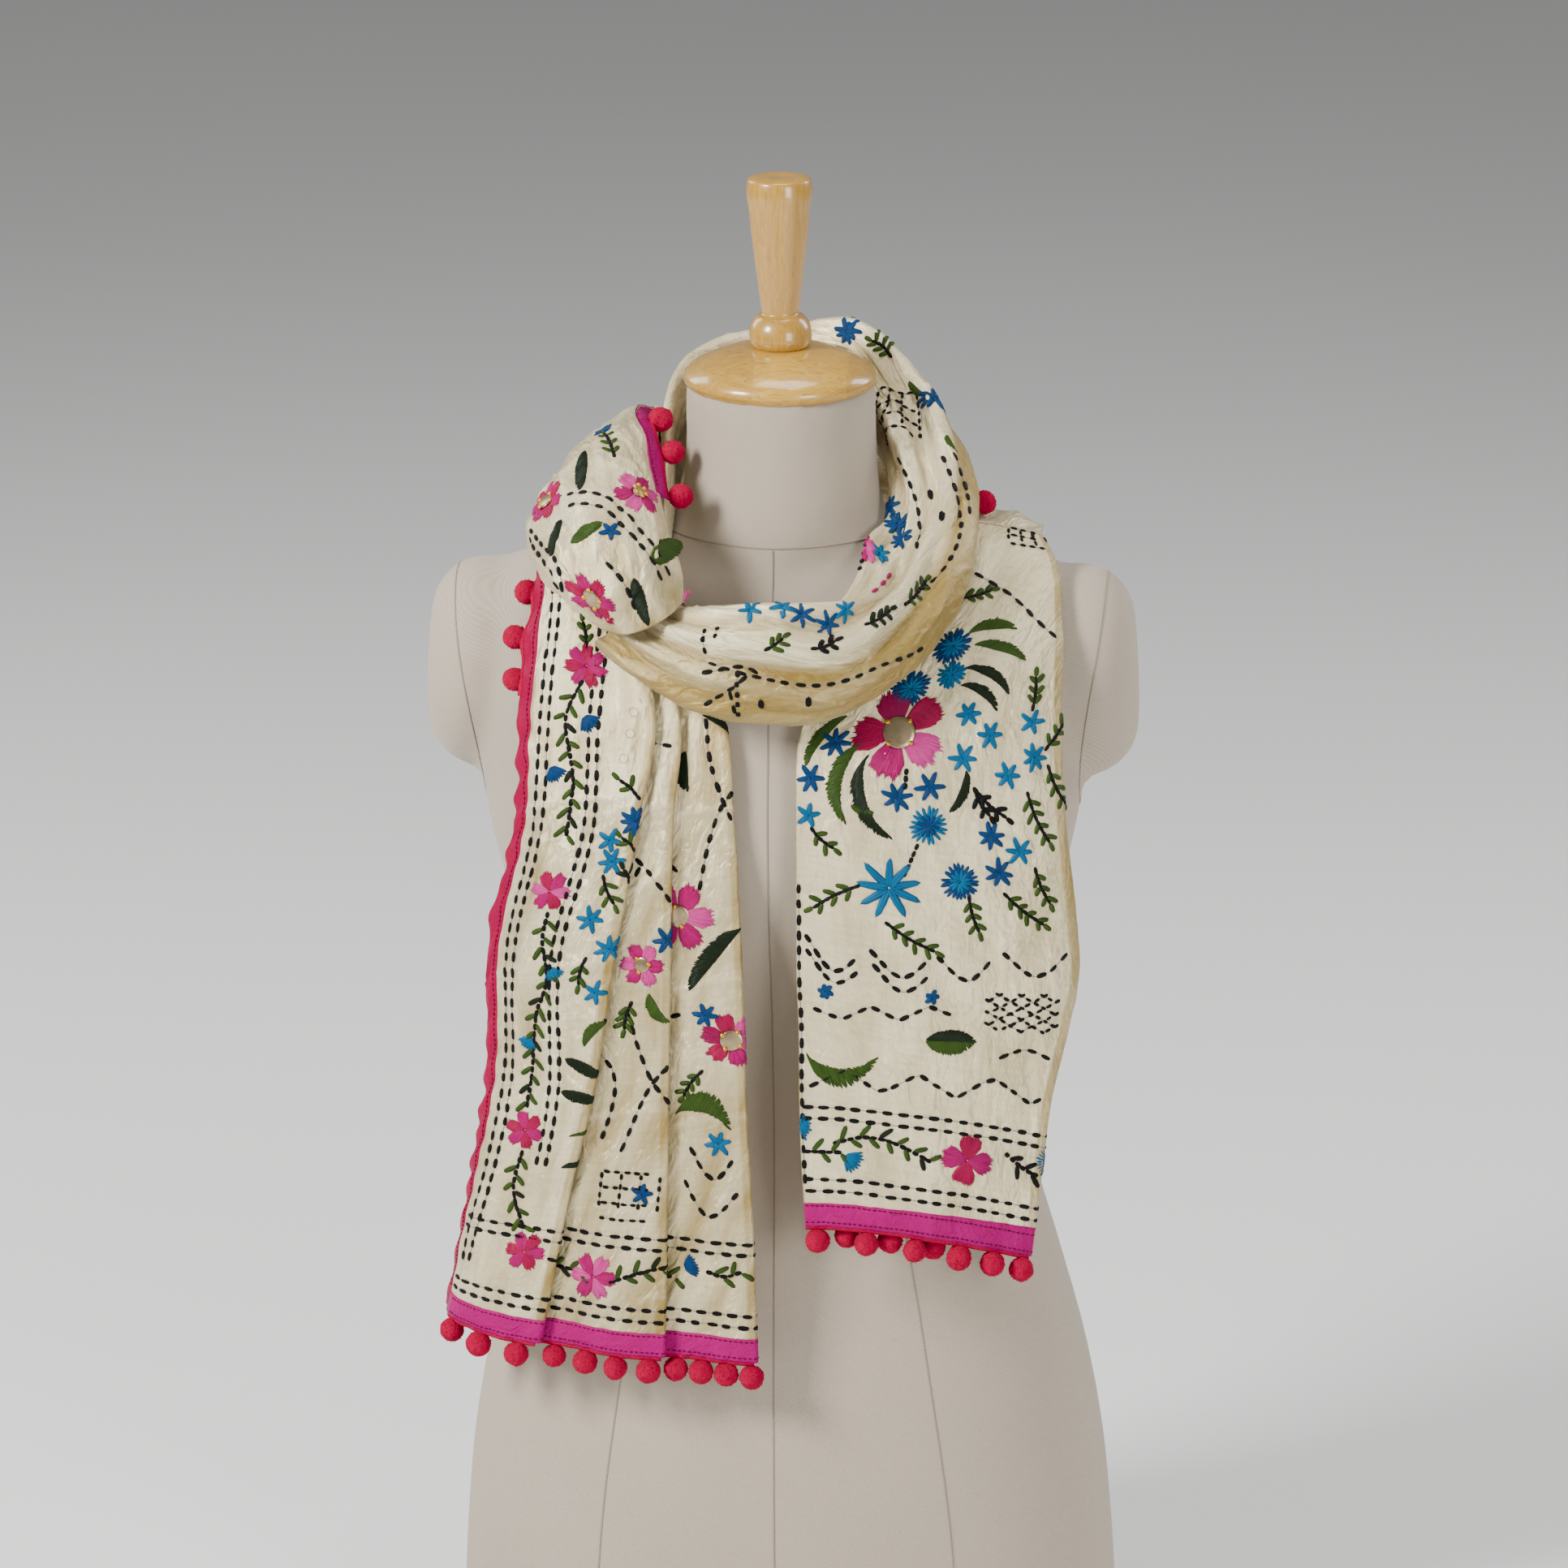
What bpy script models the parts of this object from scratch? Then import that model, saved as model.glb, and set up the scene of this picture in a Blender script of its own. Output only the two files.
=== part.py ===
"""An embroidered stole wound once round the neck of a limbless dress form.

Metres, +Z up. X runs to the viewer's right, Y away from the viewer, and the origin is
on the floor under the middle of the whole. The tables below are in millimetres, from the
middle of the form, which stands behind that origin by FORM_SETBACK.
"""

import math
from collections import namedtuple

import bmesh
import bpy
import numpy as np

MM = 0.001
FORM_SETBACK = 17
SEAM_GAP = 0.3
BENT_SEAM_GAP = 0.9
CLOTH_WALL = 1.2
BAND_WALL = 1.6
LAYER_PITCH = 3.4
CLOTH_CLEARANCE = 3.0

# The form: half width, depth in front of and behind the middle, and how square the ring is.
BodyRing = namedtuple("BodyRing", "height half_width front back squareness")
BODY = [
    BodyRing(0, 195, 112, 108, 2.3),
    BodyRing(50, 194, 113, 110, 2.3),
    BodyRing(100, 191, 113, 112, 2.3),
    BodyRing(150, 186, 112, 110, 2.3),
    BodyRing(205, 176, 107, 101, 2.3),
    BodyRing(265, 160, 98, 90, 2.3),
    BodyRing(320, 145, 91, 79, 2.3),
    BodyRing(380, 138, 89, 73, 2.3),
    BodyRing(435, 143, 96, 77, 2.3),
    BodyRing(490, 161, 110, 85, 2.3),
    BodyRing(540, 172, 118, 91, 2.3),
    BodyRing(590, 176, 110, 96, 2.3),
    BodyRing(630, 181, 94, 92, 2.2),
    BodyRing(655, 182, 80, 82, 2.0),
    BodyRing(672, 172, 71, 72, 1.8),
    BodyRing(684, 148, 65, 64, 1.5),
    BodyRing(692, 112, 63, 59, 1.35),
    BodyRing(698, 80, 64, 57, 1.6),
    BodyRing(706, 63, 64, 55, 1.9),
    BodyRing(722, 57, 62, 54, 2.0),
    BodyRing(752, 54.5, 57, 54, 2.0),
    BodyRing(784, 54, 54, 54, 2.0),
]
BODY_SIDES = 36

ARM_PLATE_X = 150
ARM_PLATE_LENGTH = 54
ARM_PLATE_HEIGHT = 616
ARM_PLATE_HALF = (50, 62)
ARM_PLATE_LEAN = math.radians(2.5)
ARM_PLATE_ROUND = 31

ProfilePoint = namedtuple("ProfilePoint", "radius height")
CAP_PROFILE = [
    ProfilePoint(0, 805.5),
    ProfilePoint(17, 805.5),
    ProfilePoint(30, 803.5),
    ProfilePoint(42, 799.5),
    ProfilePoint(51, 794.8),
    ProfilePoint(55, 790.5),
    ProfilePoint(55.6, 787.8),
    ProfilePoint(54.2, 784.6),
    ProfilePoint(0, 784.6),
]
HANDLE_PROFILE = [
    ProfilePoint(0, 904),
    ProfilePoint(16.5, 903.4),
    ProfilePoint(18.3, 901.5),
    ProfilePoint(17.4, 884),
    ProfilePoint(14.4, 855),
    ProfilePoint(11.2, 829),
    ProfilePoint(10.8, 825),
    ProfilePoint(14, 822.5),
    ProfilePoint(17, 817.5),
    ProfilePoint(17.9, 812.5),
    ProfilePoint(17, 808),
    ProfilePoint(16, 806),
    ProfilePoint(0, 806),
]
TURNED_STEPS = 24

# The surface that a tail lies on: over the shoulder, down the chest, then straight down
# from the bust, clear of the waist.
DrapeRing = namedtuple("DrapeRing", "height front half_width squareness")
DRAPE = [
    DrapeRing(0, 126, 206, 2.4),
    DrapeRing(300, 126, 206, 2.4),
    DrapeRing(480, 125, 204, 2.4),
    DrapeRing(540, 123, 202, 2.4),
    DrapeRing(590, 115, 200, 2.3),
    DrapeRing(630, 99, 198, 2.1),
    DrapeRing(655, 86, 194, 1.9),
    DrapeRing(672, 77, 186, 1.7),
    DrapeRing(684, 68, 176, 1.5),
    DrapeRing(692, 58, 170, 1.4),
    DrapeRing(699, 42, 166, 1.3),
    DrapeRing(704, 22, 162, 1.25),
]

# The left tail, from the shoulder down: plan places of its side edge, its two visible
# fold lines and its right fold, how deep the folds tuck in, and how far the row has
# dropped at its right side.
LeftRow = namedtuple("LeftRow", "height side fold_one fold_two right tuck drop")
LEFT_TAIL = [
    LeftRow(704, -128, -90, -83, -76, 26, 0),
    LeftRow(690, -130, -85, -77, -70, 28, 0),
    LeftRow(672, -133, -75, -68, -61, 32, 0),
    LeftRow(656, -135, -68, -58, -47, 36, 0),
    LeftRow(620, -138, -60, -48, -26, 40, 0),
    LeftRow(560, -139, -69, -51, -18, 40, 1),
    LeftRow(480, -156, -83, -53, -14, 40, 3),
    LeftRow(400, -158, -95, -55, -12, 40, 5),
    LeftRow(330, -169, -111, -57, -9, 40, 7),
    LeftRow(247, -187, -127, -59, -7, 40, 9),
]
SIDE_BORDER = 11
LEFT_PANEL_STEPS = 6
TUCK_STEPS = 3
FOLD_STEPS = 4

RightRow = namedtuple("RightRow", "height left right drop")
RIGHT_TAIL = [
    RightRow(704, 76, 150, 12),
    RightRow(692, 68, 155, 9),
    RightRow(664, 44, 159, 4),
    RightRow(620, 21, 160, 0),
    RightRow(560, 17, 162, 1),
    RightRow(500, 17, 168, 3),
    RightRow(468, 17, 170, 5),
    RightRow(440, 18, 165, 8),
    RightRow(400, 18, 156, 12),
    RightRow(360, 19, 151, 18),
    RightRow(322, 21, 146, 26),
]
RIGHT_PANEL_STEPS = 9
SHOULDER_TOP = 704
SHOULDER_ROUND = 40
SETTLED_COVER = 8
LEFT_COVER = 17
RIGHT_COVER = 5.4

HEM_BAND = 14
LONG_STEPS = 17

# The loop, from the left of the neck round the back and the right to the front. Each
# column is a radius and a height in the half plane at that angle, front 0, and the rows
# run backwards through a whole turn and more. Lean turns a row's outer end further.
LoopRow = namedtuple("LoopRow", "angle lean foot top crown crease ridge side low tuck")
LOOP = [
    LoopRow(-34, 0, (88, 668), (88, 678), (89, 683), (91, 684), (93, 683), (95, 678), (96, 673), (96, 668)),
    LoopRow(-48, 0, (79, 689), (79, 703), (80, 709), (82, 711), (84, 709), (86, 703), (87, 696), (87, 689)),
    LoopRow(-64, 0, (67, 706), (67, 727), (68, 735), (70, 738), (72, 736), (74, 728), (75, 717), (75, 707)),
    LoopRow(-90, 0, (58.7, 722), (61, 752), (62, 763), (64, 767), (67, 767), (69, 757), (70, 742), (70, 724)),
    LoopRow(-115, 0, (60, 735), (61, 768), (63, 780), (66, 785), (69, 784), (71, 771), (72, 752), (72, 734)),
    LoopRow(-145, 0, (60, 742), (62, 778), (65, 790), (68, 795), (72, 795), (76, 782), (79, 762), (79, 742)),
    LoopRow(-180, 0, (61, 744), (63, 782), (66, 794), (69, 799), (74, 801), (80, 790), (83, 768), (82, 744)),
    LoopRow(-210, 0, (61, 742), (63, 781), (68, 796), (72, 799), (78, 803), (84, 791), (86, 766), (84, 742)),
    LoopRow(-240, 0, (60, 736), (61, 766), (67, 777), (74, 776), (84, 780), (91, 766), (93, 748), (89, 734)),
    LoopRow(-270, 0, (61, 726), (63, 747), (72, 755), (84, 750), (96, 753), (106, 741), (110, 730), (97, 723)),
    LoopRow(-292, 0, (66, 711), (76, 714), (87, 721), (100, 717), (111, 719), (120, 710), (122, 703), (108, 702)),
    LoopRow(-312, 0, (70, 704), (95, 692), (106, 699), (117, 694), (128, 691), (136, 681), (138, 671), (125, 670)),
    LoopRow(-328, 0, (90, 690), (114, 684), (124, 690), (134, 682), (142, 674), (147, 659), (145, 646), (130, 641)),
    LoopRow(-345, 0, (112, 676), (124, 685), (133, 686), (143, 675), (150, 661), (151, 642), (145, 627), (131, 622)),
    LoopRow(-360, 0, (111, 674), (123, 686), (132, 686), (142, 674), (148, 658), (148, 640), (142, 624), (128, 619)),
    LoopRow(-373, -4, (113, 672), (124, 683), (132, 682), (141, 671), (147, 658), (148, 643), (145, 631), (134, 627)),
    LoopRow(-381, -11, (113, 670), (123, 680), (130, 680), (138, 673), (144, 664), (147, 654), (147, 646), (138, 642)),
    LoopRow(-387, -18, (111, 672), (119, 679), (125, 680), (131, 676), (137, 671), (142, 665), (144, 659), (137, 655)),
]
NECK_LAYER_SHARE = 0.36
LOOP_ROWS = 42
LOOP_STEPS = 18

# The puff, from the pinch at the front over the shoulder to the back: where it lies
# beside the neck, over its crown, at its outer edge and tucked under.
PuffRow = namedtuple("PuffRow", "neck inner crown outer edge tuck")
PUFF = [
    PuffRow((-43, -112, 689), (-52, -128, 682), (-66, -136, 675), (-82, -132, 671), (-95, -119, 673), (-97, -109, 677)),
    PuffRow((-44, -101, 703), (-59, -123, 706), (-81, -136, 701), (-103, -130, 692), (-115, -116, 687), (-110, -105, 687)),
    PuffRow((-51, -87, 717), (-68, -108, 729), (-94, -120, 726), (-121, -111, 713), (-134, -94, 702), (-126, -85, 698)),
    PuffRow((-60, -66, 736), (-73, -82, 747), (-96, -89, 748), (-121, -81, 735), (-139, -64, 716), (-132, -57, 709)),
    PuffRow((-65, -46, 753), (-77, -51, 762), (-97, -51, 763), (-118, -43, 749), (-133, -30, 725), (-128, -23, 718.5)),
    PuffRow((-73, -20, 765), (-82, -18, 769), (-97, -12, 763), (-113, -4, 748), (-124, 4, 727), (-121, 9, 717.5)),
    PuffRow((-77, 14, 760), (-84, 22, 764), (-94, 30, 756), (-105, 36, 738), (-115, 42, 717), (-113, 44, 709)),
    PuffRow((-70, 46, 750), (-79, 54, 755), (-89, 63, 744), (-98, 71, 723), (-106, 76, 703), (-104, 74, 697)),
]
PUFF_ROWS = 18
PUFF_STEPS = 16
NECK_BORDER = 12
NECK_BORDER_SPAN = (0.4, 1.0)
BORDER_STEPS = 4

# The band across the nape, from behind the left shoulder to the top of the right one:
# its upper edge, two lines down its face and its lower edge.
NapeRow = namedtuple("NapeRow", "upper over under lower")
NAPE = [
    NapeRow((-69, 50, 750), (-79, 59, 753), (-95, 74, 728), (-106, 81, 700)),
    NapeRow((-68, 78, 751), (-75, 87, 741), (-83, 95, 714), (-87, 101, 688)),
    NapeRow((-36, 96, 752), (-40, 104, 736), (-45, 109, 709), (-48, 111, 682)),
    NapeRow((6, 101, 752), (6, 108, 734), (7, 113, 708), (8, 115, 680)),
    NapeRow((46, 93, 748), (53, 99, 730), (62, 104, 704), (70, 105, 677)),
    NapeRow((76, 68, 734), (89, 73, 714), (104, 79, 691), (117, 80, 666)),
    NapeRow((86, 38, 721), (104, 40, 710), (123, 42, 697), (141, 43, 680)),
    NapeRow((83, 14, 713), (104, 16, 711), (127, 19, 706), (149, 22, 696)),
    NapeRow((78, -16.6, 709.7), (101, -13.6, 708.2), (126, -9.8, 704.2), (149, -5.6, 698)),
]
NAPE_ROWS = 18
NAPE_STEPS = 10

# A pompom on its tape: how far along its hanging line each four-sided ring lies, and its reach.
StrandRing = namedtuple("StrandRing", "along reach")
POMPOM = [
    StrandRing(-1.2, 1.3),
    StrandRing(2.0, 4.6),
    StrandRing(6.6, 7.3),
    StrandRing(11.2, 4.8),
    StrandRing(12.8, 1.8),
]
TAPE_DEPTH = 2.2
TAPE_WALL = 1.2

# Where the pompoms hang, as shares of each edge.
LEFT_HEM_POMPOMS = ((0.15, 0.5, 0.86), (0.46, 0.62, 0.78, 0.94), (0.49, 0.66, 0.82, 0.98))
RIGHT_HEM_POMPOMS = (0.05, 0.26, 0.47, 0.67, 0.83, 0.97)
RIGHT_INNER_POMPOMS = (0.13, 0.35, 0.57)
INNER_LEAN = (0, 0.45, 0)
LEFT_SIDE_ROWS = slice(1, 4)
LEFT_SIDE_POMPOMS = (0.16, 0.55, 0.9)
LEFT_SIDE_LEAN = (0.22, 0.38, 0)
NECK_ROWS = slice(0, 8)
NECK_POMPOMS = (0.02, 0.42, 0.82)
NECK_LEAN = (0.3, -0.4, 0.6)
NAPE_ROW_SPAN = slice(2, 11)
NAPE_POMPOMS = (0.06, 0.3, 0.54, 0.78)
SHOULDER_TAPE = ((105, -6, 714.2), (107, -2, 714.2), (108, 2, 714.2), (109, 6, 714.2))
SHOULDER_LEAN = (0, 0, 0.15)
SHOULDER_POMPOMS = (0.5,)

COLLECTION = "Embroidered stole on a dress form"

IVORY_SILK = ("Ivory silk", (0.78, 0.73, 0.60), 0.42, 0.0)
PINK_SATIN = ("Pink satin", (0.70, 0.02, 0.26), 0.4, 0.0)
CRIMSON_WOOL = ("Crimson wool", (0.55, 0.0, 0.04), 0.95, 0.0)
LINEN = ("Linen", (0.60, 0.54, 0.47), 0.9, 0.0)
HONEY_WOOD = ("Honey wood", (0.62, 0.36, 0.15), 0.3, 0.0)


def hermite(places, values, wanted):
    """Smooth curve through the rows, read at the wanted places."""
    places = np.asarray(places, float)
    values = np.asarray(values, float).reshape(len(places), -1)
    steps = np.diff(places)[:, None]
    slopes = np.diff(values, axis=0) / steps
    tangents = np.vstack([slopes[:1], (slopes[:-1] * steps[1:] + slopes[1:] * steps[:-1])
                          / (steps[1:] + steps[:-1]), slopes[-1:]])
    wanted = np.clip(np.asarray(wanted, float), places[0], places[-1])
    span = np.clip(np.searchsorted(places, wanted, side="right") - 1, 0, len(places) - 2)
    width = steps[span]
    t = ((wanted - places[span])[:, None]) / width
    start, end = values[span], values[span + 1]
    leave, reach = tangents[span] * width, tangents[span + 1] * width
    return ((2 * t**3 - 3 * t**2 + 1) * start + (t**3 - 2 * t**2 + t) * leave
            + (3 * t**2 - 2 * t**3) * end + (t**3 - t**2) * reach)


def evenly(points, count):
    """The same open line with its points spread evenly along it."""
    lengths = np.concatenate([[0], np.cumsum(np.linalg.norm(np.diff(points, axis=0), axis=1))])
    return hermite(lengths, points, np.linspace(0, lengths[-1], count))


def material(finish):
    name, colour, roughness, metallic = finish
    made = bpy.data.materials.get(name)
    if made:
        return made
    made = bpy.data.materials.new(name)
    made.use_nodes = True
    shader = made.node_tree.nodes["Principled BSDF"]
    shader.inputs["Base Color"].default_value = (*colour, 1)
    shader.inputs["Roughness"].default_value = roughness
    shader.inputs["Metallic"].default_value = metallic
    return made


def add_object(name, mesh, collection, finish=None):
    obj = bpy.data.objects.new(name, mesh)
    collection.objects.link(obj)
    if finish:
        mesh.materials.append(material(finish))
        mesh.shade_smooth()
    return obj


def grid_mesh(name, grid):
    """A mesh of the sheet whose rows and columns of points are given in millimetres."""
    rows, columns = grid.shape[:2]
    mesh = bpy.data.meshes.new(name)
    index = np.arange(rows * columns).reshape(rows, columns)
    corners = (index[:-1, :-1], index[:-1, 1:], index[1:, 1:], index[1:, :-1])
    faces = np.stack([corner.reshape(-1) for corner in corners], axis=1)
    mesh.from_pydata((grid.reshape(-1, 3) * MM).tolist(), [], faces.tolist())
    return mesh


def cloth(name, grid, collection, finish=IVORY_SILK, wall=CLOTH_WALL):
    """A wall of cloth either side of a sheet of points."""
    obj = add_object(name, grid_mesh(name, grid), collection, finish)
    solidify = obj.modifiers.new("Wall", "SOLIDIFY")
    solidify.thickness = wall * MM
    solidify.offset = 0
    return obj


def ring_points(ring, sides):
    """A closed ring of the form, squarer than an ellipse where squareness is over 2."""
    turns = np.arange(sides) * 2 * math.pi / sides
    across, along = np.cos(turns), np.sin(turns)
    power = 2 / ring.squareness
    x = ring.half_width * np.sign(across) * np.abs(across) ** power
    depth = np.where(along < 0, ring.front, ring.back)
    y = depth * np.sign(along) * np.abs(along) ** power
    return np.stack([x, y, np.full(sides, float(ring.height))], axis=1)


def dress_form(collection, cutters):
    rings = np.stack([ring_points(ring, BODY_SIDES) for ring in BODY])
    bm = bmesh.new()
    loops = [[bm.verts.new(point * MM) for point in ring] for ring in rings]
    for lower, upper in zip(loops, loops[1:]):
        for i in range(BODY_SIDES):
            j = (i + 1) % BODY_SIDES
            bm.faces.new((lower[i], lower[j], upper[j], upper[i]))
    bm.faces.new(loops[0][::-1])
    bm.faces.new(loops[-1])
    mesh = bpy.data.meshes.new("dress_form")
    bm.to_mesh(mesh)
    bm.free()
    form = add_object("dress_form", mesh, collection, LINEN)
    for side, label in ((-1, "left"), (1, "right")):
        plate = arm_plate(side, label, cutters)
        join = form.modifiers.new(f"Arm plate {label}", "BOOLEAN")
        join.operation = "UNION"
        join.object = plate
    return form


def arm_plate(side, label, cutters):
    """The rounded stub over an armhole, a beveled disc on its side."""
    bm = bmesh.new()
    bmesh.ops.create_cone(bm, cap_ends=True, segments=24, radius1=1, radius2=1, depth=1)
    mesh = bpy.data.meshes.new(f"arm_plate_{label}")
    half_depth, half_height = ARM_PLATE_HALF
    for vert in bm.verts:
        x, y, z = vert.co
        vert.co = ((z + 0.5) * ARM_PLATE_LENGTH * MM, y * half_depth * MM, x * half_height * MM)
    bmesh.ops.recalc_face_normals(bm, faces=bm.faces)
    rim = [edge for edge in bm.edges if all(vert.co.x > 0.9 * ARM_PLATE_LENGTH * MM for vert in edge.verts)]
    bmesh.ops.bevel(bm, geom=rim, offset=ARM_PLATE_ROUND * MM, segments=3, profile=0.55, affect="EDGES")
    for vert in bm.verts:
        vert.co.x *= side
    bmesh.ops.recalc_face_normals(bm, faces=bm.faces)
    bm.to_mesh(mesh)
    bm.free()
    plate = add_object(f"arm_plate_{label}", mesh, cutters)
    plate.location = (side * ARM_PLATE_X * MM, 0, ARM_PLATE_HEIGHT * MM)
    plate.rotation_euler = (0, side * -ARM_PLATE_LEAN, 0)
    plate.hide_render = True
    plate.display_type = "WIRE"
    return plate


def turned(name, profile, collection, finish):
    """A turned piece from its outer profile, top to bottom."""
    mesh = bpy.data.meshes.new(name)
    points = [(point.radius * MM, 0, point.height * MM) for point in profile]
    mesh.from_pydata(points, [(i, i + 1) for i in range(len(points) - 1)], [])
    obj = add_object(name, mesh, collection, finish)
    screw = obj.modifiers.new("Turn", "SCREW")
    screw.steps = screw.render_steps = TURNED_STEPS
    screw.use_merge_vertices = True
    screw.merge_threshold = 0.0001
    return obj


def drape_line(x, height):
    """Where cloth lies on the form at this height, and which way is out, in plan."""
    front, half, power = hermite([ring.height for ring in DRAPE],
                                 [ring[1:] for ring in DRAPE], [height])[0]
    share = np.clip(np.abs(x) / half, 0, 0.985)
    depth = front * (1 - share**power) ** (1 / power)
    slope = -front / half * np.sign(x) * share ** (power - 1) * (1 - share**power) ** (1 / power - 1)
    steep = np.hypot(slope, 1)
    return np.stack([x, -depth], axis=-1), np.stack([-slope / steep, -1 / steep], axis=-1)


def folded_plan(stops, steps):
    """A folded line in plan: each run goes from stop to stop, one layer deeper each time.

    The result has a column for the place across and one for the depth of layers under
    the outermost.
    """
    places, depths = [], []
    for layer, (start, end, count) in enumerate(zip(stops, stops[1:], steps)):
        turn = LAYER_PITCH / 2
        heading = 1 if end > start else -1
        inset_start = heading * turn if layer else 0
        inset_end = -heading * turn if layer < len(steps) - 1 else 0
        places.extend(np.linspace(start + inset_start, end + inset_end, count))
        depths.extend([layer * LAYER_PITCH] * count)
        if layer < len(steps) - 1:
            for step in range(1, FOLD_STEPS):
                angle = math.pi * step / FOLD_STEPS
                places.append(end + inset_end + heading * turn * math.sin(angle))
                depths.append(layer * LAYER_PITCH + turn * (1 - math.cos(angle)))
    return np.array(places), np.array(depths)


def tail_points(row, places, cover, wave, drop_power):
    """A row of a tail: its folded plan laid on the form, dropping lower to one side.

    Cover is how far each point stands off the form for the layers under it. Down the
    chest the layers stand off in plan, and over the shoulder they stand on each other.
    """
    share = (places - places.min()) / (places.max() - places.min())
    upright = np.clip((SHOULDER_TOP - row.height) / SHOULDER_ROUND, 0, 1)
    base, out = drape_line(places, row.height)
    lift = CLOTH_CLEARANCE + cover * math.sin(upright * math.pi / 2) + wave(places, row.height)
    rise = cover * math.cos(upright * math.pi / 2)
    return np.column_stack([base + out * lift[:, None], row.height + rise - row.drop * share**drop_power])


def left_plan(row):
    """The left tail's folds. Its free side edge settles onto the form past the layers."""
    stops = [row.side, row.fold_one, row.fold_one - row.tuck, row.fold_two,
             row.fold_two - row.tuck, row.right, row.right - row.tuck]
    steps = [LEFT_PANEL_STEPS, TUCK_STEPS, LEFT_PANEL_STEPS, TUCK_STEPS, LEFT_PANEL_STEPS, TUCK_STEPS]
    places, depths = folded_plan(stops, steps)
    free = (places - row.side) / (row.fold_one - row.tuck - 4 - row.side)
    settled = np.where(depths < LAYER_PITCH / 2, np.sin(np.clip(free, 0, 1) * math.pi / 2), 1)
    cover = LEFT_COVER - depths
    return places, SETTLED_COVER + (cover - SETTLED_COVER) * settled


def right_plan(row):
    stops = [row.left, row.right, row.left + 6, row.right - 8]
    steps = [RIGHT_PANEL_STEPS, TUCK_STEPS + 1, TUCK_STEPS + 1]
    places, depths = folded_plan(stops, steps)
    return places, RIGHT_COVER - depths


def left_wave(places, height):
    """Soft upright ridges, stronger down the tail."""
    return 1.6 * np.sin(places / 11 + height / 90) * np.clip((680 - height) / 250, 0, 1)


def right_wave(places, height):
    return 1.2 * np.sin(places / 17 + height / 120) * np.clip((660 - height) / 200, 0, 1)


def table_rows(table, low, high, count):
    """Rows read smoothly from a table that runs down in height, between two heights."""
    kind = type(table[0])
    heights = np.linspace(high, low, count)
    read = hermite([-row.height for row in table], [row[1:] for row in table], -heights)
    return [kind(height, *values) for height, values in zip(heights, read)]


def tail_grid(table, plan_of, wave, drop_power, low, high, count):
    rows = []
    for row in table_rows(table, low, high, count):
        places, cover = plan_of(row)
        rows.append(tail_points(row, places, cover, wave, drop_power))
    return np.stack(rows)


def left_grid(low, high, count):
    return tail_grid(LEFT_TAIL, left_plan, left_wave, 1, low, high, count)


def right_grid(low, high, count):
    return tail_grid(RIGHT_TAIL, right_plan, right_wave, 2, low, high, count)


def strip_of(points, start, end, count):
    """The piece of an open line between two lengths along it."""
    lengths = np.concatenate([[0], np.cumsum(np.linalg.norm(np.diff(points, axis=0), axis=1))])
    return hermite(lengths, points, np.linspace(start, min(end, lengths[-1]), count))


def rest_of(points, start):
    """An open line with its first length cut off."""
    lengths = np.concatenate([[0], np.cumsum(np.linalg.norm(np.diff(points, axis=0), axis=1))])
    kept = lengths > start + 1
    first = hermite(lengths, points, [start])
    missing = len(points) - kept.sum() - 1
    body = points[kept]
    fill = np.linspace(first[0], body[0], missing + 1, endpoint=False)
    return np.vstack([fill, body])


def strand(bm, root, hang):
    """A pompom as one four-sided strand that swells from its root."""
    hang = np.array(hang, float) / np.linalg.norm(hang)
    side = np.cross(hang, (0.6, 0.8, 0.0))
    side /= np.linalg.norm(side)
    rings = []
    for ring in POMPOM:
        centre = root + hang * ring.along
        corners = (side, np.cross(hang, side), -side, -np.cross(hang, side))
        rings.append([bm.verts.new((centre + corner * ring.reach) * MM) for corner in corners])
    for upper, lower in zip(rings, rings[1:]):
        for i in range(4):
            bm.faces.new((upper[i], upper[(i + 1) % 4], lower[(i + 1) % 4], lower[i]))
    bm.faces.new(rings[0])
    bm.faces.new(rings[-1])


def along(points, share):
    """The point at a share of an open line's length."""
    lengths = np.concatenate([[0], np.cumsum(np.linalg.norm(np.diff(points, axis=0), axis=1))])
    return np.array([np.interp(share * lengths[-1], lengths, axis) for axis in points.T])


def pompom_tape(name, edge, outward, places, collection, cutters, lean=(0, 0, 0)):
    """A narrow tape along an edge, with pompoms fused to it.

    The edge is a line of points, outward the way off the cloth at each of them, and
    places the shares of the edge where pompoms hang. Lean turns the pompoms aside.
    """
    outward = outward / np.linalg.norm(outward, axis=1, keepdims=True)
    inner = edge + outward * SEAM_GAP
    outer = inner + outward * TAPE_DEPTH
    tape = cloth(name, np.stack([inner, outer]), collection, CRIMSON_WOOL, TAPE_WALL)
    bm = bmesh.new()
    for place in places:
        strand(bm, along(outer, place), along(outward, place) + np.array(lean))
    bmesh.ops.recalc_face_normals(bm, faces=bm.faces)
    mesh = bpy.data.meshes.new(f"{name}_strands")
    bm.to_mesh(mesh)
    bm.free()
    strands = add_object(f"{name}_strands", mesh, cutters)
    strands.hide_render = True
    strands.display_type = "WIRE"
    join = tape.modifiers.new("Pompoms", "BOOLEAN")
    join.operation = "UNION"
    join.object = strands


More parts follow.
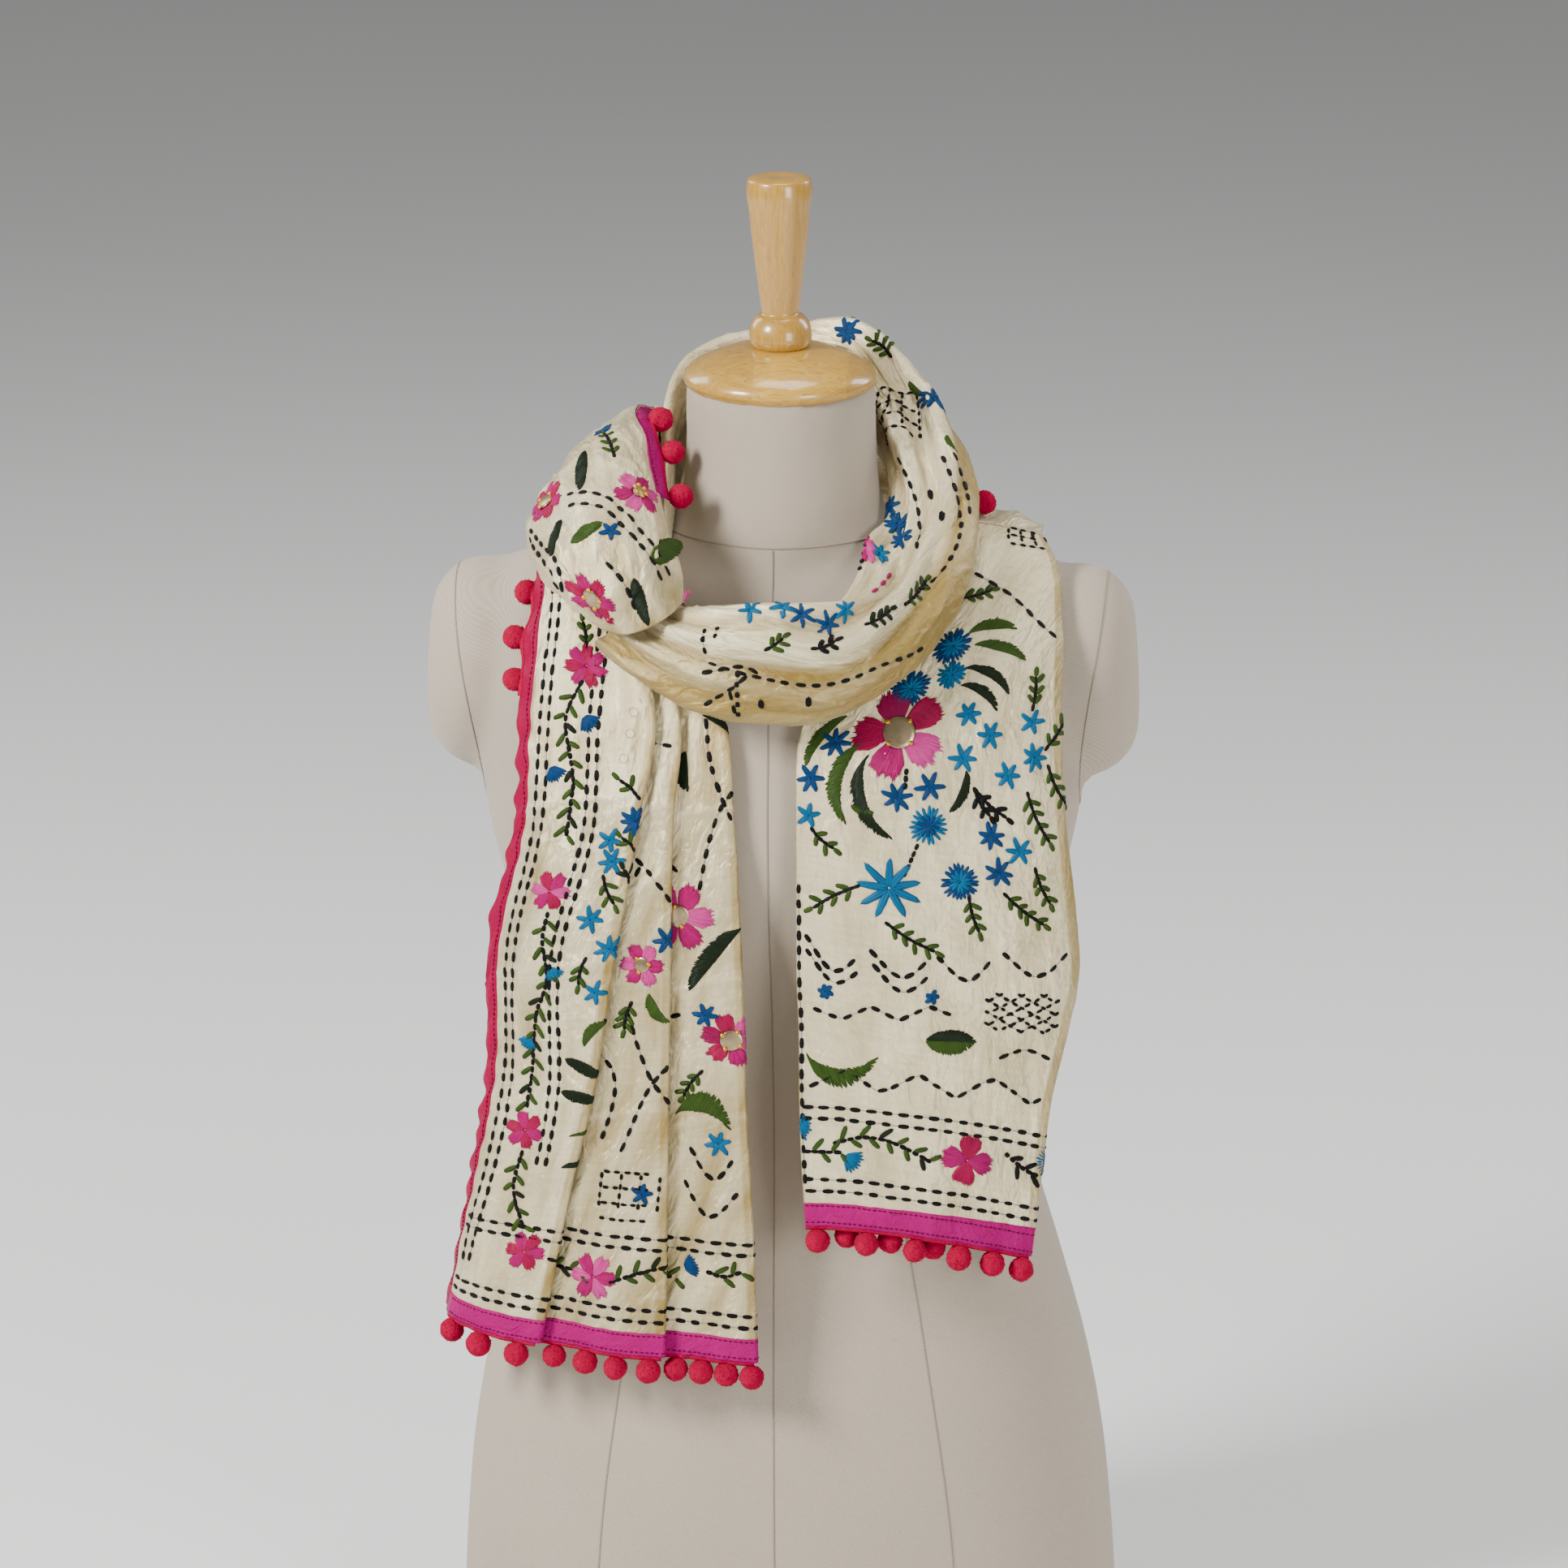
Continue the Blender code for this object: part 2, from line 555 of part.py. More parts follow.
def left_pieces(collection, cutters):
    top, hem = LEFT_TAIL[0].height, LEFT_TAIL[-1].height
    grid = left_grid(hem + HEM_BAND + SEAM_GAP, top, LONG_STEPS)
    band = left_grid(hem, hem + HEM_BAND, 2)
    cloth("left_tail", np.stack([rest_of(row, SIDE_BORDER + SEAM_GAP) for row in grid]), collection)
    side = np.concatenate([grid, band[-1:]])
    border = np.stack([strip_of(row, 0, SIDE_BORDER, 3) for row in side])
    cloth("left_side_border", border, collection, PINK_SATIN, BAND_WALL)
    hem_band = np.stack([rest_of(row, SIDE_BORDER + SEAM_GAP) for row in band])
    cloth("left_hem_band", hem_band, collection, PINK_SATIN, BAND_WALL)
    run = LEFT_PANEL_STEPS + TUCK_STEPS + 2 * (FOLD_STEPS - 1)
    for panel, places in enumerate(LEFT_HEM_POMPOMS):
        stretch = slice(panel * run, panel * run + LEFT_PANEL_STEPS)
        pompom_tape(f"left_hem_pompoms_{panel + 1}", hem_band[-1, stretch],
                    hem_band[-1, stretch] - hem_band[-2, stretch], places, collection, cutters)
    edge = border[LEFT_SIDE_ROWS]
    pompom_tape("left_side_pompoms", edge[:, 0], edge[:, 0] - edge[:, 1], LEFT_SIDE_POMPOMS,
                collection, cutters, LEFT_SIDE_LEAN)


def right_pieces(collection, cutters):
    top, hem = RIGHT_TAIL[0].height, RIGHT_TAIL[-1].height
    cloth("right_tail", right_grid(hem + HEM_BAND + SEAM_GAP, top, LONG_STEPS), collection)
    band = right_grid(hem, hem + HEM_BAND, 2)
    cloth("right_hem_band", band, collection, PINK_SATIN, BAND_WALL)
    down = band[-1] - band[-2]
    pompom_tape("right_hem_pompoms", band[-1][:RIGHT_PANEL_STEPS], down[:RIGHT_PANEL_STEPS],
                RIGHT_HEM_POMPOMS, collection, cutters)
    inner = RIGHT_PANEL_STEPS + 2 * (FOLD_STEPS - 1) + TUCK_STEPS + 1
    pompom_tape("right_inner_pompoms", band[-1][inner:], down[inner:], RIGHT_INNER_POMPOMS,
                collection, cutters, INNER_LEAN)


def loop_grid():
    """The loop's points: a row for each step round the neck."""
    controls = []
    for row in LOOP:
        columns = np.array(row[2:], float)
        turns = np.radians(row.angle + row.lean * np.linspace(0, 1, len(columns)))
        controls.append(np.column_stack([turns, columns]))
    controls = np.stack(controls)
    wanted = np.linspace(LOOP[0].angle, LOOP[-1].angle, LOOP_ROWS)
    read = hermite([-row.angle for row in LOOP], controls.reshape(len(LOOP), -1), -wanted)
    grid = []
    for row in read.reshape(LOOP_ROWS, -1, 3):
        turns, radii, heights = row.T
        points = np.column_stack([radii * np.sin(turns), -radii * np.cos(turns), heights])
        grid.append(evenly(hermite(range(len(points)), points, np.linspace(0, len(points) - 1, 60)),
                           LOOP_STEPS))
    return np.stack(grid)


def loop_pieces(collection):
    grid = loop_grid()
    split = round(NECK_LAYER_SHARE * LOOP_ROWS)
    behind, front = grid[: split + 1].copy(), grid[split:].copy()
    ends = behind[-1] - behind[-2]
    behind[-1] -= SEAM_GAP * ends / np.linalg.norm(ends, axis=1, keepdims=True)
    cloth("neck_layer", behind, collection)
    cloth("front_loop", front, collection)


def table_grid(table, rows, columns):
    """A smooth sheet through a table of points."""
    controls = np.array(table, float)
    read = hermite(range(len(table)), controls.reshape(len(table), -1),
                   np.linspace(0, len(table) - 1, rows))
    return np.stack([
        evenly(hermite(range(controls.shape[1]), line, np.linspace(0, controls.shape[1] - 1, 40)), columns)
        for line in read.reshape(rows, -1, 3)
    ])


def puff_pieces(collection, cutters):
    grid = table_grid(PUFF, PUFF_ROWS, PUFF_STEPS)
    body = np.stack([rest_of(row, NECK_BORDER + BENT_SEAM_GAP) for row in grid])
    cloth("shoulder_puff", body, collection)
    first, last = (round(share * (PUFF_ROWS - 1)) for share in NECK_BORDER_SPAN)
    border = np.stack([strip_of(row, 0, NECK_BORDER, BORDER_STEPS) for row in grid[first : last + 1]])
    cloth("neck_border", border, collection, PINK_SATIN, BAND_WALL)
    edge = border[NECK_ROWS]
    pompom_tape("neck_pompoms", edge[:, 0], edge[:, 0] - edge[:, 1], NECK_POMPOMS, collection, cutters,
                NECK_LEAN)


def nape_pieces(collection, cutters):
    grid = table_grid(NAPE, NAPE_ROWS, NAPE_STEPS)
    cloth("back_band", np.stack([rest_of(row, NECK_BORDER + SEAM_GAP) for row in grid]), collection)
    border = np.stack([strip_of(row, 0, NECK_BORDER, BORDER_STEPS) for row in grid])
    cloth("nape_border", border, collection, PINK_SATIN, BAND_WALL)
    edge = border[NAPE_ROW_SPAN]
    pompom_tape("nape_pompoms", edge[:, 0], edge[:, 0] - edge[:, 1], NAPE_POMPOMS, collection, cutters)
    tape = np.array(SHOULDER_TAPE, float)
    pompom_tape("shoulder_pompom", tape, np.tile((1.0, 0, 0), (len(tape), 1)), SHOULDER_POMPOMS,
                collection, cutters, SHOULDER_LEAN)


def clear_scene():
    for obj in list(bpy.data.objects):
        bpy.data.objects.remove(obj, do_unlink=True)


def main():
    clear_scene()
    scene = bpy.context.scene.collection
    parts = bpy.data.collections.new(COLLECTION)
    cutters = bpy.data.collections.new("Cutters")
    scene.children.link(parts)
    scene.children.link(cutters)
    dress_form(parts, cutters)
    turned("neck_cap", CAP_PROFILE, parts, HONEY_WOOD)
    turned("cap_handle", HANDLE_PROFILE, parts, HONEY_WOOD)
    left_pieces(parts, cutters)
    right_pieces(parts, cutters)
    loop_pieces(parts)
    puff_pieces(parts, cutters)
    nape_pieces(parts, cutters)
    for obj in (*parts.objects, *cutters.objects):
        obj.location.y += FORM_SETBACK * MM


main()
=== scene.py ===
"""The dressed model of an embroidered silk stole wound round a linen dress form.

Sizes are millimetres in the form's own coordinates, as in the CAD source: x runs to the
viewer's right, y away from the viewer and z up, from the middle of the form's base.
The function to_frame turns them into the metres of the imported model.
"""

import logging
import math
from abc import ABC, abstractmethod
from collections.abc import Iterable, Sequence
from dataclasses import dataclass, field
from enum import Enum
from typing import ClassVar, NamedTuple

import bmesh
import bpy
import numpy as np
from mathutils import Matrix, Vector
from mathutils.bvhtree import BVHTree


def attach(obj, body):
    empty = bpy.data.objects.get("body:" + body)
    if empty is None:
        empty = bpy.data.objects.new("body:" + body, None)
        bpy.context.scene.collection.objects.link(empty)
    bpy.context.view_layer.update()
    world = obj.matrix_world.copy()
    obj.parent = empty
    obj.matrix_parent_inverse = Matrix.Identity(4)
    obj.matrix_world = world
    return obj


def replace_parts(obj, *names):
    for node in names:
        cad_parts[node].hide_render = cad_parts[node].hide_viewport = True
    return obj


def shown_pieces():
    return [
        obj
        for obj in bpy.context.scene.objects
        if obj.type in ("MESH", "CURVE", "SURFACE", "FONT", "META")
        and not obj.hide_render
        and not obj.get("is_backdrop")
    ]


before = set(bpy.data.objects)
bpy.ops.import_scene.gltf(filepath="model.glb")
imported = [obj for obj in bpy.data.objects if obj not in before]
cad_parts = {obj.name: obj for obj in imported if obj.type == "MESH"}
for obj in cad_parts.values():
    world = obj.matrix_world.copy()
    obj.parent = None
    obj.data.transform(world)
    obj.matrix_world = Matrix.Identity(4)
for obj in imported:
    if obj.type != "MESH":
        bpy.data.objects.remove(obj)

log = logging.getLogger("stole")

MM = 0.001
FORM_SETBACK = 17.0
Colour = tuple[float, float, float]
Inputs = dict[str, object]


def to_frame(points: np.ndarray) -> np.ndarray:
    """Form millimetres as metres in the model's frame."""
    return (np.asarray(points, float) + (0.0, FORM_SETBACK, 0.0)) * MM


def hermite(places: Iterable[float], values: Sequence, wanted: Iterable[float]) -> np.ndarray:
    """Read a smooth curve through rows of values.

    Args:
        places: where each row lies, rising.
        values: one row of numbers for each place.
        wanted: the places to read.

    Returns:
        One row for each wanted place.
    """
    places = np.asarray(list(places), float)
    values = np.asarray(values, float).reshape(len(places), -1)
    steps = np.diff(places)[:, None]
    slopes = np.diff(values, axis=0) / steps
    middle = (slopes[:-1] * steps[1:] + slopes[1:] * steps[:-1]) / (steps[1:] + steps[:-1])
    tangents = np.vstack([slopes[:1], middle, slopes[-1:]])
    wanted = np.clip(np.asarray(wanted, float), places[0], places[-1])
    span = np.clip(np.searchsorted(places, wanted, side="right") - 1, 0, len(places) - 2)
    width = steps[span]
    t = ((wanted - places[span])[:, None]) / width
    start, end = values[span], values[span + 1]
    leave, reach = tangents[span] * width, tangents[span + 1] * width
    return ((2 * t**3 - 3 * t**2 + 1) * start + (t**3 - 2 * t**2 + t) * leave
            + (3 * t**2 - 2 * t**3) * end + (t**3 - t**2) * reach)


def lengths_along(points: np.ndarray) -> np.ndarray:
    """How far along an open line each of its points lies."""
    return np.concatenate([[0.0], np.cumsum(np.linalg.norm(np.diff(points, axis=0), axis=1))])


def read_at(marks: np.ndarray, rows: np.ndarray, wanted: Sequence[float]) -> np.ndarray:
    """Rows of numbers that lie at marks, read straight between them at the wanted ones."""
    return np.stack([np.interp(wanted, marks, axis) for axis in rows.T], axis=1)


def read_line(points: np.ndarray, lengths: Sequence[float]) -> np.ndarray:
    """The points of an open line at these lengths along it."""
    return read_at(lengths_along(points), points, lengths)


def evenly(points: np.ndarray, count: int) -> np.ndarray:
    """The same open line with its points spread evenly along it."""
    return read_line(points, np.linspace(0, lengths_along(points)[-1], count))


def unit(vectors: np.ndarray) -> np.ndarray:
    """Vectors brought to length one."""
    return vectors / np.maximum(np.linalg.norm(vectors, axis=-1, keepdims=True), 1e-9)


def turns_round(count: int) -> np.ndarray:
    """Angles spread evenly round a circle, in radians."""
    return np.arange(count) * 2 * math.pi / count


def ways_at(turns: np.ndarray, squash: float = 1.0) -> np.ndarray:
    """Ways in a plane at these angles, squashed along the second axis."""
    return np.stack([np.cos(turns), np.sin(turns) * squash], 1)


def rows_of(kind: type, rows: Iterable[Sequence]) -> tuple:
    """A table, each of its rows made into this kind of named row."""
    return tuple(kind(*row) for row in rows)


def smooth_step(low: float, high: float, value: np.ndarray) -> np.ndarray:
    """Rise smoothly from 0 at low to 1 at high."""
    t = np.clip((value - low) / (high - low), 0, 1)
    return t * t * (3 - 2 * t)


def soft_noise(x: np.ndarray, y: np.ndarray, seed: int) -> np.ndarray:
    """Smooth gradient noise.

    Args:
        x: places across, one swell to a unit.
        y: places down.
        seed: picks the pattern.

    Returns:
        Heights between about -1 and 1.
    """
    size = 64
    turns = np.random.default_rng(seed).uniform(0, 2 * math.pi, (size, size))
    left, top = np.floor(x).astype(int), np.floor(y).astype(int)
    across, down = x - left, y - top
    ease_x, ease_y = across**3 * (across * (6 * across - 15) + 10), down**3 * (down * (6 * down - 15) + 10)

    def corner(i: int, j: int) -> np.ndarray:
        """The pull of one corner of each cell."""
        turn = turns[(left + i) % size, (top + j) % size]
        return np.cos(turn) * (across - i) + np.sin(turn) * (down - j)

    upper = corner(0, 0) * (1 - ease_x) + corner(1, 0) * ease_x
    lower = corner(0, 1) * (1 - ease_x) + corner(1, 1) * ease_x
    return 1.5 * (upper * (1 - ease_y) + lower * ease_y)


def linked(name: str, data: bpy.types.ID) -> bpy.types.Object:
    """Put a new object into the scene.

    Args:
        name: the object's name.
        data: its mesh, camera or light.

    Returns:
        The object.
    """
    made = bpy.data.objects.new(name, data)
    bpy.context.scene.collection.objects.link(made)
    return made


def make_object(name: str, points: np.ndarray, faces: Sequence[np.ndarray],
                finishes: Sequence["Finish"], uvs: np.ndarray | None = None,
                slots: Sequence[np.ndarray] | None = None) -> bpy.types.Object:
    """Make a smooth-shaded object that rides on the model's one body.

    Args:
        name: the piece's name.
        points: its vertices in form millimetres.
        faces: arrays of faces, each array with one number of corners.
        finishes: its materials in slot order.
        uvs: texture places for each vertex, in metres of cloth.
        slots: the material slot of each face, array by array as faces.

    Returns:
        The linked object.
    """
    mesh = bpy.data.meshes.new(name)
    corners = np.concatenate([block.reshape(-1) for block in faces]).astype(np.int32)
    totals = np.concatenate([np.full(len(block), block.shape[1], np.int32) for block in faces])
    mesh.vertices.add(len(points))
    mesh.vertices.foreach_set("co", to_frame(points).astype(np.float32).reshape(-1))
    mesh.loops.add(len(corners))
    mesh.loops.foreach_set("vertex_index", corners)
    mesh.polygons.add(len(totals))
    mesh.polygons.foreach_set("loop_start", np.concatenate([[0], np.cumsum(totals)[:-1]]).astype(np.int32))
    if slots is not None:
        mesh.polygons.foreach_set("material_index", np.concatenate(slots).astype(np.int32))
    mesh.update(calc_edges=True)
    mesh.validate()
    if uvs is not None:
        layer = mesh.uv_layers.new(name="Cloth")
        layer.data.foreach_set("uv", uvs[corners].astype(np.float32).reshape(-1))
    mesh.shade_smooth()
    for finish in finishes:
        mesh.materials.append(finish.material())
    made = linked(name, mesh)
    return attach(made, "root")


def store_gold_and_shade(made: bpy.types.Object, tone: np.ndarray) -> None:
    """Keep how golden the silk shows at each vertex, from 0 to 1: shot-silk gold and painted shade together.
    """
    layer = made.data.attributes.new("tone", "FLOAT", "POINT")
    layer.data.foreach_set("value", tone.astype(np.float32).reshape(-1))


def grid_faces(rows: int, columns: int, closed: bool = False) -> np.ndarray:
    """The four-cornered faces of a grid of points.

    Args:
        rows: how many rows of points there are.
        columns: how many points each row has.
        closed: whether each row runs round to its start.

    Returns:
        One row of four point numbers for each face.
    """
    index = np.arange(rows * columns).reshape(rows, columns)
    right = np.roll(index, -1, axis=1) if closed else index[:, 1:]
    left = index if closed else index[:, :-1]
    corners = (left[:-1], right[:-1], right[1:], left[1:])
    return np.stack([corner.reshape(-1) for corner in corners], axis=1)


class Graph:
    """A node tree while it is built."""

    def __init__(self, tree: bpy.types.NodeTree) -> None:
        """Work on this tree."""
        self.tree = tree

    def feed(self, socket: bpy.types.NodeSocket, value: object) -> None:
        """Link a socket into another, or set its own value.

        Args:
            socket: the input to fill.
            value: another socket, or a value.
        """
        if isinstance(value, bpy.types.NodeSocket):
            self.tree.links.new(value, socket)
        else:
            socket.default_value = value

    def add(self, kind: str, inputs: dict | None = None, **settings: object) -> bpy.types.Node:
        """Add a node.

        Args:
            kind: Blender's name for the node.
            inputs: values or sockets by input name or number.
            settings: the node's own properties.

        Returns:
            The new node.
        """
        node = self.tree.nodes.new(kind)
        for name, value in settings.items():
            setattr(node, name, value)
        for name, value in (inputs or {}).items():
            self.feed(node.inputs[name], value)
        return node

    def maths(self, operation: str, first: object, second: object = 0.0, third: object = 0.0,
              clamp: bool = False) -> bpy.types.NodeSocket:
        """One step of arithmetic on numbers or sockets.

        Args:
            operation: Blender's name for the step.
            first: a number or socket.
            second: the next one.
            third: the last one, where the step has three.
            clamp: whether the result is held from 0 to 1.

        Returns:
            The result.
        """
        inputs = {0: first, 1: second, 2: third}
        return self.add("ShaderNodeMath", inputs, operation=operation, use_clamp=clamp).outputs[0]

    def times(self, first: object, second: object) -> bpy.types.NodeSocket:
        """One number or socket times another."""
        return self.maths("MULTIPLY", first, second)

    def stretch(self, vector: bpy.types.NodeSocket, scale: Colour) -> bpy.types.NodeSocket:
        """A vector with each of its axes scaled."""
        inputs = {0: vector, 1: scale}
        return self.add("ShaderNodeVectorMath", inputs, operation="MULTIPLY").outputs[0]

    def blend(self, factor: object, low: object, high: object) -> bpy.types.NodeSocket:
        """A colour between two, by a factor.

        Args:
            factor: from 0 to 1.
            low: the colour at 0.
            high: the colour at 1.

        Returns:
            The colour between.
        """
        node = self.add("ShaderNodeMix", data_type="RGBA")
        for socket, value in ((node.inputs[0], factor), (node.inputs[6], low), (node.inputs[7], high)):
            self.feed(socket, (*value, 1.0) if isinstance(value, tuple) and len(value) == 3 else value)
        return node.outputs[2]

    def spread(self, value: bpy.types.NodeSocket, low: float, high: float, out_low: float = 0.0,
               out_high: float = 1.0) -> bpy.types.NodeSocket:
        """Bring one range of a value onto another, held within it.

        Args:
            value: what to bring over.
            low: the start of its range.
            high: the end of its range.
            out_low: what low becomes.
            out_high: what high becomes.

        Returns:
            The value in its new range.
        """
        inputs = {0: value, 1: low, 2: high, 3: out_low, 4: out_high}
        return self.add("ShaderNodeMapRange", inputs).outputs[0]

    def noise(self, vector: bpy.types.NodeSocket, scale: object, detail: float = 3.0,
              distortion: float = 0.0) -> bpy.types.NodeSocket:
        """Fractal noise over a vector."""
        inputs = {"Vector": vector, "Scale": scale, "Detail": detail, "Distortion": distortion}
        return self.add("ShaderNodeTexNoise", inputs).outputs["Fac"]

    def bump(self, height: bpy.types.NodeSocket, distance: float, strength: float = 1.0,
             normal: bpy.types.NodeSocket | None = None) -> bpy.types.NodeSocket:
        """A normal raised by a height, in metres of relief.

        Args:
            height: the relief, from 0 to 1.
            distance: how high 1 stands, in metres.
            strength: the share of it that shows.
            normal: a finer relief that it adds to.

        Returns:
            The normal.
        """
        inputs = {"Height": height, "Distance": distance, "Strength": strength}
        if normal is not None:
            inputs["Normal"] = normal
        return self.add("ShaderNodeBump", inputs).outputs[0]

    def group(self, effect: "Effect", **values: object) -> bpy.types.Node:
        """Place a shared effect with its own values.

        Args:
            effect: which one.
            values: its inputs by name.

        Returns:
            The group's node.
        """
        node = self.add("ShaderNodeGroup")
        node.node_tree = effect.tree()
        for name, value in values.items():
            self.feed(node.inputs[name.replace("_", " ")], value)
        return node

    def cloth_place(self) -> bpy.types.NodeSocket:
        """The place on the cloth, in metres across and down."""
        return self.add("ShaderNodeTexCoord").outputs["UV"]

    def model_place(self) -> bpy.types.NodeSocket:
        """The place in the model's frame, in metres."""
        return self.add("ShaderNodeTexCoord").outputs["Object"]


class Effect(Enum):
    """The effects that more than one material uses, each a shared node group."""

    WEAVE = "Woven ground"
    MOTTLE = "Mottle"
    CRUSH = "Crushed creases"
    FIBRE = "Spun fibres"

    def tree(self) -> bpy.types.NodeTree:
        """The effect's node group, built the first time it is asked for.

        Returns:
            The node group.
        """
        found = bpy.data.node_groups.get(self.value)
        if found:
            return found
        tree = bpy.data.node_groups.new(self.value, "ShaderNodeTree")
        sockets, outputs, build = {
            Effect.WEAVE: (("Ends", "Picks", "Twill"), ("Height", "Slub"), self._weave),
            Effect.MOTTLE: (("Size", "Reach"), ("Mask",), self._mottle),
            Effect.CRUSH: (("Size",), ("Height",), self._crush),
            Effect.FIBRE: (("Strands", "Twist"), ("Height", "Shade"), self._fibre),
        }[self]
        tree.interface.new_socket(name="Place", in_out="INPUT", socket_type="NodeSocketVector")
        for name in sockets:
            tree.interface.new_socket(name=name, in_out="INPUT", socket_type="NodeSocketFloat")
        for name in outputs:
            tree.interface.new_socket(name=name, in_out="OUTPUT", socket_type="NodeSocketFloat")
        graph = Graph(tree)
        given = graph.add("NodeGroupInput").outputs
        results = build(graph, given)
        graph.add("NodeGroupOutput", dict(zip(outputs, results)))
        return tree

    @staticmethod
    def _weave(graph: Graph, given: bpy.types.bpy_prop_collection) -> tuple:
        """Crossing threads, plain or in a diagonal twill, with thick places in the yarn.

        Args:
            graph: the group's nodes.
            given: the sockets that it takes.

        Returns:
            The sockets that it gives.
        """
        axes = graph.add("ShaderNodeSeparateXYZ", {0: given["Place"]}).outputs
        across = graph.times(graph.times(axes[0], given["Ends"]), 2 * math.pi)
        down = graph.times(graph.times(axes[1], given["Picks"]), 2 * math.pi)
        plain = graph.times(graph.maths("SINE", across), graph.maths("SINE", down))
        twill = graph.maths("SINE", graph.maths("ADD", across, down))
        mixed = graph.add("ShaderNodeMix", {0: given["Twill"], 2: plain, 3: twill}).outputs[0]
        height = graph.maths("MULTIPLY_ADD", mixed, 0.5, 0.5)
        yarn = graph.add("ShaderNodeCombineXYZ", {
            0: graph.times(axes[0], 70.0),
            1: graph.times(graph.times(axes[1], given["Picks"]), 0.35),
        }).outputs[0]
        return height, graph.noise(yarn, 1.0, 2.0)

    @staticmethod
    def _mottle(graph: Graph, given: bpy.types.bpy_prop_collection) -> tuple:
        """Soft uneven patches, for tone and wear.

        Args:
            graph: the group's nodes.
            given: the sockets that it takes.

        Returns:
            The sockets that it gives.
        """
        fine = graph.noise(given["Place"], given["Size"], 4.0)
        low = graph.maths("SUBTRACT", 0.5, given["Reach"])
        high = graph.maths("ADD", 0.5, given["Reach"])
        return (graph.add("ShaderNodeMapRange", {0: fine, 1: low, 2: high}).outputs[0],)

    @staticmethod
    def _crush(graph: Graph, given: bpy.types.bpy_prop_collection) -> tuple:
        """Sharp little ridges, as in cloth that has been folded small.

        Args:
            graph: the group's nodes.
            given: the sockets that it takes.

        Returns:
            The sockets that it gives.
        """
        broad = graph.noise(given["Place"], given["Size"], 2.0, 0.8)
        finer = graph.noise(given["Place"], graph.times(given["Size"], 2.7), 2.0, 0.5)
        ridges = [graph.maths("ABSOLUTE", graph.maths("SUBTRACT", part, 0.5)) for part in (broad, finer)]
        return (graph.maths("MULTIPLY_ADD", ridges[1], 0.45, ridges[0]),)

    @staticmethod
    def _fibre(graph: Graph, given: bpy.types.bpy_prop_collection) -> tuple:
        """Fine strands along a thread, laid round it with a twist.

        Args:
            graph: the group's nodes.
            given: the sockets that it takes.

        Returns:
            The sockets that it gives.
        """
        axes = graph.add("ShaderNodeSeparateXYZ", {0: given["Place"]}).outputs
        wound = graph.maths("MULTIPLY_ADD", axes[1], given["Twist"], graph.times(axes[0], given["Strands"]))
        strand = graph.maths("MULTIPLY_ADD", graph.maths("SINE", wound), 0.5, 0.5)
        along = graph.add("ShaderNodeCombineXYZ", {
            0: graph.times(wound, 0.7), 1: graph.times(axes[1], 60.0)}).outputs[0]
        uneven = graph.noise(along, 1.0, 2.0)
        return graph.maths("MULTIPLY_ADD", uneven, 0.6, strand), uneven


@dataclass(frozen=True)
class Finish(ABC):
    """A surface finish, made into a Blender material once."""

    name: str
    colour: Colour

    def material(self) -> bpy.types.Material:
        """Make the finish's material, or find it again.

        Returns:
            The material, its shader fed with what dress gives.
        """
        made = bpy.data.materials.get(self.name)
        if made is None:
            made = bpy.data.materials.new(self.name)
            made.use_nodes = True
            made.diffuse_color = (*self.colour, 1.0)
            graph = Graph(made.node_tree)
            shader = made.node_tree.nodes["Principled BSDF"]
            for name, value in self.dress(graph).items():
                graph.feed(shader.inputs[name], value)
        return made

    def toned(self, share: float) -> Colour:
        """The finish's colour, darker or paler by a share."""
        return tuple(min(1.0, channel * share) for channel in self.colour)

    @abstractmethod
    def dress(self, graph: Graph) -> Inputs:
        """What the shader's inputs take, by their names."""


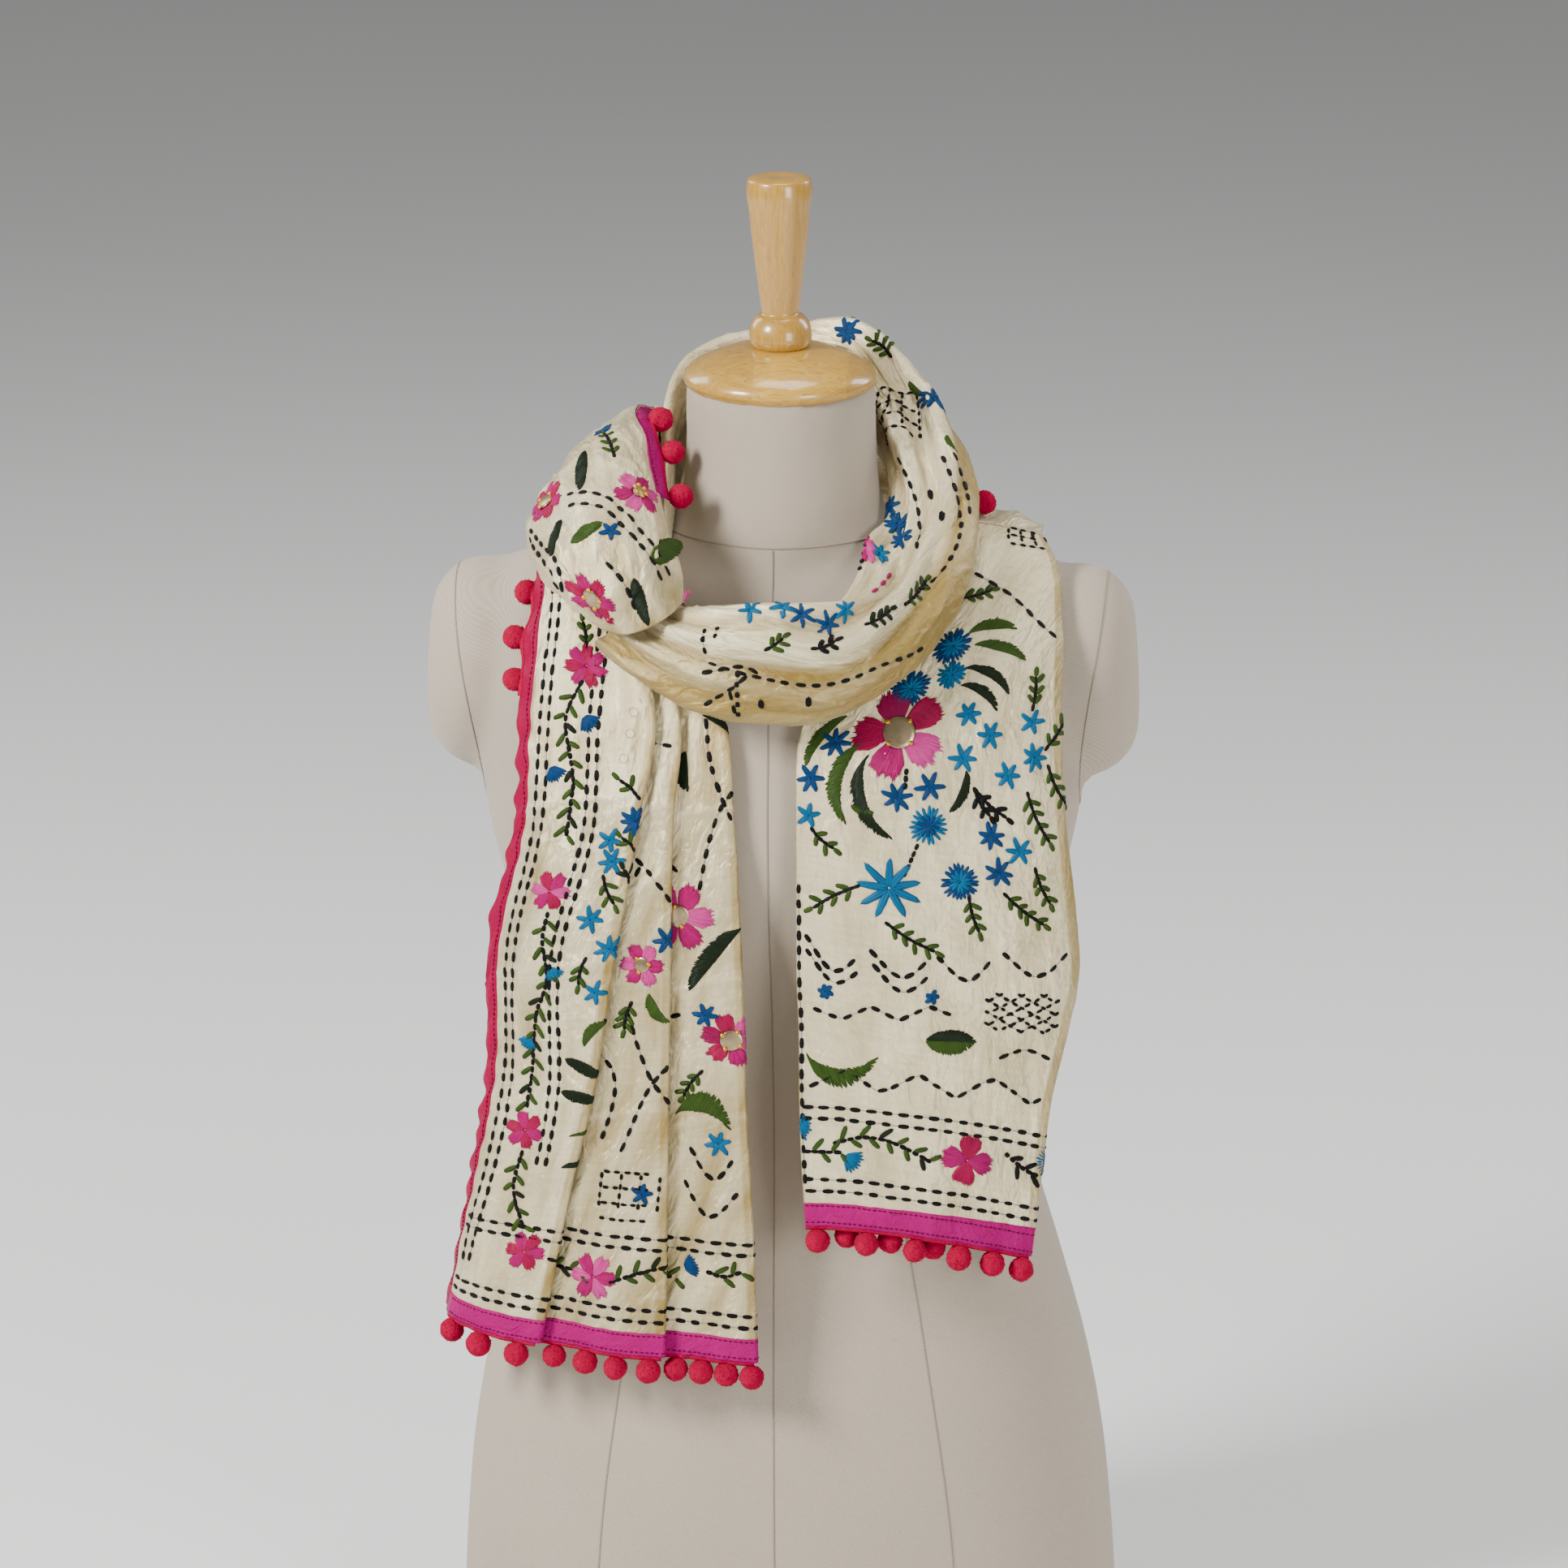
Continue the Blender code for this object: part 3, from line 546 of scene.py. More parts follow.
@dataclass(frozen=True)
class Silk(Finish):
    """Crushed silk from ivory to gold by a stored tone: partly shot silk, partly painted shade."""

    wall: ClassVar[float] = 0.55
    # gold of the shot silk, dark enough to stand also for painted shade
    gold: Colour = (0.31, 0.205, 0.045)
    blush: Colour = (0.60, 0.43, 0.29)
    threads: float = 1500.0

    def dress(self, graph: Graph) -> Inputs:
        """Weave, crushed ridges and a tone between ivory and gold, the colour also holding painted shade and
        painted sheen streaks.

        Args:
            graph: the material's own nodes.

        Returns:
            The values by the shader's input names.
        """
        place = graph.cloth_place()
        picks = self.threads * 0.8
        weave = graph.group(Effect.WEAVE, Place=place, Ends=self.threads, Picks=picks, Twill=0.0)
        crush = graph.group(Effect.CRUSH, Place=graph.stretch(place, (1.0, 0.5, 1.0)), Size=70.0)
        patches = graph.group(Effect.MOTTLE, Place=place, Size=28.0, Reach=0.16)
        # the stored tone mixes shot-silk gold and random tone with painted shade in folds, crease valleys
        # and shaded parts
        tone = graph.add("ShaderNodeAttribute", attribute_name="tone").outputs["Fac"]
        # the streaks set the roughness and also shift the colour, as painted sheen streaks
        streaks_and_sheen = graph.noise(graph.stretch(place, (260.0, 26.0, 1.0)), 1.0, 3.0)
        gold_shade_and_sheen = graph.maths("MULTIPLY_ADD", streaks_and_sheen, 0.44, graph.maths("SUBTRACT", tone, 0.22))
        ground = graph.blend(graph.times(patches.outputs["Mask"], 0.16), self.colour, self.blush)
        shot_and_shaded = graph.blend(graph.spread(gold_shade_and_sheen, 0.0, 1.0), ground, self.gold)
        slub = graph.spread(weave.outputs["Slub"], 0.25, 0.75, 0.88, 1.06)
        tinted = graph.add("ShaderNodeVectorMath", {0: shot_and_shaded, 3: slub}, operation="SCALE").outputs[0]
        fine = graph.bump(weave.outputs["Height"], 0.00012, 0.8)
        return {
            "Base Color": tinted,
            "Roughness": graph.spread(streaks_and_sheen, 0.3, 0.7, 0.24, 0.40),
            "Normal": graph.bump(crush.outputs["Height"], 0.0034, 0.9, fine),
            "Metallic": 0.42, "Sheen Weight": 0.15, "Sheen Roughness": 0.4,
            "Sheen Tint": (1.0, 0.9, 0.68, 1.0),
        }


@dataclass(frozen=True)
class Satin(Finish):
    """Satin ribbon, smooth with a soft line of light."""

    wall: ClassVar[float] = 1.3
    deep: Colour = (0.22, 0.0, 0.055)

    def dress(self, graph: Graph) -> Inputs:
        """Close ribs across the ribbon and small puckers.

        Args:
            graph: the material's own nodes.

        Returns:
            The values by the shader's input names.
        """
        place = graph.cloth_place()
        weave = graph.group(Effect.WEAVE, Place=place, Ends=900.0, Picks=2200.0, Twill=0.0)
        pucker = graph.group(Effect.CRUSH, Place=place, Size=130.0)
        patches = graph.group(Effect.MOTTLE, Place=place, Size=60.0, Reach=0.2)
        shade = graph.times(patches.outputs["Mask"], 0.35)
        fine = graph.bump(weave.outputs["Height"], 0.00008, 0.5)
        return {
            "Base Color": graph.blend(shade, self.colour, self.deep),
            "Roughness": graph.spread(weave.outputs["Slub"], 0.3, 0.7, 0.34, 0.5),
            "Normal": graph.bump(pucker.outputs["Height"], 0.0025, 0.8, fine),
            "Specular IOR Level": 0.06,
        }


@dataclass(frozen=True)
class Wool(Finish):
    """Cut wool in a pompom."""

    # the colour of the painted shade between tufts
    deep: Colour = (0.20, 0.0, 0.015)

    def dress(self, graph: Graph) -> Inputs:
        """Tufts, with random patches darkened as painted shade between them.

        Args:
            graph: the material's own nodes.

        Returns:
            The values by the shader's input names.
        """
        place = graph.model_place()
        fibres = graph.group(Effect.FIBRE, Place=place, Strands=9000.0, Twist=7000.0)
        patches = graph.group(Effect.MOTTLE, Place=place, Size=900.0, Reach=0.18)
        # random patches pulled towards the deep colour, as painted shade between tufts
        between = graph.times(patches.outputs["Mask"], 0.6)
        return {
            "Base Color": graph.blend(between, self.colour, self.deep),
            "Normal": graph.bump(fibres.outputs["Height"], 0.0004, 0.7),
            "Roughness": 0.95, "Specular IOR Level": 0.1,
            "Sheen Weight": 0.15, "Sheen Tint": (1.0, 0.02, 0.1, 1.0),
        }


@dataclass(frozen=True)
class Linen(Finish):
    """Natural linen twill on the dress form."""

    fleck_and_weave_shade: Colour = (0.24, 0.19, 0.14)

    def dress(self, graph: Graph) -> Inputs:
        """A diagonal weave with flecks, painted shade in its hollows and slightly uneven tone.

        Args:
            graph: the material's own nodes.

        Returns:
            The values by the shader's input names.
        """
        place = graph.cloth_place()
        weave = graph.group(Effect.WEAVE, Place=place, Ends=520.0, Picks=560.0, Twill=0.75)
        patches = graph.group(Effect.MOTTLE, Place=place, Size=14.0, Reach=0.2)
        specks = graph.spread(graph.noise(place, 420.0, 1.0), 0.68, 0.78)
        ground = graph.blend(patches.outputs["Mask"], self.colour, self.toned(1.05))
        # painted shade in the low places of the weave, towards the fleck colour
        shadow = graph.times(graph.spread(weave.outputs["Height"], 0.0, 1.0, 1.0, 0.0), 0.30)
        woven = graph.blend(shadow, ground, self.fleck_and_weave_shade)
        return {
            "Base Color": graph.blend(graph.times(specks, 0.3), woven, self.fleck_and_weave_shade),
            "Roughness": graph.spread(weave.outputs["Slub"], 0.2, 0.8, 0.82, 0.96),
            "Normal": graph.bump(weave.outputs["Height"], 0.00022, 0.7),
            "Sheen Weight": 0.12,
        }


@dataclass(frozen=True)
class Wood(Finish):
    """Honey wood glued up from strips, under a clear gloss."""

    grain: Colour = (0.17, 0.075, 0.010)
    strip: float = 0.013
    stretch: Colour = (150.0, 150.0, 9.0)

    def dress(self, graph: Graph) -> Inputs:
        """Strips of their own tone, growth rings and fine pores.

        Args:
            graph: the material's own nodes.

        Returns:
            The values by the shader's input names.
        """
        place = graph.model_place()
        axes = graph.add("ShaderNodeSeparateXYZ", {0: place}).outputs
        number = graph.maths("FLOOR", graph.maths("DIVIDE", graph.maths("ADD", axes[0], 1.0), self.strip))
        own = graph.add("ShaderNodeTexWhiteNoise", {"W": number}, noise_dimensions="1D").outputs["Value"]
        shift = graph.add("ShaderNodeCombineXYZ", {2: own}).outputs[0]
        moved = graph.add("ShaderNodeVectorMath", {0: place, 1: shift}, operation="ADD").outputs[0]
        rings = graph.noise(graph.stretch(moved, self.stretch), 1.0, 4.0, 0.6)
        edge = graph.spread(graph.maths("FRACT", graph.times(rings, 7.0)), 0.0, 0.9)
        close = tuple(4.0 * scale for scale in self.stretch)
        pores = graph.spread(graph.noise(graph.stretch(moved, close), 1.0, 2.0), 0.62, 0.72)
        board = graph.blend(own, self.colour, self.toned(1.28))
        ringed = graph.blend(graph.times(edge, 0.34), board, self.grain)
        wear = graph.group(Effect.MOTTLE, Place=place, Size=160.0, Reach=0.2)
        return {
            "Base Color": graph.blend(graph.times(pores, 0.4), ringed, self.grain),
            "Roughness": graph.spread(wear.outputs["Mask"], 0.0, 1.0, 0.30, 0.42),
            "Normal": graph.bump(pores, 0.00004, 0.3),
            "Coat Weight": 0.8, "Coat Roughness": 0.12,
        }


@dataclass(frozen=True)
class Floss(Finish):
    """Stranded silk floss."""

    gloss: float = 0.16

    def dress(self, graph: Graph) -> Inputs:
        """Fine strands that lie along each stitch.

        Args:
            graph: the material's own nodes.

        Returns:
            The values by the shader's input names.
        """
        place = graph.cloth_place()
        fibres = graph.group(Effect.FIBRE, Place=place, Strands=26000.0, Twist=1400.0)
        strand = graph.spread(fibres.outputs["Shade"], 0.3, 0.7, 0.4, 0.0)
        own = graph.spread(graph.noise(place, 60.0, 1.0), 0.35, 0.62, 0.0, 0.55)
        return {
            "Base Color": graph.blend(graph.maths("ADD", strand, own), self.colour, self.toned(0.55)),
            "Roughness": graph.spread(fibres.outputs["Shade"], 0.3, 0.7, 0.40, 0.55),
            "Normal": graph.bump(fibres.outputs["Height"], 0.0001, 0.7),
            "Specular IOR Level": self.gloss,
        }


@dataclass(frozen=True)
class Metal(Finish):
    """A thin mirror or a metallic thread, a little clouded."""

    roughness: float = 0.3

    def dress(self, graph: Graph) -> Inputs:
        """Clouded metal.

        Args:
            graph: the material's own nodes.

        Returns:
            The values by the shader's input names.
        """
        cloud = graph.group(Effect.MOTTLE, Place=graph.model_place(), Size=220.0, Reach=0.2).outputs["Mask"]
        return {
            "Base Color": graph.blend(cloud, self.colour, self.toned(0.7)),
            "Roughness": graph.spread(cloud, 0.0, 1.0, self.roughness, self.roughness + 0.15),
            "Metallic": 0.85,
        }


@dataclass(frozen=True)
class Paper(Finish):
    """The studio's pale sweep."""

    def dress(self, graph: Graph) -> Inputs:
        """Matt, with hardly a mark."""
        marks = graph.group(Effect.MOTTLE, Place=graph.model_place(), Size=1.5, Reach=0.3).outputs["Mask"]
        return {"Base Color": graph.blend(marks, self.colour, self.toned(0.97)), "Roughness": 0.9}


IVORY_SILK = Silk("Ivory silk", (0.78, 0.69, 0.43))
PINK_SATIN = Satin("Pink satin", (0.36, 0.0, 0.135))
CRIMSON_SATIN = Satin("Crimson satin", (0.32, 0.0, 0.038))
CRIMSON_WOOL = Wool("Crimson wool", (0.46, 0.0, 0.045))
LINEN = Linen("Linen", (0.43, 0.36, 0.28))
SEAM_LINEN = Linen("Seam linen", (0.27, 0.22, 0.16))
CAP_WOOD = Wood("Honey wood cap", (0.48, 0.27, 0.035), strip=0.052, stretch=(26.0, 95.0, 120.0))
HANDLE_WOOD = Wood("Honey wood handle", (0.40, 0.215, 0.027))
MIRROR = Metal("Clouded mirror", (0.42, 0.32, 0.18), roughness=0.22)
GOLD_THREAD = Metal("Gold thread", (0.80, 0.42, 0.05), roughness=0.35)
STUDIO_PAPER = Paper("Studio paper", (0.80, 0.80, 0.79))


class Thread(Enum):
    """The floss colours."""

    BLACK = Floss("Black floss", (0.0015, 0.0015, 0.002), 0.15)
    DARK_GREEN = Floss("Dark green floss", (0.006, 0.014, 0.003), 0.15)
    GREEN = Floss("Leaf green floss", (0.034, 0.075, 0.006))
    CYAN = Floss("Turquoise floss", (0.0, 0.125, 0.28))
    BLUE = Floss("Blue floss", (0.0, 0.045, 0.16))
    MAGENTA = Floss("Magenta floss", (0.42, 0.0, 0.125))
    HOT_PINK = Floss("Hot pink floss", (0.38, 0.0, 0.06))
    LIGHT_PINK = Floss("Light pink floss", (0.66, 0.05, 0.28))
    ROSE = Floss("Dusky rose floss", (0.30, 0.0, 0.07))
    SILVER = Floss("Silver grey thread", (0.30, 0.29, 0.30))
    SELF_PINK = Floss("Pink sewing thread", (0.16, 0.0, 0.03))


class Pixel(NamedTuple):
    """A place in the photograph, in its own 1932 pixels."""

    x: float
    y: float


def pixels(*places: tuple[float, float]) -> tuple[Pixel, ...]:
    """Places in the photograph, one for each pair across and down."""
    return tuple(Pixel(*place) for place in places)


class Spot(NamedTuple):
    """A place on a sheet that the photograph hides, as shares of its rows and columns."""

    down: float
    across: float


@dataclass(frozen=True)
class PhotoView:
    """The camera at the photograph's angle."""

    azimuth: float = 4.7
    elevation: float = 16.8
    roll: float = -0.45
    distance: float = 4500.0
    target: tuple[float, float, float] = (0.0, 0.0, 545.0)
    half_field: float = 454.0 / 4500.0
    image: float = 1932.0

    def axes(self) -> tuple[np.ndarray, np.ndarray, np.ndarray, np.ndarray]:
        """The eye, and the ways right, up and back, in the form's millimetres.

        Returns:
            The eye's place and the three ways, each of length one.
        """
        azimuth, elevation, roll = (math.radians(turn) for turn in (self.azimuth, self.elevation, self.roll))
        back = np.array([math.sin(azimuth) * math.cos(elevation), -math.cos(azimuth) * math.cos(elevation),
                         math.sin(elevation)])
        level = unit(np.cross(-back, (0.0, 0.0, 1.0)))
        plumb = np.cross(level, -back)
        right = level * math.cos(roll) + plumb * math.sin(roll)
        up = plumb * math.cos(roll) - level * math.sin(roll)
        return np.array(self.target) + back * self.distance, right, up, back

    def pixels(self, points: np.ndarray) -> np.ndarray:
        """Where points show in the photograph.

        Args:
            points: places in form millimetres.

        Returns:
            The pixel across, the pixel down and the depth of each.
        """
        eye, right, up, back = self.axes()
        away = points - eye
        depth = -(away @ back)
        half = self.image / 2
        scale = half / self.half_field
        return np.stack([half + away @ right / depth * scale, half - away @ up / depth * scale, depth], -1)

    def build(self) -> bpy.types.Object:
        """Make the camera and use it.

        Returns:
            The camera.
        """
        eye, right, up, back = self.axes()
        data = bpy.data.cameras.new("Camera")
        data.sensor_width = 36.0
        data.lens = data.sensor_width / 2 / self.half_field
        data.clip_start, data.clip_end = 0.1, 60.0
        made = linked("Camera", data)
        turn = Matrix((Vector(right), Vector(up), Vector(back))).transposed().to_4x4()
        made.matrix_world = Matrix.Translation(Vector(to_frame(eye))) @ turn
        bpy.context.scene.camera = made
        return made


VIEW = PhotoView()


class Softbox(NamedTuple):
    """An area light: where it stands, its width and height, and its power."""

    name: str
    place: tuple[float, float, float]
    size: tuple[float, float]
    watts: float


@dataclass
class Studio:
    """A pale sweep of paper and soft light."""

    floor_size: float = 30.0
    aim: tuple[float, float, float] = (0.0, 0.0, 0.55)
    boxes: tuple[Softbox, ...] = (
        Softbox("Key softbox", (-2.0, -1.7, 2.2), (0.8, 0.9), 155.0),
        Softbox("Fill softbox", (1.7, -2.3, 0.9), (0.9, 1.3), 48.0),
        Softbox("Top softbox", (0.1, 0.2, 2.9), (1.2, 1.0), 30.0),
        Softbox("Back left softbox", (-1.9, 1.3, 1.7), (0.7, 1.4), 22.0),
        Softbox("Back right softbox", (1.9, 1.3, 1.7), (0.7, 1.4), 28.0),
    )
    sky: float = 0.22

    def floor(self) -> bpy.types.Object:
        """Lay the paper that the form stands on.

        Returns:
            The floor.
        """
        half = self.floor_size / 2 / MM
        corners = np.array([(-half, -half, 0), (half, -half, 0), (half, half, 0), (-half, half, 0)], float)
        made = make_object("studio_floor", corners, [np.array([[0, 1, 2, 3]])], [STUDIO_PAPER])
        made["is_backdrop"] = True
        return made

    def lights(self) -> None:
        """Hang the softboxes, each turned to the stole."""
        for box in self.boxes:
            data = bpy.data.lights.new(box.name, "AREA")
            data.shape = "RECTANGLE"
            data.size, data.size_y = box.size
            data.energy = box.watts
            made = linked(box.name, data)
            made.location = box.place
            made.rotation_mode = "QUATERNION"
            made.rotation_quaternion = (Vector(self.aim) - made.location).to_track_quat("-Z", "Y")
        world = bpy.data.worlds.new("Studio air")
        world.use_nodes = True
        sky = world.node_tree.nodes["Background"]
        sky.inputs["Color"].default_value = (1.0, 1.0, 1.0, 1.0)
        sky.inputs["Strength"].default_value = self.sky
        bpy.context.scene.world = world


@dataclass(frozen=True)
class Creases:
    """How a stretch of silk is creased: sharp short folds over soft swells.

    Heading is the creases' angle from the sheet's length, in degrees, and turn how far
    single ones differ from it.
    """

    seed: int
    count: int
    length: tuple[float, float] = (9.0, 30.0)
    width: tuple[float, float] = (0.9, 2.2)
    height: tuple[float, float] = (0.35, 1.0)
    heading: float = 0.0
    turn: float = 35.0
    swell: float = 0.8
    swell_size: tuple[float, float] = (17.0, 38.0)

    def relief(self, across: np.ndarray, down: np.ndarray) -> np.ndarray:
        """Heights over a sheet.

        Args:
            across: flat millimetres across, point by point.
            down: flat millimetres down.

        Returns:
            How far each point stands out.
        """
        dice = np.random.default_rng(self.seed)
        wide, long = self.swell_size
        made = self.swell * soft_noise(across / wide, down / long, self.seed + 1)
        made += 0.45 * self.swell * soft_noise(across / wide * 2.3, down / long * 2.3, self.seed + 2)
        low = (across.min(), down.min())
        high = (across.max(), down.max())
        for _ in range(self.count):
            middle = dice.uniform(low, high)
            heading = math.radians(dice.normal(self.heading, self.turn))
            length = dice.uniform(*self.length)
            width = dice.uniform(*self.width)
            height = dice.uniform(*self.height) * (1 if dice.random() < 0.66 else -0.6)
            bend = dice.normal(0, 0.006)
            near = (np.abs(across - middle[0]) < length * 1.4) & (np.abs(down - middle[1]) < length * 1.4)
            x, y = across[near] - middle[0], down[near] - middle[1]
            run = y * math.cos(heading) + x * math.sin(heading)
            off = x * math.cos(heading) - y * math.sin(heading) + bend * run**2
            fade = np.exp(-((run / length) ** 4) * 2.5)
            ridge = np.exp(-np.abs(off) / width) - 0.3 * np.exp(-((off / width / 3) ** 2))
            made[near] += height * fade * ridge
        return made


class Sheet:
    """A sheet of cloth as a dense grid of points, its rows down its length."""

    least_facing = -0.05
    turned_penalty = 60.0
    pixel_reach = 5.0
    layer_depth = 3.0
    least_pitch = 0.05
    edge_round = 0.12
    edge_least = 0.35

    def __init__(self, points: np.ndarray) -> None:
        """Take the grid: rows, columns and x, y, z in form millimetres.

        Args:
            points: the grid, rows by columns by x, y and z.
        """
        self.points = points
        self.freedom = np.ones(points.shape[:2])
        self.measure()

    def measure(self) -> None:
        """Work out the way out of the cloth and the flat place of every point."""
        down = np.gradient(self.points, axis=0)
        across = np.gradient(self.points, axis=1)
        self.normals = unit(np.cross(across, down) * -1.0)
        steps = np.linalg.norm(np.diff(self.points, axis=1), axis=2)
        self.across = np.pad(np.cumsum(steps, axis=1), ((0, 0), (1, 0)))
        steps = np.linalg.norm(np.diff(self.points, axis=0), axis=2)
        self.down = np.pad(np.cumsum(steps, axis=0), ((1, 0), (0, 0)))
        self.seen = VIEW.pixels(self.points)
        self.facing = np.einsum("ijk,ijk->ij", self.normals, unit(VIEW.axes()[0] - self.points))

    def raise_by(self, heights: np.ndarray) -> None:
        """Move every point out of the cloth, as far as it is free to.

        Args:
            heights: millimetres for each point of the grid.
        """
        self.points = self.points + self.normals * (heights * self.freedom)[..., None]
        flat = self.across, self.down
        self.measure()
        self.across, self.down = flat

    def at(self, rows: np.ndarray, columns: np.ndarray) -> tuple[np.ndarray, np.ndarray]:
        """Points and ways out at grid places between the points of the grid.

        Args:
            rows: the rows to read, with their fractions.
            columns: the columns.

        Returns:
            Places in form millimetres and ways out of the cloth.
        """
        last_row, last_column = self.points.shape[0] - 1, self.points.shape[1] - 1
        rows = np.clip(rows, 0, last_row - 1e-6)
        columns = np.clip(columns, 0, last_column - 1e-6)
        i, j = rows.astype(int), columns.astype(int)
        v, u = (rows - i)[..., None], (columns - j)[..., None]

        def read(grid: np.ndarray) -> np.ndarray:
            """One grid of vectors at those places.

            Args:
                grid: rows by columns by x, y and z.

            Returns:
                A vector for each place.
            """
            upper = grid[i, j] * (1 - u) + grid[i, j + 1] * u
            lower = grid[i + 1, j] * (1 - u) + grid[i + 1, j + 1] * u
            return upper * (1 - v) + lower * v

        return read(self.points), unit(read(self.normals))

    def find(self, place: Pixel | Spot) -> tuple[float, float]:
        """The grid place that shows at a pixel of the photograph, or that a spot names.

        Args:
            place: the pixel or the spot.

        Returns:
            Its row and its column.
        """
        rows, columns = self.points.shape[:2]
        if isinstance(place, Spot):
            return place.down * (rows - 1), place.across * (columns - 1)
        off = np.hypot(self.seen[..., 0] - place.x, self.seen[..., 1] - place.y)
        off = np.where(self.facing > self.least_facing, off, off + self.turned_penalty)
        near = off < off.min() + self.pixel_reach
        depth = np.where(near, self.seen[..., 2], np.inf)
        i, j = np.unravel_index(np.argmin(depth), depth.shape)
        near = near & (self.seen[..., 2] < depth[i, j] + self.layer_depth)
        i, j = np.unravel_index(np.argmin(np.where(near, off, np.inf)), off.shape)
        return float(i), float(j)

    def pitch(self, row: float, column: float) -> tuple[float, float]:
        """Millimetres of cloth to a row and to a column, about a grid place.

        Args:
            row: the grid row.
            column: the grid column.

        Returns:
            The millimetres to a row and the millimetres to a column.
        """
        rows, columns = self.points.shape[:2]
        i = int(np.clip(row, 2, rows - 3))
        j = int(np.clip(column, 2, columns - 3))
        down = (self.down[i + 2, j] - self.down[i - 2, j]) / 4
        across = (self.across[i, j + 2] - self.across[i, j - 2]) / 4
        return max(down, self.least_pitch), max(across, self.least_pitch)

    def offset(self, row: float, column: float, across: np.ndarray, down: np.ndarray) -> np.ndarray:
        """Grid places at flat distances from one of them.

        Args:
            row: the grid row to start from.
            column: the grid column to start from.
            across: millimetres of cloth to the side.
            down: millimetres of cloth further down.

        Returns:
            A row and a column for each distance.
        """
        i, j = int(round(row)), int(round(column))
        i = min(max(i, 0), self.points.shape[0] - 1)
        j = min(max(j, 0), self.points.shape[1] - 1)
        columns = np.interp(self.across[i, j] + across, self.across[i], np.arange(self.points.shape[1]))
        rows = np.interp(self.down[i, j] + down, self.down[:, j], np.arange(self.points.shape[0]))
        return np.stack([rows + (row - i), columns + (column - j)], axis=-1)

    def shares(self) -> tuple[np.ndarray, np.ndarray]:
        """How far across each column and how far down each row lies, from 0 to 1."""
        rows, columns = self.points.shape[:2]
        return np.linspace(0, 1, columns)[None], np.linspace(0, 1, rows)[:, None]

    def shell(self, name: str, finish: Silk | Satin, rows: slice = slice(None),
              columns: slice = slice(None), tone: np.ndarray | None = None,
              round_edge: bool = False) -> bpy.types.Object:
        """Make a closed thin shell of part of the sheet.

        Args:
            name: the piece's name.
            finish: its cloth, which knows how thick it is.
            rows: the part of the sheet's rows.
            columns: the part of its columns.
            tone: how golden each point is, shot-silk gold mixed with painted shade.
            round_edge: whether it thins to its long edges, as folded tape does.

        Returns:
            The object.
        """
        points, normals = self.points[rows, columns], self.normals[rows, columns]
        flat = np.stack([self.across[rows, columns], self.down[rows, columns]], -1) * MM
        height, width = points.shape[:2]
        half = np.full((height, width, 1), finish.wall / 2)
        if round_edge:
            side = np.sin(np.linspace(self.edge_round, math.pi - self.edge_round, width))[None, :, None]
            half = half * np.maximum(side, self.edge_least) ** 0.5
        face = (points + normals * half).reshape(-1, 3)
        back = (points - normals * half).reshape(-1, 3)
        index = np.arange(height * width).reshape(height, width)
        rim = np.concatenate([index[0, :-1], index[:-1, -1], index[-1, :0:-1], index[:0:-1, 0]])
        after = np.roll(rim, -1)
        count = height * width
        front = grid_faces(height, width)
        faces = [front[:, ::-1], front + count, np.stack([rim, after, after + count, rim + count], 1)]
        made = make_object(name, np.vstack([face, back]), faces, [finish],
                           np.tile(flat.reshape(-1, 2), (2, 1)))
        if tone is not None:
            store_gold_and_shade(made, np.tile(tone[rows, columns].reshape(-1), 2))
        return made


@dataclass
class Patch:
    """Flat millimetres about one place of a sheet, x along a heading and y to its right."""

    sheet: Sheet
    row: float
    column: float
    heading: tuple[float, float] = (1.0, 0.0)

    @classmethod
    def between(cls, sheet: Sheet, base: Pixel | Spot, tip: Pixel | Spot) -> tuple["Patch", float]:
        """A patch at one place that heads for another, and how far away that is.

        Args:
            sheet: the cloth.
            base: where the patch lies.
            tip: what it heads for.

        Returns:
            The patch, and the millimetres between the two places.
        """
        first, last = sheet.find(base), sheet.find(tip)
        down, across = sheet.pitch((first[0] + last[0]) / 2, (first[1] + last[1]) / 2)
        run = np.array([(last[1] - first[1]) * across, (last[0] - first[0]) * down])
        length = max(float(np.hypot(*run)), 0.5)
        return cls(sheet, *first, heading=tuple(run / length)), length

    def places(self, points: np.ndarray) -> np.ndarray:
        """Grid places of points given in the patch's own millimetres.

        Args:
            points: rows of x and y.

        Returns:
            Rows of grid row and grid column.
        """
        along, side = points[:, 0], points[:, 1]
        across = along * self.heading[0] - side * self.heading[1]
        down = along * self.heading[1] + side * self.heading[0]
        return self.sheet.offset(self.row, self.column, across, down)


class Sewing(NamedTuple):
    """How a line is sewn: its thread, dash, gap, width, thread between and lift."""

    thread: Thread = Thread.BLACK
    dash: float = 6.6
    gap: float = 2.5
    width: float = 2.4
    between: Thread | None = Thread.SILVER
    lift: float = 0.05


FLOSS_RUN = Sewing()
LATTICE_RUN = Sewing(dash=4.0, gap=1.8, width=1.8)
BINDING_SEAM = Sewing(Thread.SELF_PINK, 2.3, 0.7, 0.75, None, 0.42)


class Disc(NamedTuple):
    """A mirror sewn to a sheet: its middle, its way out, its way up and its half sizes."""

    middle: np.ndarray
    out: np.ndarray
    up: np.ndarray
    half_width: float
    half_height: float
    beads: int


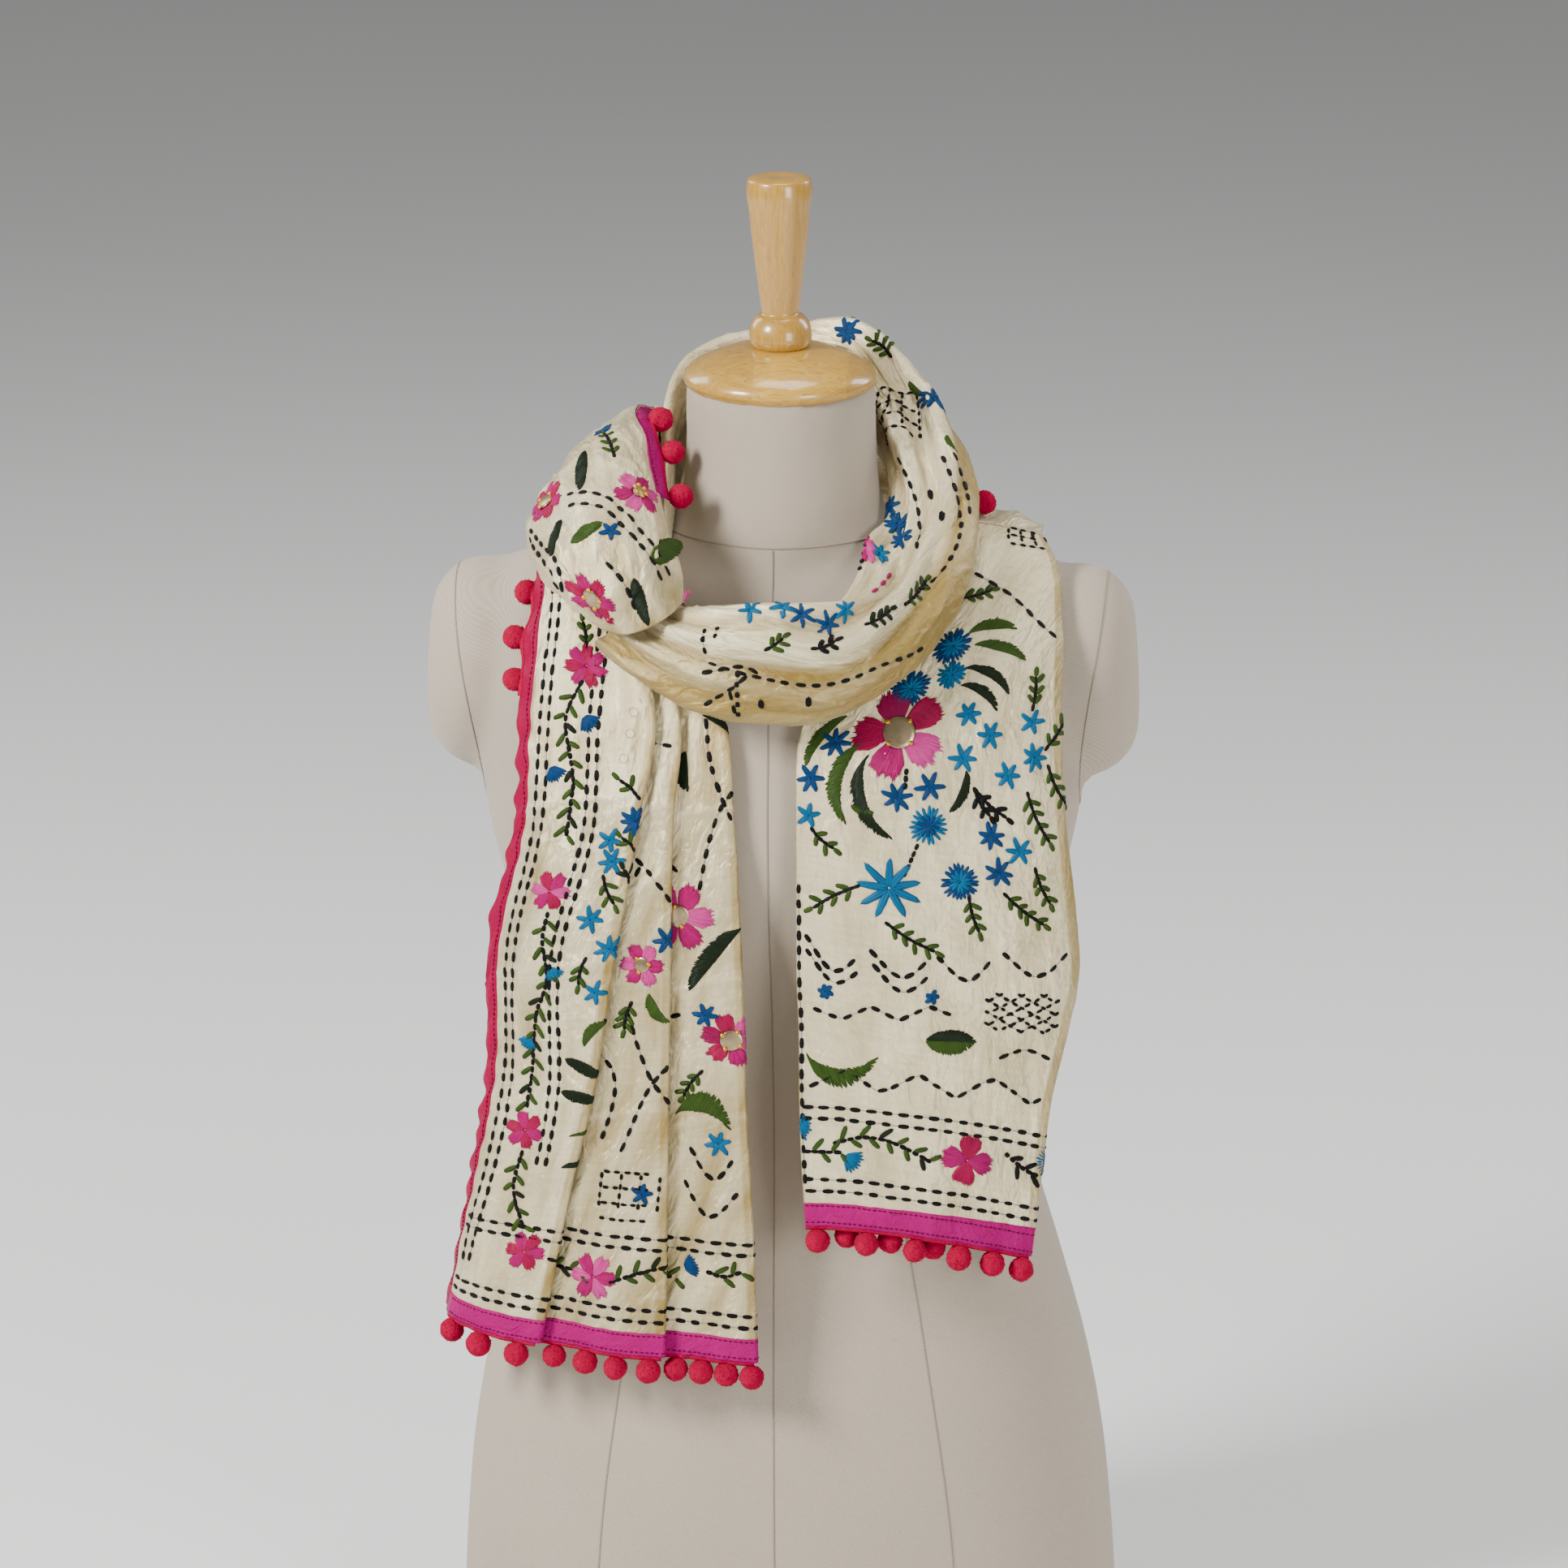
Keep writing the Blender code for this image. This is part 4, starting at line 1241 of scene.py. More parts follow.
class Embroiderer:
    """Sews stitches on one sheet and gathers them into one piece.

    A stitch is a flattened tube of thread: a tip, a ring of points at each of three
    stations and a tip again.
    """

    stations = np.array([0.0, 0.13, 0.5, 0.87, 1.0])
    levels = np.array([-0.12, 0.10, 0.16, 0.10, -0.12])
    fullness = np.array([0.95, 1.25, 0.95])
    sides = 5
    flatness = 0.62
    highest_rise = 0.55
    texture_round = 1.2
    texture_spread = 40.0
    between_width = 0.42
    between_overlap = 0.6
    mirror_sides = 28
    mirror_outline = ((1.0, -0.2), (1.04, 0.35), (0.97, 0.75), (0.75, 0.95), (0.0, 1.1))
    knot_reach = 1.5
    knot_sides = 8
    knot_tilts = np.linspace(-1.35, 1.35, 6)

    def __init__(self, sheet: Sheet, seed: int) -> None:
        """Start on a bare sheet of silk.

        Args:
            sheet: the cloth.
            seed: picks how the stitches vary.
        """
        self.sheet = sheet
        self.dice = np.random.default_rng(seed)
        self.sewn: list[tuple[np.ndarray, np.ndarray, np.ndarray, float, Thread]] = []
        self.discs: list[Disc] = []

    def patch(self, at: Pixel | Spot, turn: float = 0.0) -> Patch:
        """Flat millimetres about a place, headed so many degrees from across."""
        row, column = self.sheet.find(at)
        return Patch(self.sheet, row, column, (math.cos(math.radians(turn)), math.sin(math.radians(turn))))

    def stitch(self, starts: np.ndarray, ends: np.ndarray, width: float | np.ndarray, thread: Thread,
               lift: float = 0.0) -> None:
        """Lay stitches.

        Args:
            starts: the grid place where each comes up.
            ends: the grid place where each goes down.
            width: millimetres across a stitch at its fullest.
            thread: the floss.
            lift: how far above the cloth it lies, over other stitches.
        """
        starts, ends = np.atleast_2d(starts), np.atleast_2d(ends)
        widths = np.broadcast_to(np.asarray(width, float), (len(starts),))
        self.sewn.append((starts, ends, widths, lift, thread))

    def lay(self, patch: Patch, starts: Sequence, ends: Sequence, width: float | np.ndarray,
            thread: Thread, lift: float = 0.0) -> None:
        """Lay stitches given in a patch's millimetres.

        Args:
            patch: the millimetres they are given in.
            starts: where each comes up.
            ends: where each goes down.
            width: millimetres across a stitch.
            thread: the floss.
            lift: how far above the cloth it lies.
        """
        first = patch.places(np.atleast_2d(np.asarray(starts, float)))
        last = patch.places(np.atleast_2d(np.asarray(ends, float)))
        self.stitch(first, last, width, thread, lift)

    def path(self, places: Sequence[Pixel | Spot], curved: bool = True) -> np.ndarray:
        """Grid places close together along a line through the given ones.

        Args:
            places: what the line goes through.
            curved: whether it bends smoothly.

        Returns:
            Rows of grid row and grid column.
        """
        knots = np.array([self.sheet.find(place) for place in places])
        gaps = np.maximum(np.hypot(*np.diff(knots, axis=0).T), 0.5)
        marks = np.concatenate([[0.0], np.cumsum(gaps)])
        wanted = np.linspace(0, marks[-1], 40 * len(knots))
        if curved and len(knots) > 2:
            return hermite(marks, knots, wanted)
        return read_at(marks, knots, wanted)

    def run(self, path: np.ndarray, sewing: Sewing = FLOSS_RUN) -> None:
        """Sew running stitch.

        Args:
            path: grid places close together along the line.
            sewing: its thread and stitch, and what lies between two dashes.
        """
        points, _ = self.sheet.at(path[:, 0], path[:, 1])
        lengths = lengths_along(points)
        pitch = sewing.dash + sewing.gap
        count = int(lengths[-1] // pitch)
        if count < 1:
            return
        starts = (np.arange(count) + self.dice.uniform(-0.05, 0.05, count)) * pitch + sewing.gap / 2
        ends = starts + sewing.dash * self.dice.uniform(0.85, 1.1, count)
        widths = sewing.width * self.dice.uniform(0.85, 1.1, count)
        self.stitch(read_at(lengths, path, starts), read_at(lengths, path, ends), widths, sewing.thread,
                    sewing.lift)
        if sewing.between and count > 1:
            leave = read_at(lengths, path, ends[:-1] - self.between_overlap)
            reach = read_at(lengths, path, starts[1:] + self.between_overlap)
            self.stitch(leave, reach, self.between_width, sewing.between)

    def mesh_parts(self) -> tuple[np.ndarray, list[np.ndarray], list[np.ndarray], np.ndarray, list[Thread]]:
        """Gather all the stitches.

        Returns:
            Points, faces, slots, texture places and threads.
        """
        threads = list(dict.fromkeys(batch[4] for batch in self.sewn))
        sides, rings = self.sides, len(self.fullness)
        size = sides * rings + 2
        side_turns = turns_round(sides) + math.pi / 2
        walls = grid_faces(rings, sides, closed=True) + 1
        corner = np.arange(sides)
        after, last = np.roll(corner, -1), size - 1 - sides
        tips = np.concatenate([np.stack([0 * corner, 1 + after, 1 + corner], 1),
                               np.stack([0 * corner + size - 1, last + corner, last + after], 1)])
        around = np.tile(corner / sides * self.texture_round, rings)
        along = np.repeat(self.stations[1:-1], sides)
        points, uvs, quads, triangles, quad_slots, tip_slots = [], [], [], [], [], []
        base = 0
        for starts, ends, widths, lift, thread in self.sewn:
            count = len(starts)
            route = starts[:, None] + (ends - starts)[:, None] * self.stations[None, :, None]
            middle, out = self.sheet.at(route[..., 0], route[..., 1])
            heading = unit(middle[:, -1] - middle[:, 0])
            side = unit(np.cross(out[:, 2], heading))[:, None]
            length = np.linalg.norm(middle[:, -1] - middle[:, 0], axis=1)
            level = Silk.wall / 2 + lift + self.levels
            middle = middle + out * level[None, :, None]
            half = widths[:, None] / 2 * self.fullness[None]
            high = np.minimum(half * self.flatness, self.highest_rise)
            sideways = (half[..., None] * np.cos(side_turns))[..., None]
            outwards = (high[..., None] * np.sin(side_turns))[..., None]
            tube = middle[:, 1:-1, None] + side[:, :, None] * sideways + out[:, 1:-1, None] * outwards
            block = np.concatenate([middle[:, :1], tube.reshape(count, size - 2, 3), middle[:, -1:]], axis=1)
            points.append(block.reshape(-1, 3))
            flat = np.zeros((count, size, 2))
            flat[:, 1:-1, 0], flat[:, -1, 0] = around * widths[:, None], 0.5
            flat[:, 1:-1, 1], flat[:, -1, 1] = along * length[:, None], length
            flat += self.dice.uniform(0, self.texture_spread, (count, 1, 2))
            uvs.append(flat.reshape(-1, 2) * MM)
            own = base + np.arange(count)[:, None, None] * size
            quads.append((own + walls).reshape(-1, 4))
            triangles.append((own + tips).reshape(-1, 3))
            quad_slots.append(np.full(count * len(walls), threads.index(thread)))
            tip_slots.append(np.full(count * len(tips), threads.index(thread)))
            base += count * size
        faces = [np.concatenate(quads), np.concatenate(triangles)]
        slots = [np.concatenate(quad_slots), np.concatenate(tip_slots)]
        return np.concatenate(points), faces, slots, np.concatenate(uvs), threads

    def finish(self, name: str) -> list[bpy.types.Object]:
        """Make the stitches, and the mirrors if there are any, each as a piece.

        Args:
            name: of the stretch they are sewn on.

        Returns:
            The pieces.
        """
        points, faces, slots, uvs, threads = self.mesh_parts()
        made = [make_object(f"{name}_stitches", points, faces, [thread.value for thread in threads], uvs,
                            slots)]
        if self.discs:
            made.append(self.mirrors(f"{name}_mirrors"))
        return made

    def mirrors(self, name: str) -> bpy.types.Object:
        """Make the mirrors as domed discs with gold knots round their rims.

        Args:
            name: the piece's name.

        Returns:
            The piece.
        """
        around = turns_round(self.mirror_sides)
        points, quads, slots, base = [], [], [], 0
        for disc in self.discs:
            side = unit(np.cross(disc.up, disc.out))
            domed = np.concatenate([
                disc.middle + side * (disc.half_width * share * np.cos(around))[:, None]
                + disc.up * (disc.half_height * share * np.sin(around))[:, None] + disc.out * (rise + 0.3)
                for share, rise in self.mirror_outline])
            dome_faces = grid_faces(len(self.mirror_outline), self.mirror_sides, closed=True)[:, ::-1]
            parts = [(domed, dome_faces, 0)]
            for bead in range(disc.beads):
                turn = 2 * math.pi * (bead + 0.6) / disc.beads
                centre = (disc.middle + side * disc.half_width * 0.98 * math.cos(turn)
                          + disc.up * disc.half_height * 0.98 * math.sin(turn) + disc.out * 1.1)
                parts.append((*self.knot(centre, side, disc.up, disc.out), 1))
            for part, faces, slot in parts:
                points.append(part)
                quads.append(faces + base)
                slots.append(np.full(len(faces), slot))
                base += len(part)
        return make_object(name, np.concatenate(points), [np.concatenate(quads)], [MIRROR, GOLD_THREAD],
                           slots=[np.concatenate(slots)])

    def knot(self, centre: np.ndarray, side: np.ndarray, up: np.ndarray,
             out: np.ndarray) -> tuple[np.ndarray, np.ndarray]:
        """A round knot of thread.

        Args:
            centre: its middle.
            side: the way to the side of the cloth.
            up: the way up the cloth.
            out: the way out of the cloth.

        Returns:
            Rings of points and their faces.
        """
        around = turns_round(self.knot_sides)
        rings = []
        for tilt in self.knot_tilts:
            radius, rise = self.knot_reach * math.cos(tilt), self.knot_reach * 0.8 * math.sin(tilt)
            rings.append(centre + side * (radius * np.cos(around))[:, None]
                         + up * (radius * np.sin(around))[:, None] + out * rise)
        return np.concatenate(rings), grid_faces(len(rings), self.knot_sides, closed=True)[:, ::-1]


@dataclass(frozen=True)
class Motif(ABC):
    """Something embroidered, that knows how it is sewn."""

    @abstractmethod
    def sew(self, on: Embroiderer) -> None:
        """Lay its stitches."""


@dataclass(frozen=True)
class Star(Motif):
    """A small open flower of single straight stitches."""

    at: Pixel | Spot
    reach: float = 8.5
    rays: int = 6
    thread: Thread = Thread.CYAN
    width: float = 3.1
    turn: float = 0.0

    def sew(self, on: Embroiderer) -> None:
        """Each ray is two close stitches from the middle out.

        Args:
            on: the embroiderer at work on a sheet.
        """
        patch = on.patch(self.at, self.turn + on.dice.uniform(-12, 12))
        for ray in range(self.rays):
            turn = 2 * math.pi * ray / self.rays + on.dice.normal(0, 0.07)
            reach = self.reach * on.dice.uniform(0.88, 1.08)
            way = np.array([math.cos(turn), math.sin(turn)])
            side = np.array([-way[1], way[0]]) * self.width * 0.22
            on.lay(patch, [-0.6 * way + side, -0.3 * way - side], [reach * way + side * 0.4,
                   reach * 0.94 * way - side * 0.4], self.width * 0.62, self.thread, 0.1 + 0.12 * (ray % 3))


@dataclass(frozen=True)
class Burst(Motif):
    """A full round flower of close radial stitches in two blues."""

    at: Pixel | Spot
    reach: float = 11.0
    rays: int = 24
    threads: tuple[Thread, Thread] = (Thread.BLUE, Thread.CYAN)
    width: float = 1.9

    def sew(self, on: Embroiderer) -> None:
        """A wide ring of rays and a shorter one over it.

        Args:
            on: the embroiderer at work on a sheet.
        """
        patch = on.patch(self.at)
        for layer, share, count in ((0, 1.0, self.rays), (1, 0.62, self.rays // 2)):
            turns = 2 * math.pi * (np.arange(count) + 0.5 * layer) / count + on.dice.normal(0, 0.05, count)
            reach = self.reach * share * on.dice.uniform(0.92, 1.05, count)
            ways = ways_at(turns)
            on.lay(patch, ways * 0.2, ways * reach[:, None], self.width, self.threads[layer],
                   0.1 + 0.35 * layer)


@dataclass(frozen=True)
class Flower(Motif):
    """A flower of satin-stitched petals, round a mirror or closed."""

    at: Pixel | Spot
    reach: float
    threads: tuple[Thread, ...]
    mirror: float = 0.0
    petals: int = 5
    turn: float = 0.0
    squash: float = 1.0
    fill: float = 0.86
    beads: int = 4

    def sew(self, on: Embroiderer) -> None:
        """Each petal is a fan of stitches, longest at its middle with a small notch.

        Args:
            on: the embroiderer at work on a sheet.
        """
        patch = on.patch(self.at, self.turn)
        half = math.pi / self.petals * self.fill
        count = max(7, round(2 * half * self.reach / 1.25))
        spread = np.linspace(-1, 1, count)
        for petal in range(self.petals):
            middle = 2 * math.pi * petal / self.petals
            turns = middle + half * spread * 0.92
            outline = 0.64 + 0.36 * np.sqrt(np.clip(1 - spread**2 * 0.96, 0, 1))
            outline = outline - 0.07 * np.exp(-((spread / 0.16) ** 2))
            reach = self.reach * outline * on.dice.uniform(0.91, 1.05, count)
            ways = ways_at(turns, self.squash)
            inner = max(self.mirror * 0.85, 0.25)
            width = 1.08 * 2 * half * self.reach / count
            thread = self.threads[petal % len(self.threads)]
            on.lay(patch, ways * inner, ways * reach[:, None], width, thread, 0.1 + 0.06 * (petal % 2))
        if self.mirror:
            self.place_mirror(on, patch)

    def place_mirror(self, on: Embroiderer, patch: Patch) -> None:
        """Keep a mirror to be made at the flower's middle, flat on its petals.

        Args:
            on: the embroiderer that makes it.
            patch: the flower's own place.
        """
        middle, out = on.sheet.at(np.array([patch.row]), np.array([patch.column]))
        ahead, _ = on.sheet.at(np.array([patch.row + 2]), np.array([patch.column]))
        up = ahead[0] - middle[0]
        up = unit(up - out[0] * (up @ out[0]))
        on.discs.append(Disc(middle[0] + out[0] * 0.3, out[0], up, self.mirror, self.mirror * self.squash,
                             self.beads))


@dataclass(frozen=True)
class Leaf(Motif):
    """A satin-stitched leaf between two curved edges, each bulging to the right."""

    base: Pixel | Spot
    tip: Pixel | Spot
    bulges: tuple[float, float]
    thread: Thread = Thread.GREEN
    slant: float = 0.16
    spacing: float = 1.1
    width: float = 1.3

    def sew(self, on: Embroiderer) -> None:
        """Slanting stitches from edge to edge, with a slightly ragged outline.

        Args:
            on: the embroiderer at work on a sheet.
        """
        patch, length = Patch.between(on.sheet, self.base, self.tip)
        span = length + abs(self.bulges[1]) * 0.6
        count = max(5, round(span / self.spacing))
        near = np.linspace(0.0, 1.0 - self.slant, count)
        far = np.clip(near + self.slant, 0, 1) + on.dice.normal(0, 0.008, count)

        def edge(share: np.ndarray, bulge: float) -> np.ndarray:
            """Points of one edge.

            Args:
                share: how far along the leaf each lies.
                bulge: how far the edge swings out.

            Returns:
                Rows of x and y in the patch.
            """
            rough = on.dice.uniform(0.92, 1.06, count)
            swell = np.sin(math.pi * np.clip(share, 0, 1)) ** 0.62
            return np.stack([share * length, bulge * rough * swell], 1)

        on.lay(patch, edge(near, self.bulges[0]), edge(far, self.bulges[1]), self.width, self.thread, 0.1)


@dataclass(frozen=True)
class Sprig(Motif):
    """A stem with pairs of single-stitch leaves and one at its tip."""

    base: Pixel | Spot
    tip: Pixel | Spot
    pairs: int = 3
    reach: float = 7.6
    leaf: Thread = Thread.GREEN
    stem: Thread = Thread.BLACK
    bend: float = 1.2

    def sew(self, on: Embroiderer) -> None:
        """Stem stitch first, then the leaves, which lean to the tip.

        Args:
            on: the embroiderer at work on a sheet.
        """
        patch, length = Patch.between(on.sheet, self.base, self.tip)
        marks = np.linspace(0, 1, max(3, round(length / 3.6) + 1))
        line = np.stack([marks * length, self.bend * np.sin(math.pi * marks)], 1)
        on.lay(patch, line[:-1] - (0.5, 0), line[1:] + (0.5, 0), 2.0, self.stem, 0.05)
        for pair in range(self.pairs):
            share = (pair + 0.75) / (self.pairs + 0.45)
            root = np.array([share * length, self.bend * math.sin(math.pi * share)])
            for side in (-1, 1):
                turn = side * math.radians(on.dice.uniform(36, 52))
                reach = self.reach * on.dice.uniform(0.85, 1.15)
                foot = root + (on.dice.uniform(-0.6, 0.6), 0.4 * side)
                tip = foot + (reach * math.cos(turn), reach * math.sin(turn))
                on.lay(patch, foot, tip, 2.6, self.leaf, 0.12)
        on.lay(patch, (length, 0), (length + self.reach * 0.9, 0), 2.6, self.leaf, 0.12)


@dataclass(frozen=True)
class Bud(Motif):
    """A small tulip of a few fanned stitches."""

    at: Pixel | Spot
    reach: float = 5.5
    thread: Thread = Thread.CYAN
    turn: float = -90.0
    count: int = 9

    def sew(self, on: Embroiderer) -> None:
        """Stitches fanned from one foot.

        Args:
            on: the embroiderer at work on a sheet.
        """
        patch = on.patch(self.at, self.turn)
        turns = np.linspace(-0.85, 0.85, self.count)
        reach = self.reach * on.dice.uniform(0.92, 1.06, self.count)
        ends = np.stack([np.cos(turns) * reach - self.reach / 2, np.sin(turns) * reach], 1)
        starts = np.stack([np.full(self.count, -self.reach / 2), turns * 0.8], 1)
        on.lay(patch, starts, ends, 1.6, self.thread, 0.12)


@dataclass(frozen=True)
class Dot(Motif):
    """A fat oval of a few black stitches side by side."""

    at: Pixel | Spot
    reach: float = 3.4
    turn: float = 90.0
    thread: Thread = Thread.BLACK

    def sew(self, on: Embroiderer) -> None:
        """Three close stitches.

        Args:
            on: the embroiderer at work on a sheet.
        """
        patch = on.patch(self.at, self.turn)
        sides = np.array([-0.85, 0.0, 0.85])
        reach = self.reach * (1 - 0.2 * np.abs(sides))
        starts = np.stack([-reach, sides], 1)
        on.lay(patch, starts, np.stack([reach, sides], 1), 1.5, self.thread, 0.12)


@dataclass(frozen=True)
class Run(Motif):
    """Running stitch through a line of places."""

    places: tuple[Pixel | Spot, ...]
    curved: bool = True
    thread: Thread = FLOSS_RUN.thread
    dash: float = FLOSS_RUN.dash
    gap: float = FLOSS_RUN.gap
    width: float = FLOSS_RUN.width

    def sew(self, on: Embroiderer) -> None:
        """One line of dashes."""
        on.run(on.path(self.places, self.curved), Sewing(self.thread, self.dash, self.gap, self.width))


@dataclass(frozen=True)
class Vine(Motif):
    """A stem stitched along a line, with single leaves to either side by turns."""

    places: tuple[Pixel | Spot, ...]
    every: float = 5.4
    reach: float = 9.0
    leaves: tuple[Thread, Thread] = (Thread.GREEN, Thread.DARK_GREEN)
    stem: Thread = Thread.BLACK

    def sew(self, on: Embroiderer) -> None:
        """The stem, then a leaf every few millimetres.

        Args:
            on: the embroiderer at work on a sheet.
        """
        path = on.path(self.places)
        on.run(path, Sewing(self.stem, 4.8, -0.4, 2.3, None))
        points, _ = on.sheet.at(path[:, 0], path[:, 1])
        lengths = lengths_along(points)
        for number, mark in enumerate(np.arange(self.every, lengths[-1] - 1, self.every)):
            (row, column), (ahead_row, ahead_column) = read_at(lengths, path, (mark, mark + 2))
            down, across = on.sheet.pitch(row, column)
            heading = unit(np.array([(ahead_column - column) * across, (ahead_row - row) * down]))
            patch = Patch(on.sheet, float(row), float(column), tuple(heading))
            side = 1 if number % 2 else -1
            turn = side * math.radians(on.dice.uniform(38, 56))
            reach = self.reach * on.dice.uniform(0.85, 1.15)
            foot = np.array([0.0, 0.5 * side])
            tip = foot + (reach * math.cos(turn), reach * math.sin(turn))
            on.lay(patch, foot, tip, 2.7, self.leaves[number % 5 // 4], 0.12)


@dataclass(frozen=True)
class Lattice(Motif):
    """Crossing lines of small running stitches within a four-cornered field."""

    corners: tuple[Pixel | Spot, Pixel | Spot, Pixel | Spot, Pixel | Spot]
    across: int = 4
    down: int = 4
    slanting: bool = False

    def sew(self, on: Embroiderer) -> None:
        """Lines one way and then the other, straight or from corner to corner.

        Args:
            on: the embroiderer at work on a sheet.
        """
        one, two, three, four = (np.array(on.sheet.find(corner)) for corner in self.corners)

        def inside(u: float, v: float) -> np.ndarray:
            """A grid place by shares of the field."""
            return (one * (1 - u) + two * u) * (1 - v) + (four * (1 - u) + three * u) * v

        lines = []
        if self.slanting:
            for k in range(1, self.across + self.down):
                s = k / (self.across + self.down) * 2
                lines.append(((min(s, 1), max(s - 1, 0)), (max(s - 1, 0), min(s, 1))))
                lines.append(((max(1 - s, 0), max(s - 1, 0)), (min(2 - s, 1), min(s, 1))))
        else:
            lines += [((k / self.across, 0), (k / self.across, 1)) for k in range(self.across + 1)]
            lines += [((0, k / self.down), (1, k / self.down)) for k in range(self.down + 1)]
        for first, last in lines:
            start, end = inside(*first), inside(*last)
            path = start + (end - start) * np.linspace(0, 1, 30)[:, None]
            on.run(path, LATTICE_RUN)


@dataclass(frozen=True)
class Ring(Motif):
    """A faint ring of fine thread."""

    at: Pixel | Spot
    reach: float = 2.6
    count: int = 10

    def sew(self, on: Embroiderer) -> None:
        """Short stitches round.

        Args:
            on: the embroiderer at work on a sheet.
        """
        turns = np.arange(self.count + 1) * 2 * math.pi / self.count
        ring = ways_at(turns) * self.reach
        on.lay(on.patch(self.at), ring[:-1], ring[1:], 0.4, Thread.SILVER)


@dataclass(frozen=True)
class EdgeRun(Motif):
    """Running stitch at one distance from a sheet's first column, all the way down."""

    inset: float
    span: tuple[float, float] = (0.0, 1.0)
    sewing: Sewing = FLOSS_RUN

    def sew(self, on: Embroiderer) -> None:
        """Follow the distance row by row.

        Args:
            on: the embroiderer at work on a sheet.
        """
        sheet = on.sheet
        last = len(sheet.points) - 1
        rows = np.arange(int(self.span[0] * last), int(self.span[1] * last))
        numbers = np.arange(sheet.points.shape[1])
        columns = [np.interp(self.inset, sheet.across[row], numbers) for row in rows]
        on.run(np.stack([rows.astype(float), np.array(columns)], 1), self.sewing)


@dataclass(frozen=True)
class HemRun(Motif):
    """Running stitch at one distance above a sheet's last row, over a share of its columns."""

    above: float
    span: tuple[float, float]
    sewing: Sewing = FLOSS_RUN

    def sew(self, on: Embroiderer) -> None:
        """Follow the distance column by column.

        Args:
            on: the embroiderer at work on a sheet.
        """
        sheet = on.sheet
        numbers = np.arange(len(sheet.points))
        last = sheet.points.shape[1] - 1
        columns = range(round(self.span[0] * last), round(self.span[1] * last) + 1)
        rows = [np.interp(sheet.down[-1, column] - self.above, sheet.down[:, column], numbers)
                for column in columns]
        on.run(np.stack([rows, np.array(columns, float)], 1), self.sewing)


class BodyRing(NamedTuple):
    """A level of the form: half width, depths before and behind the middle, and squareness."""

    height: float
    half_width: float
    front: float
    back: float
    squareness: float


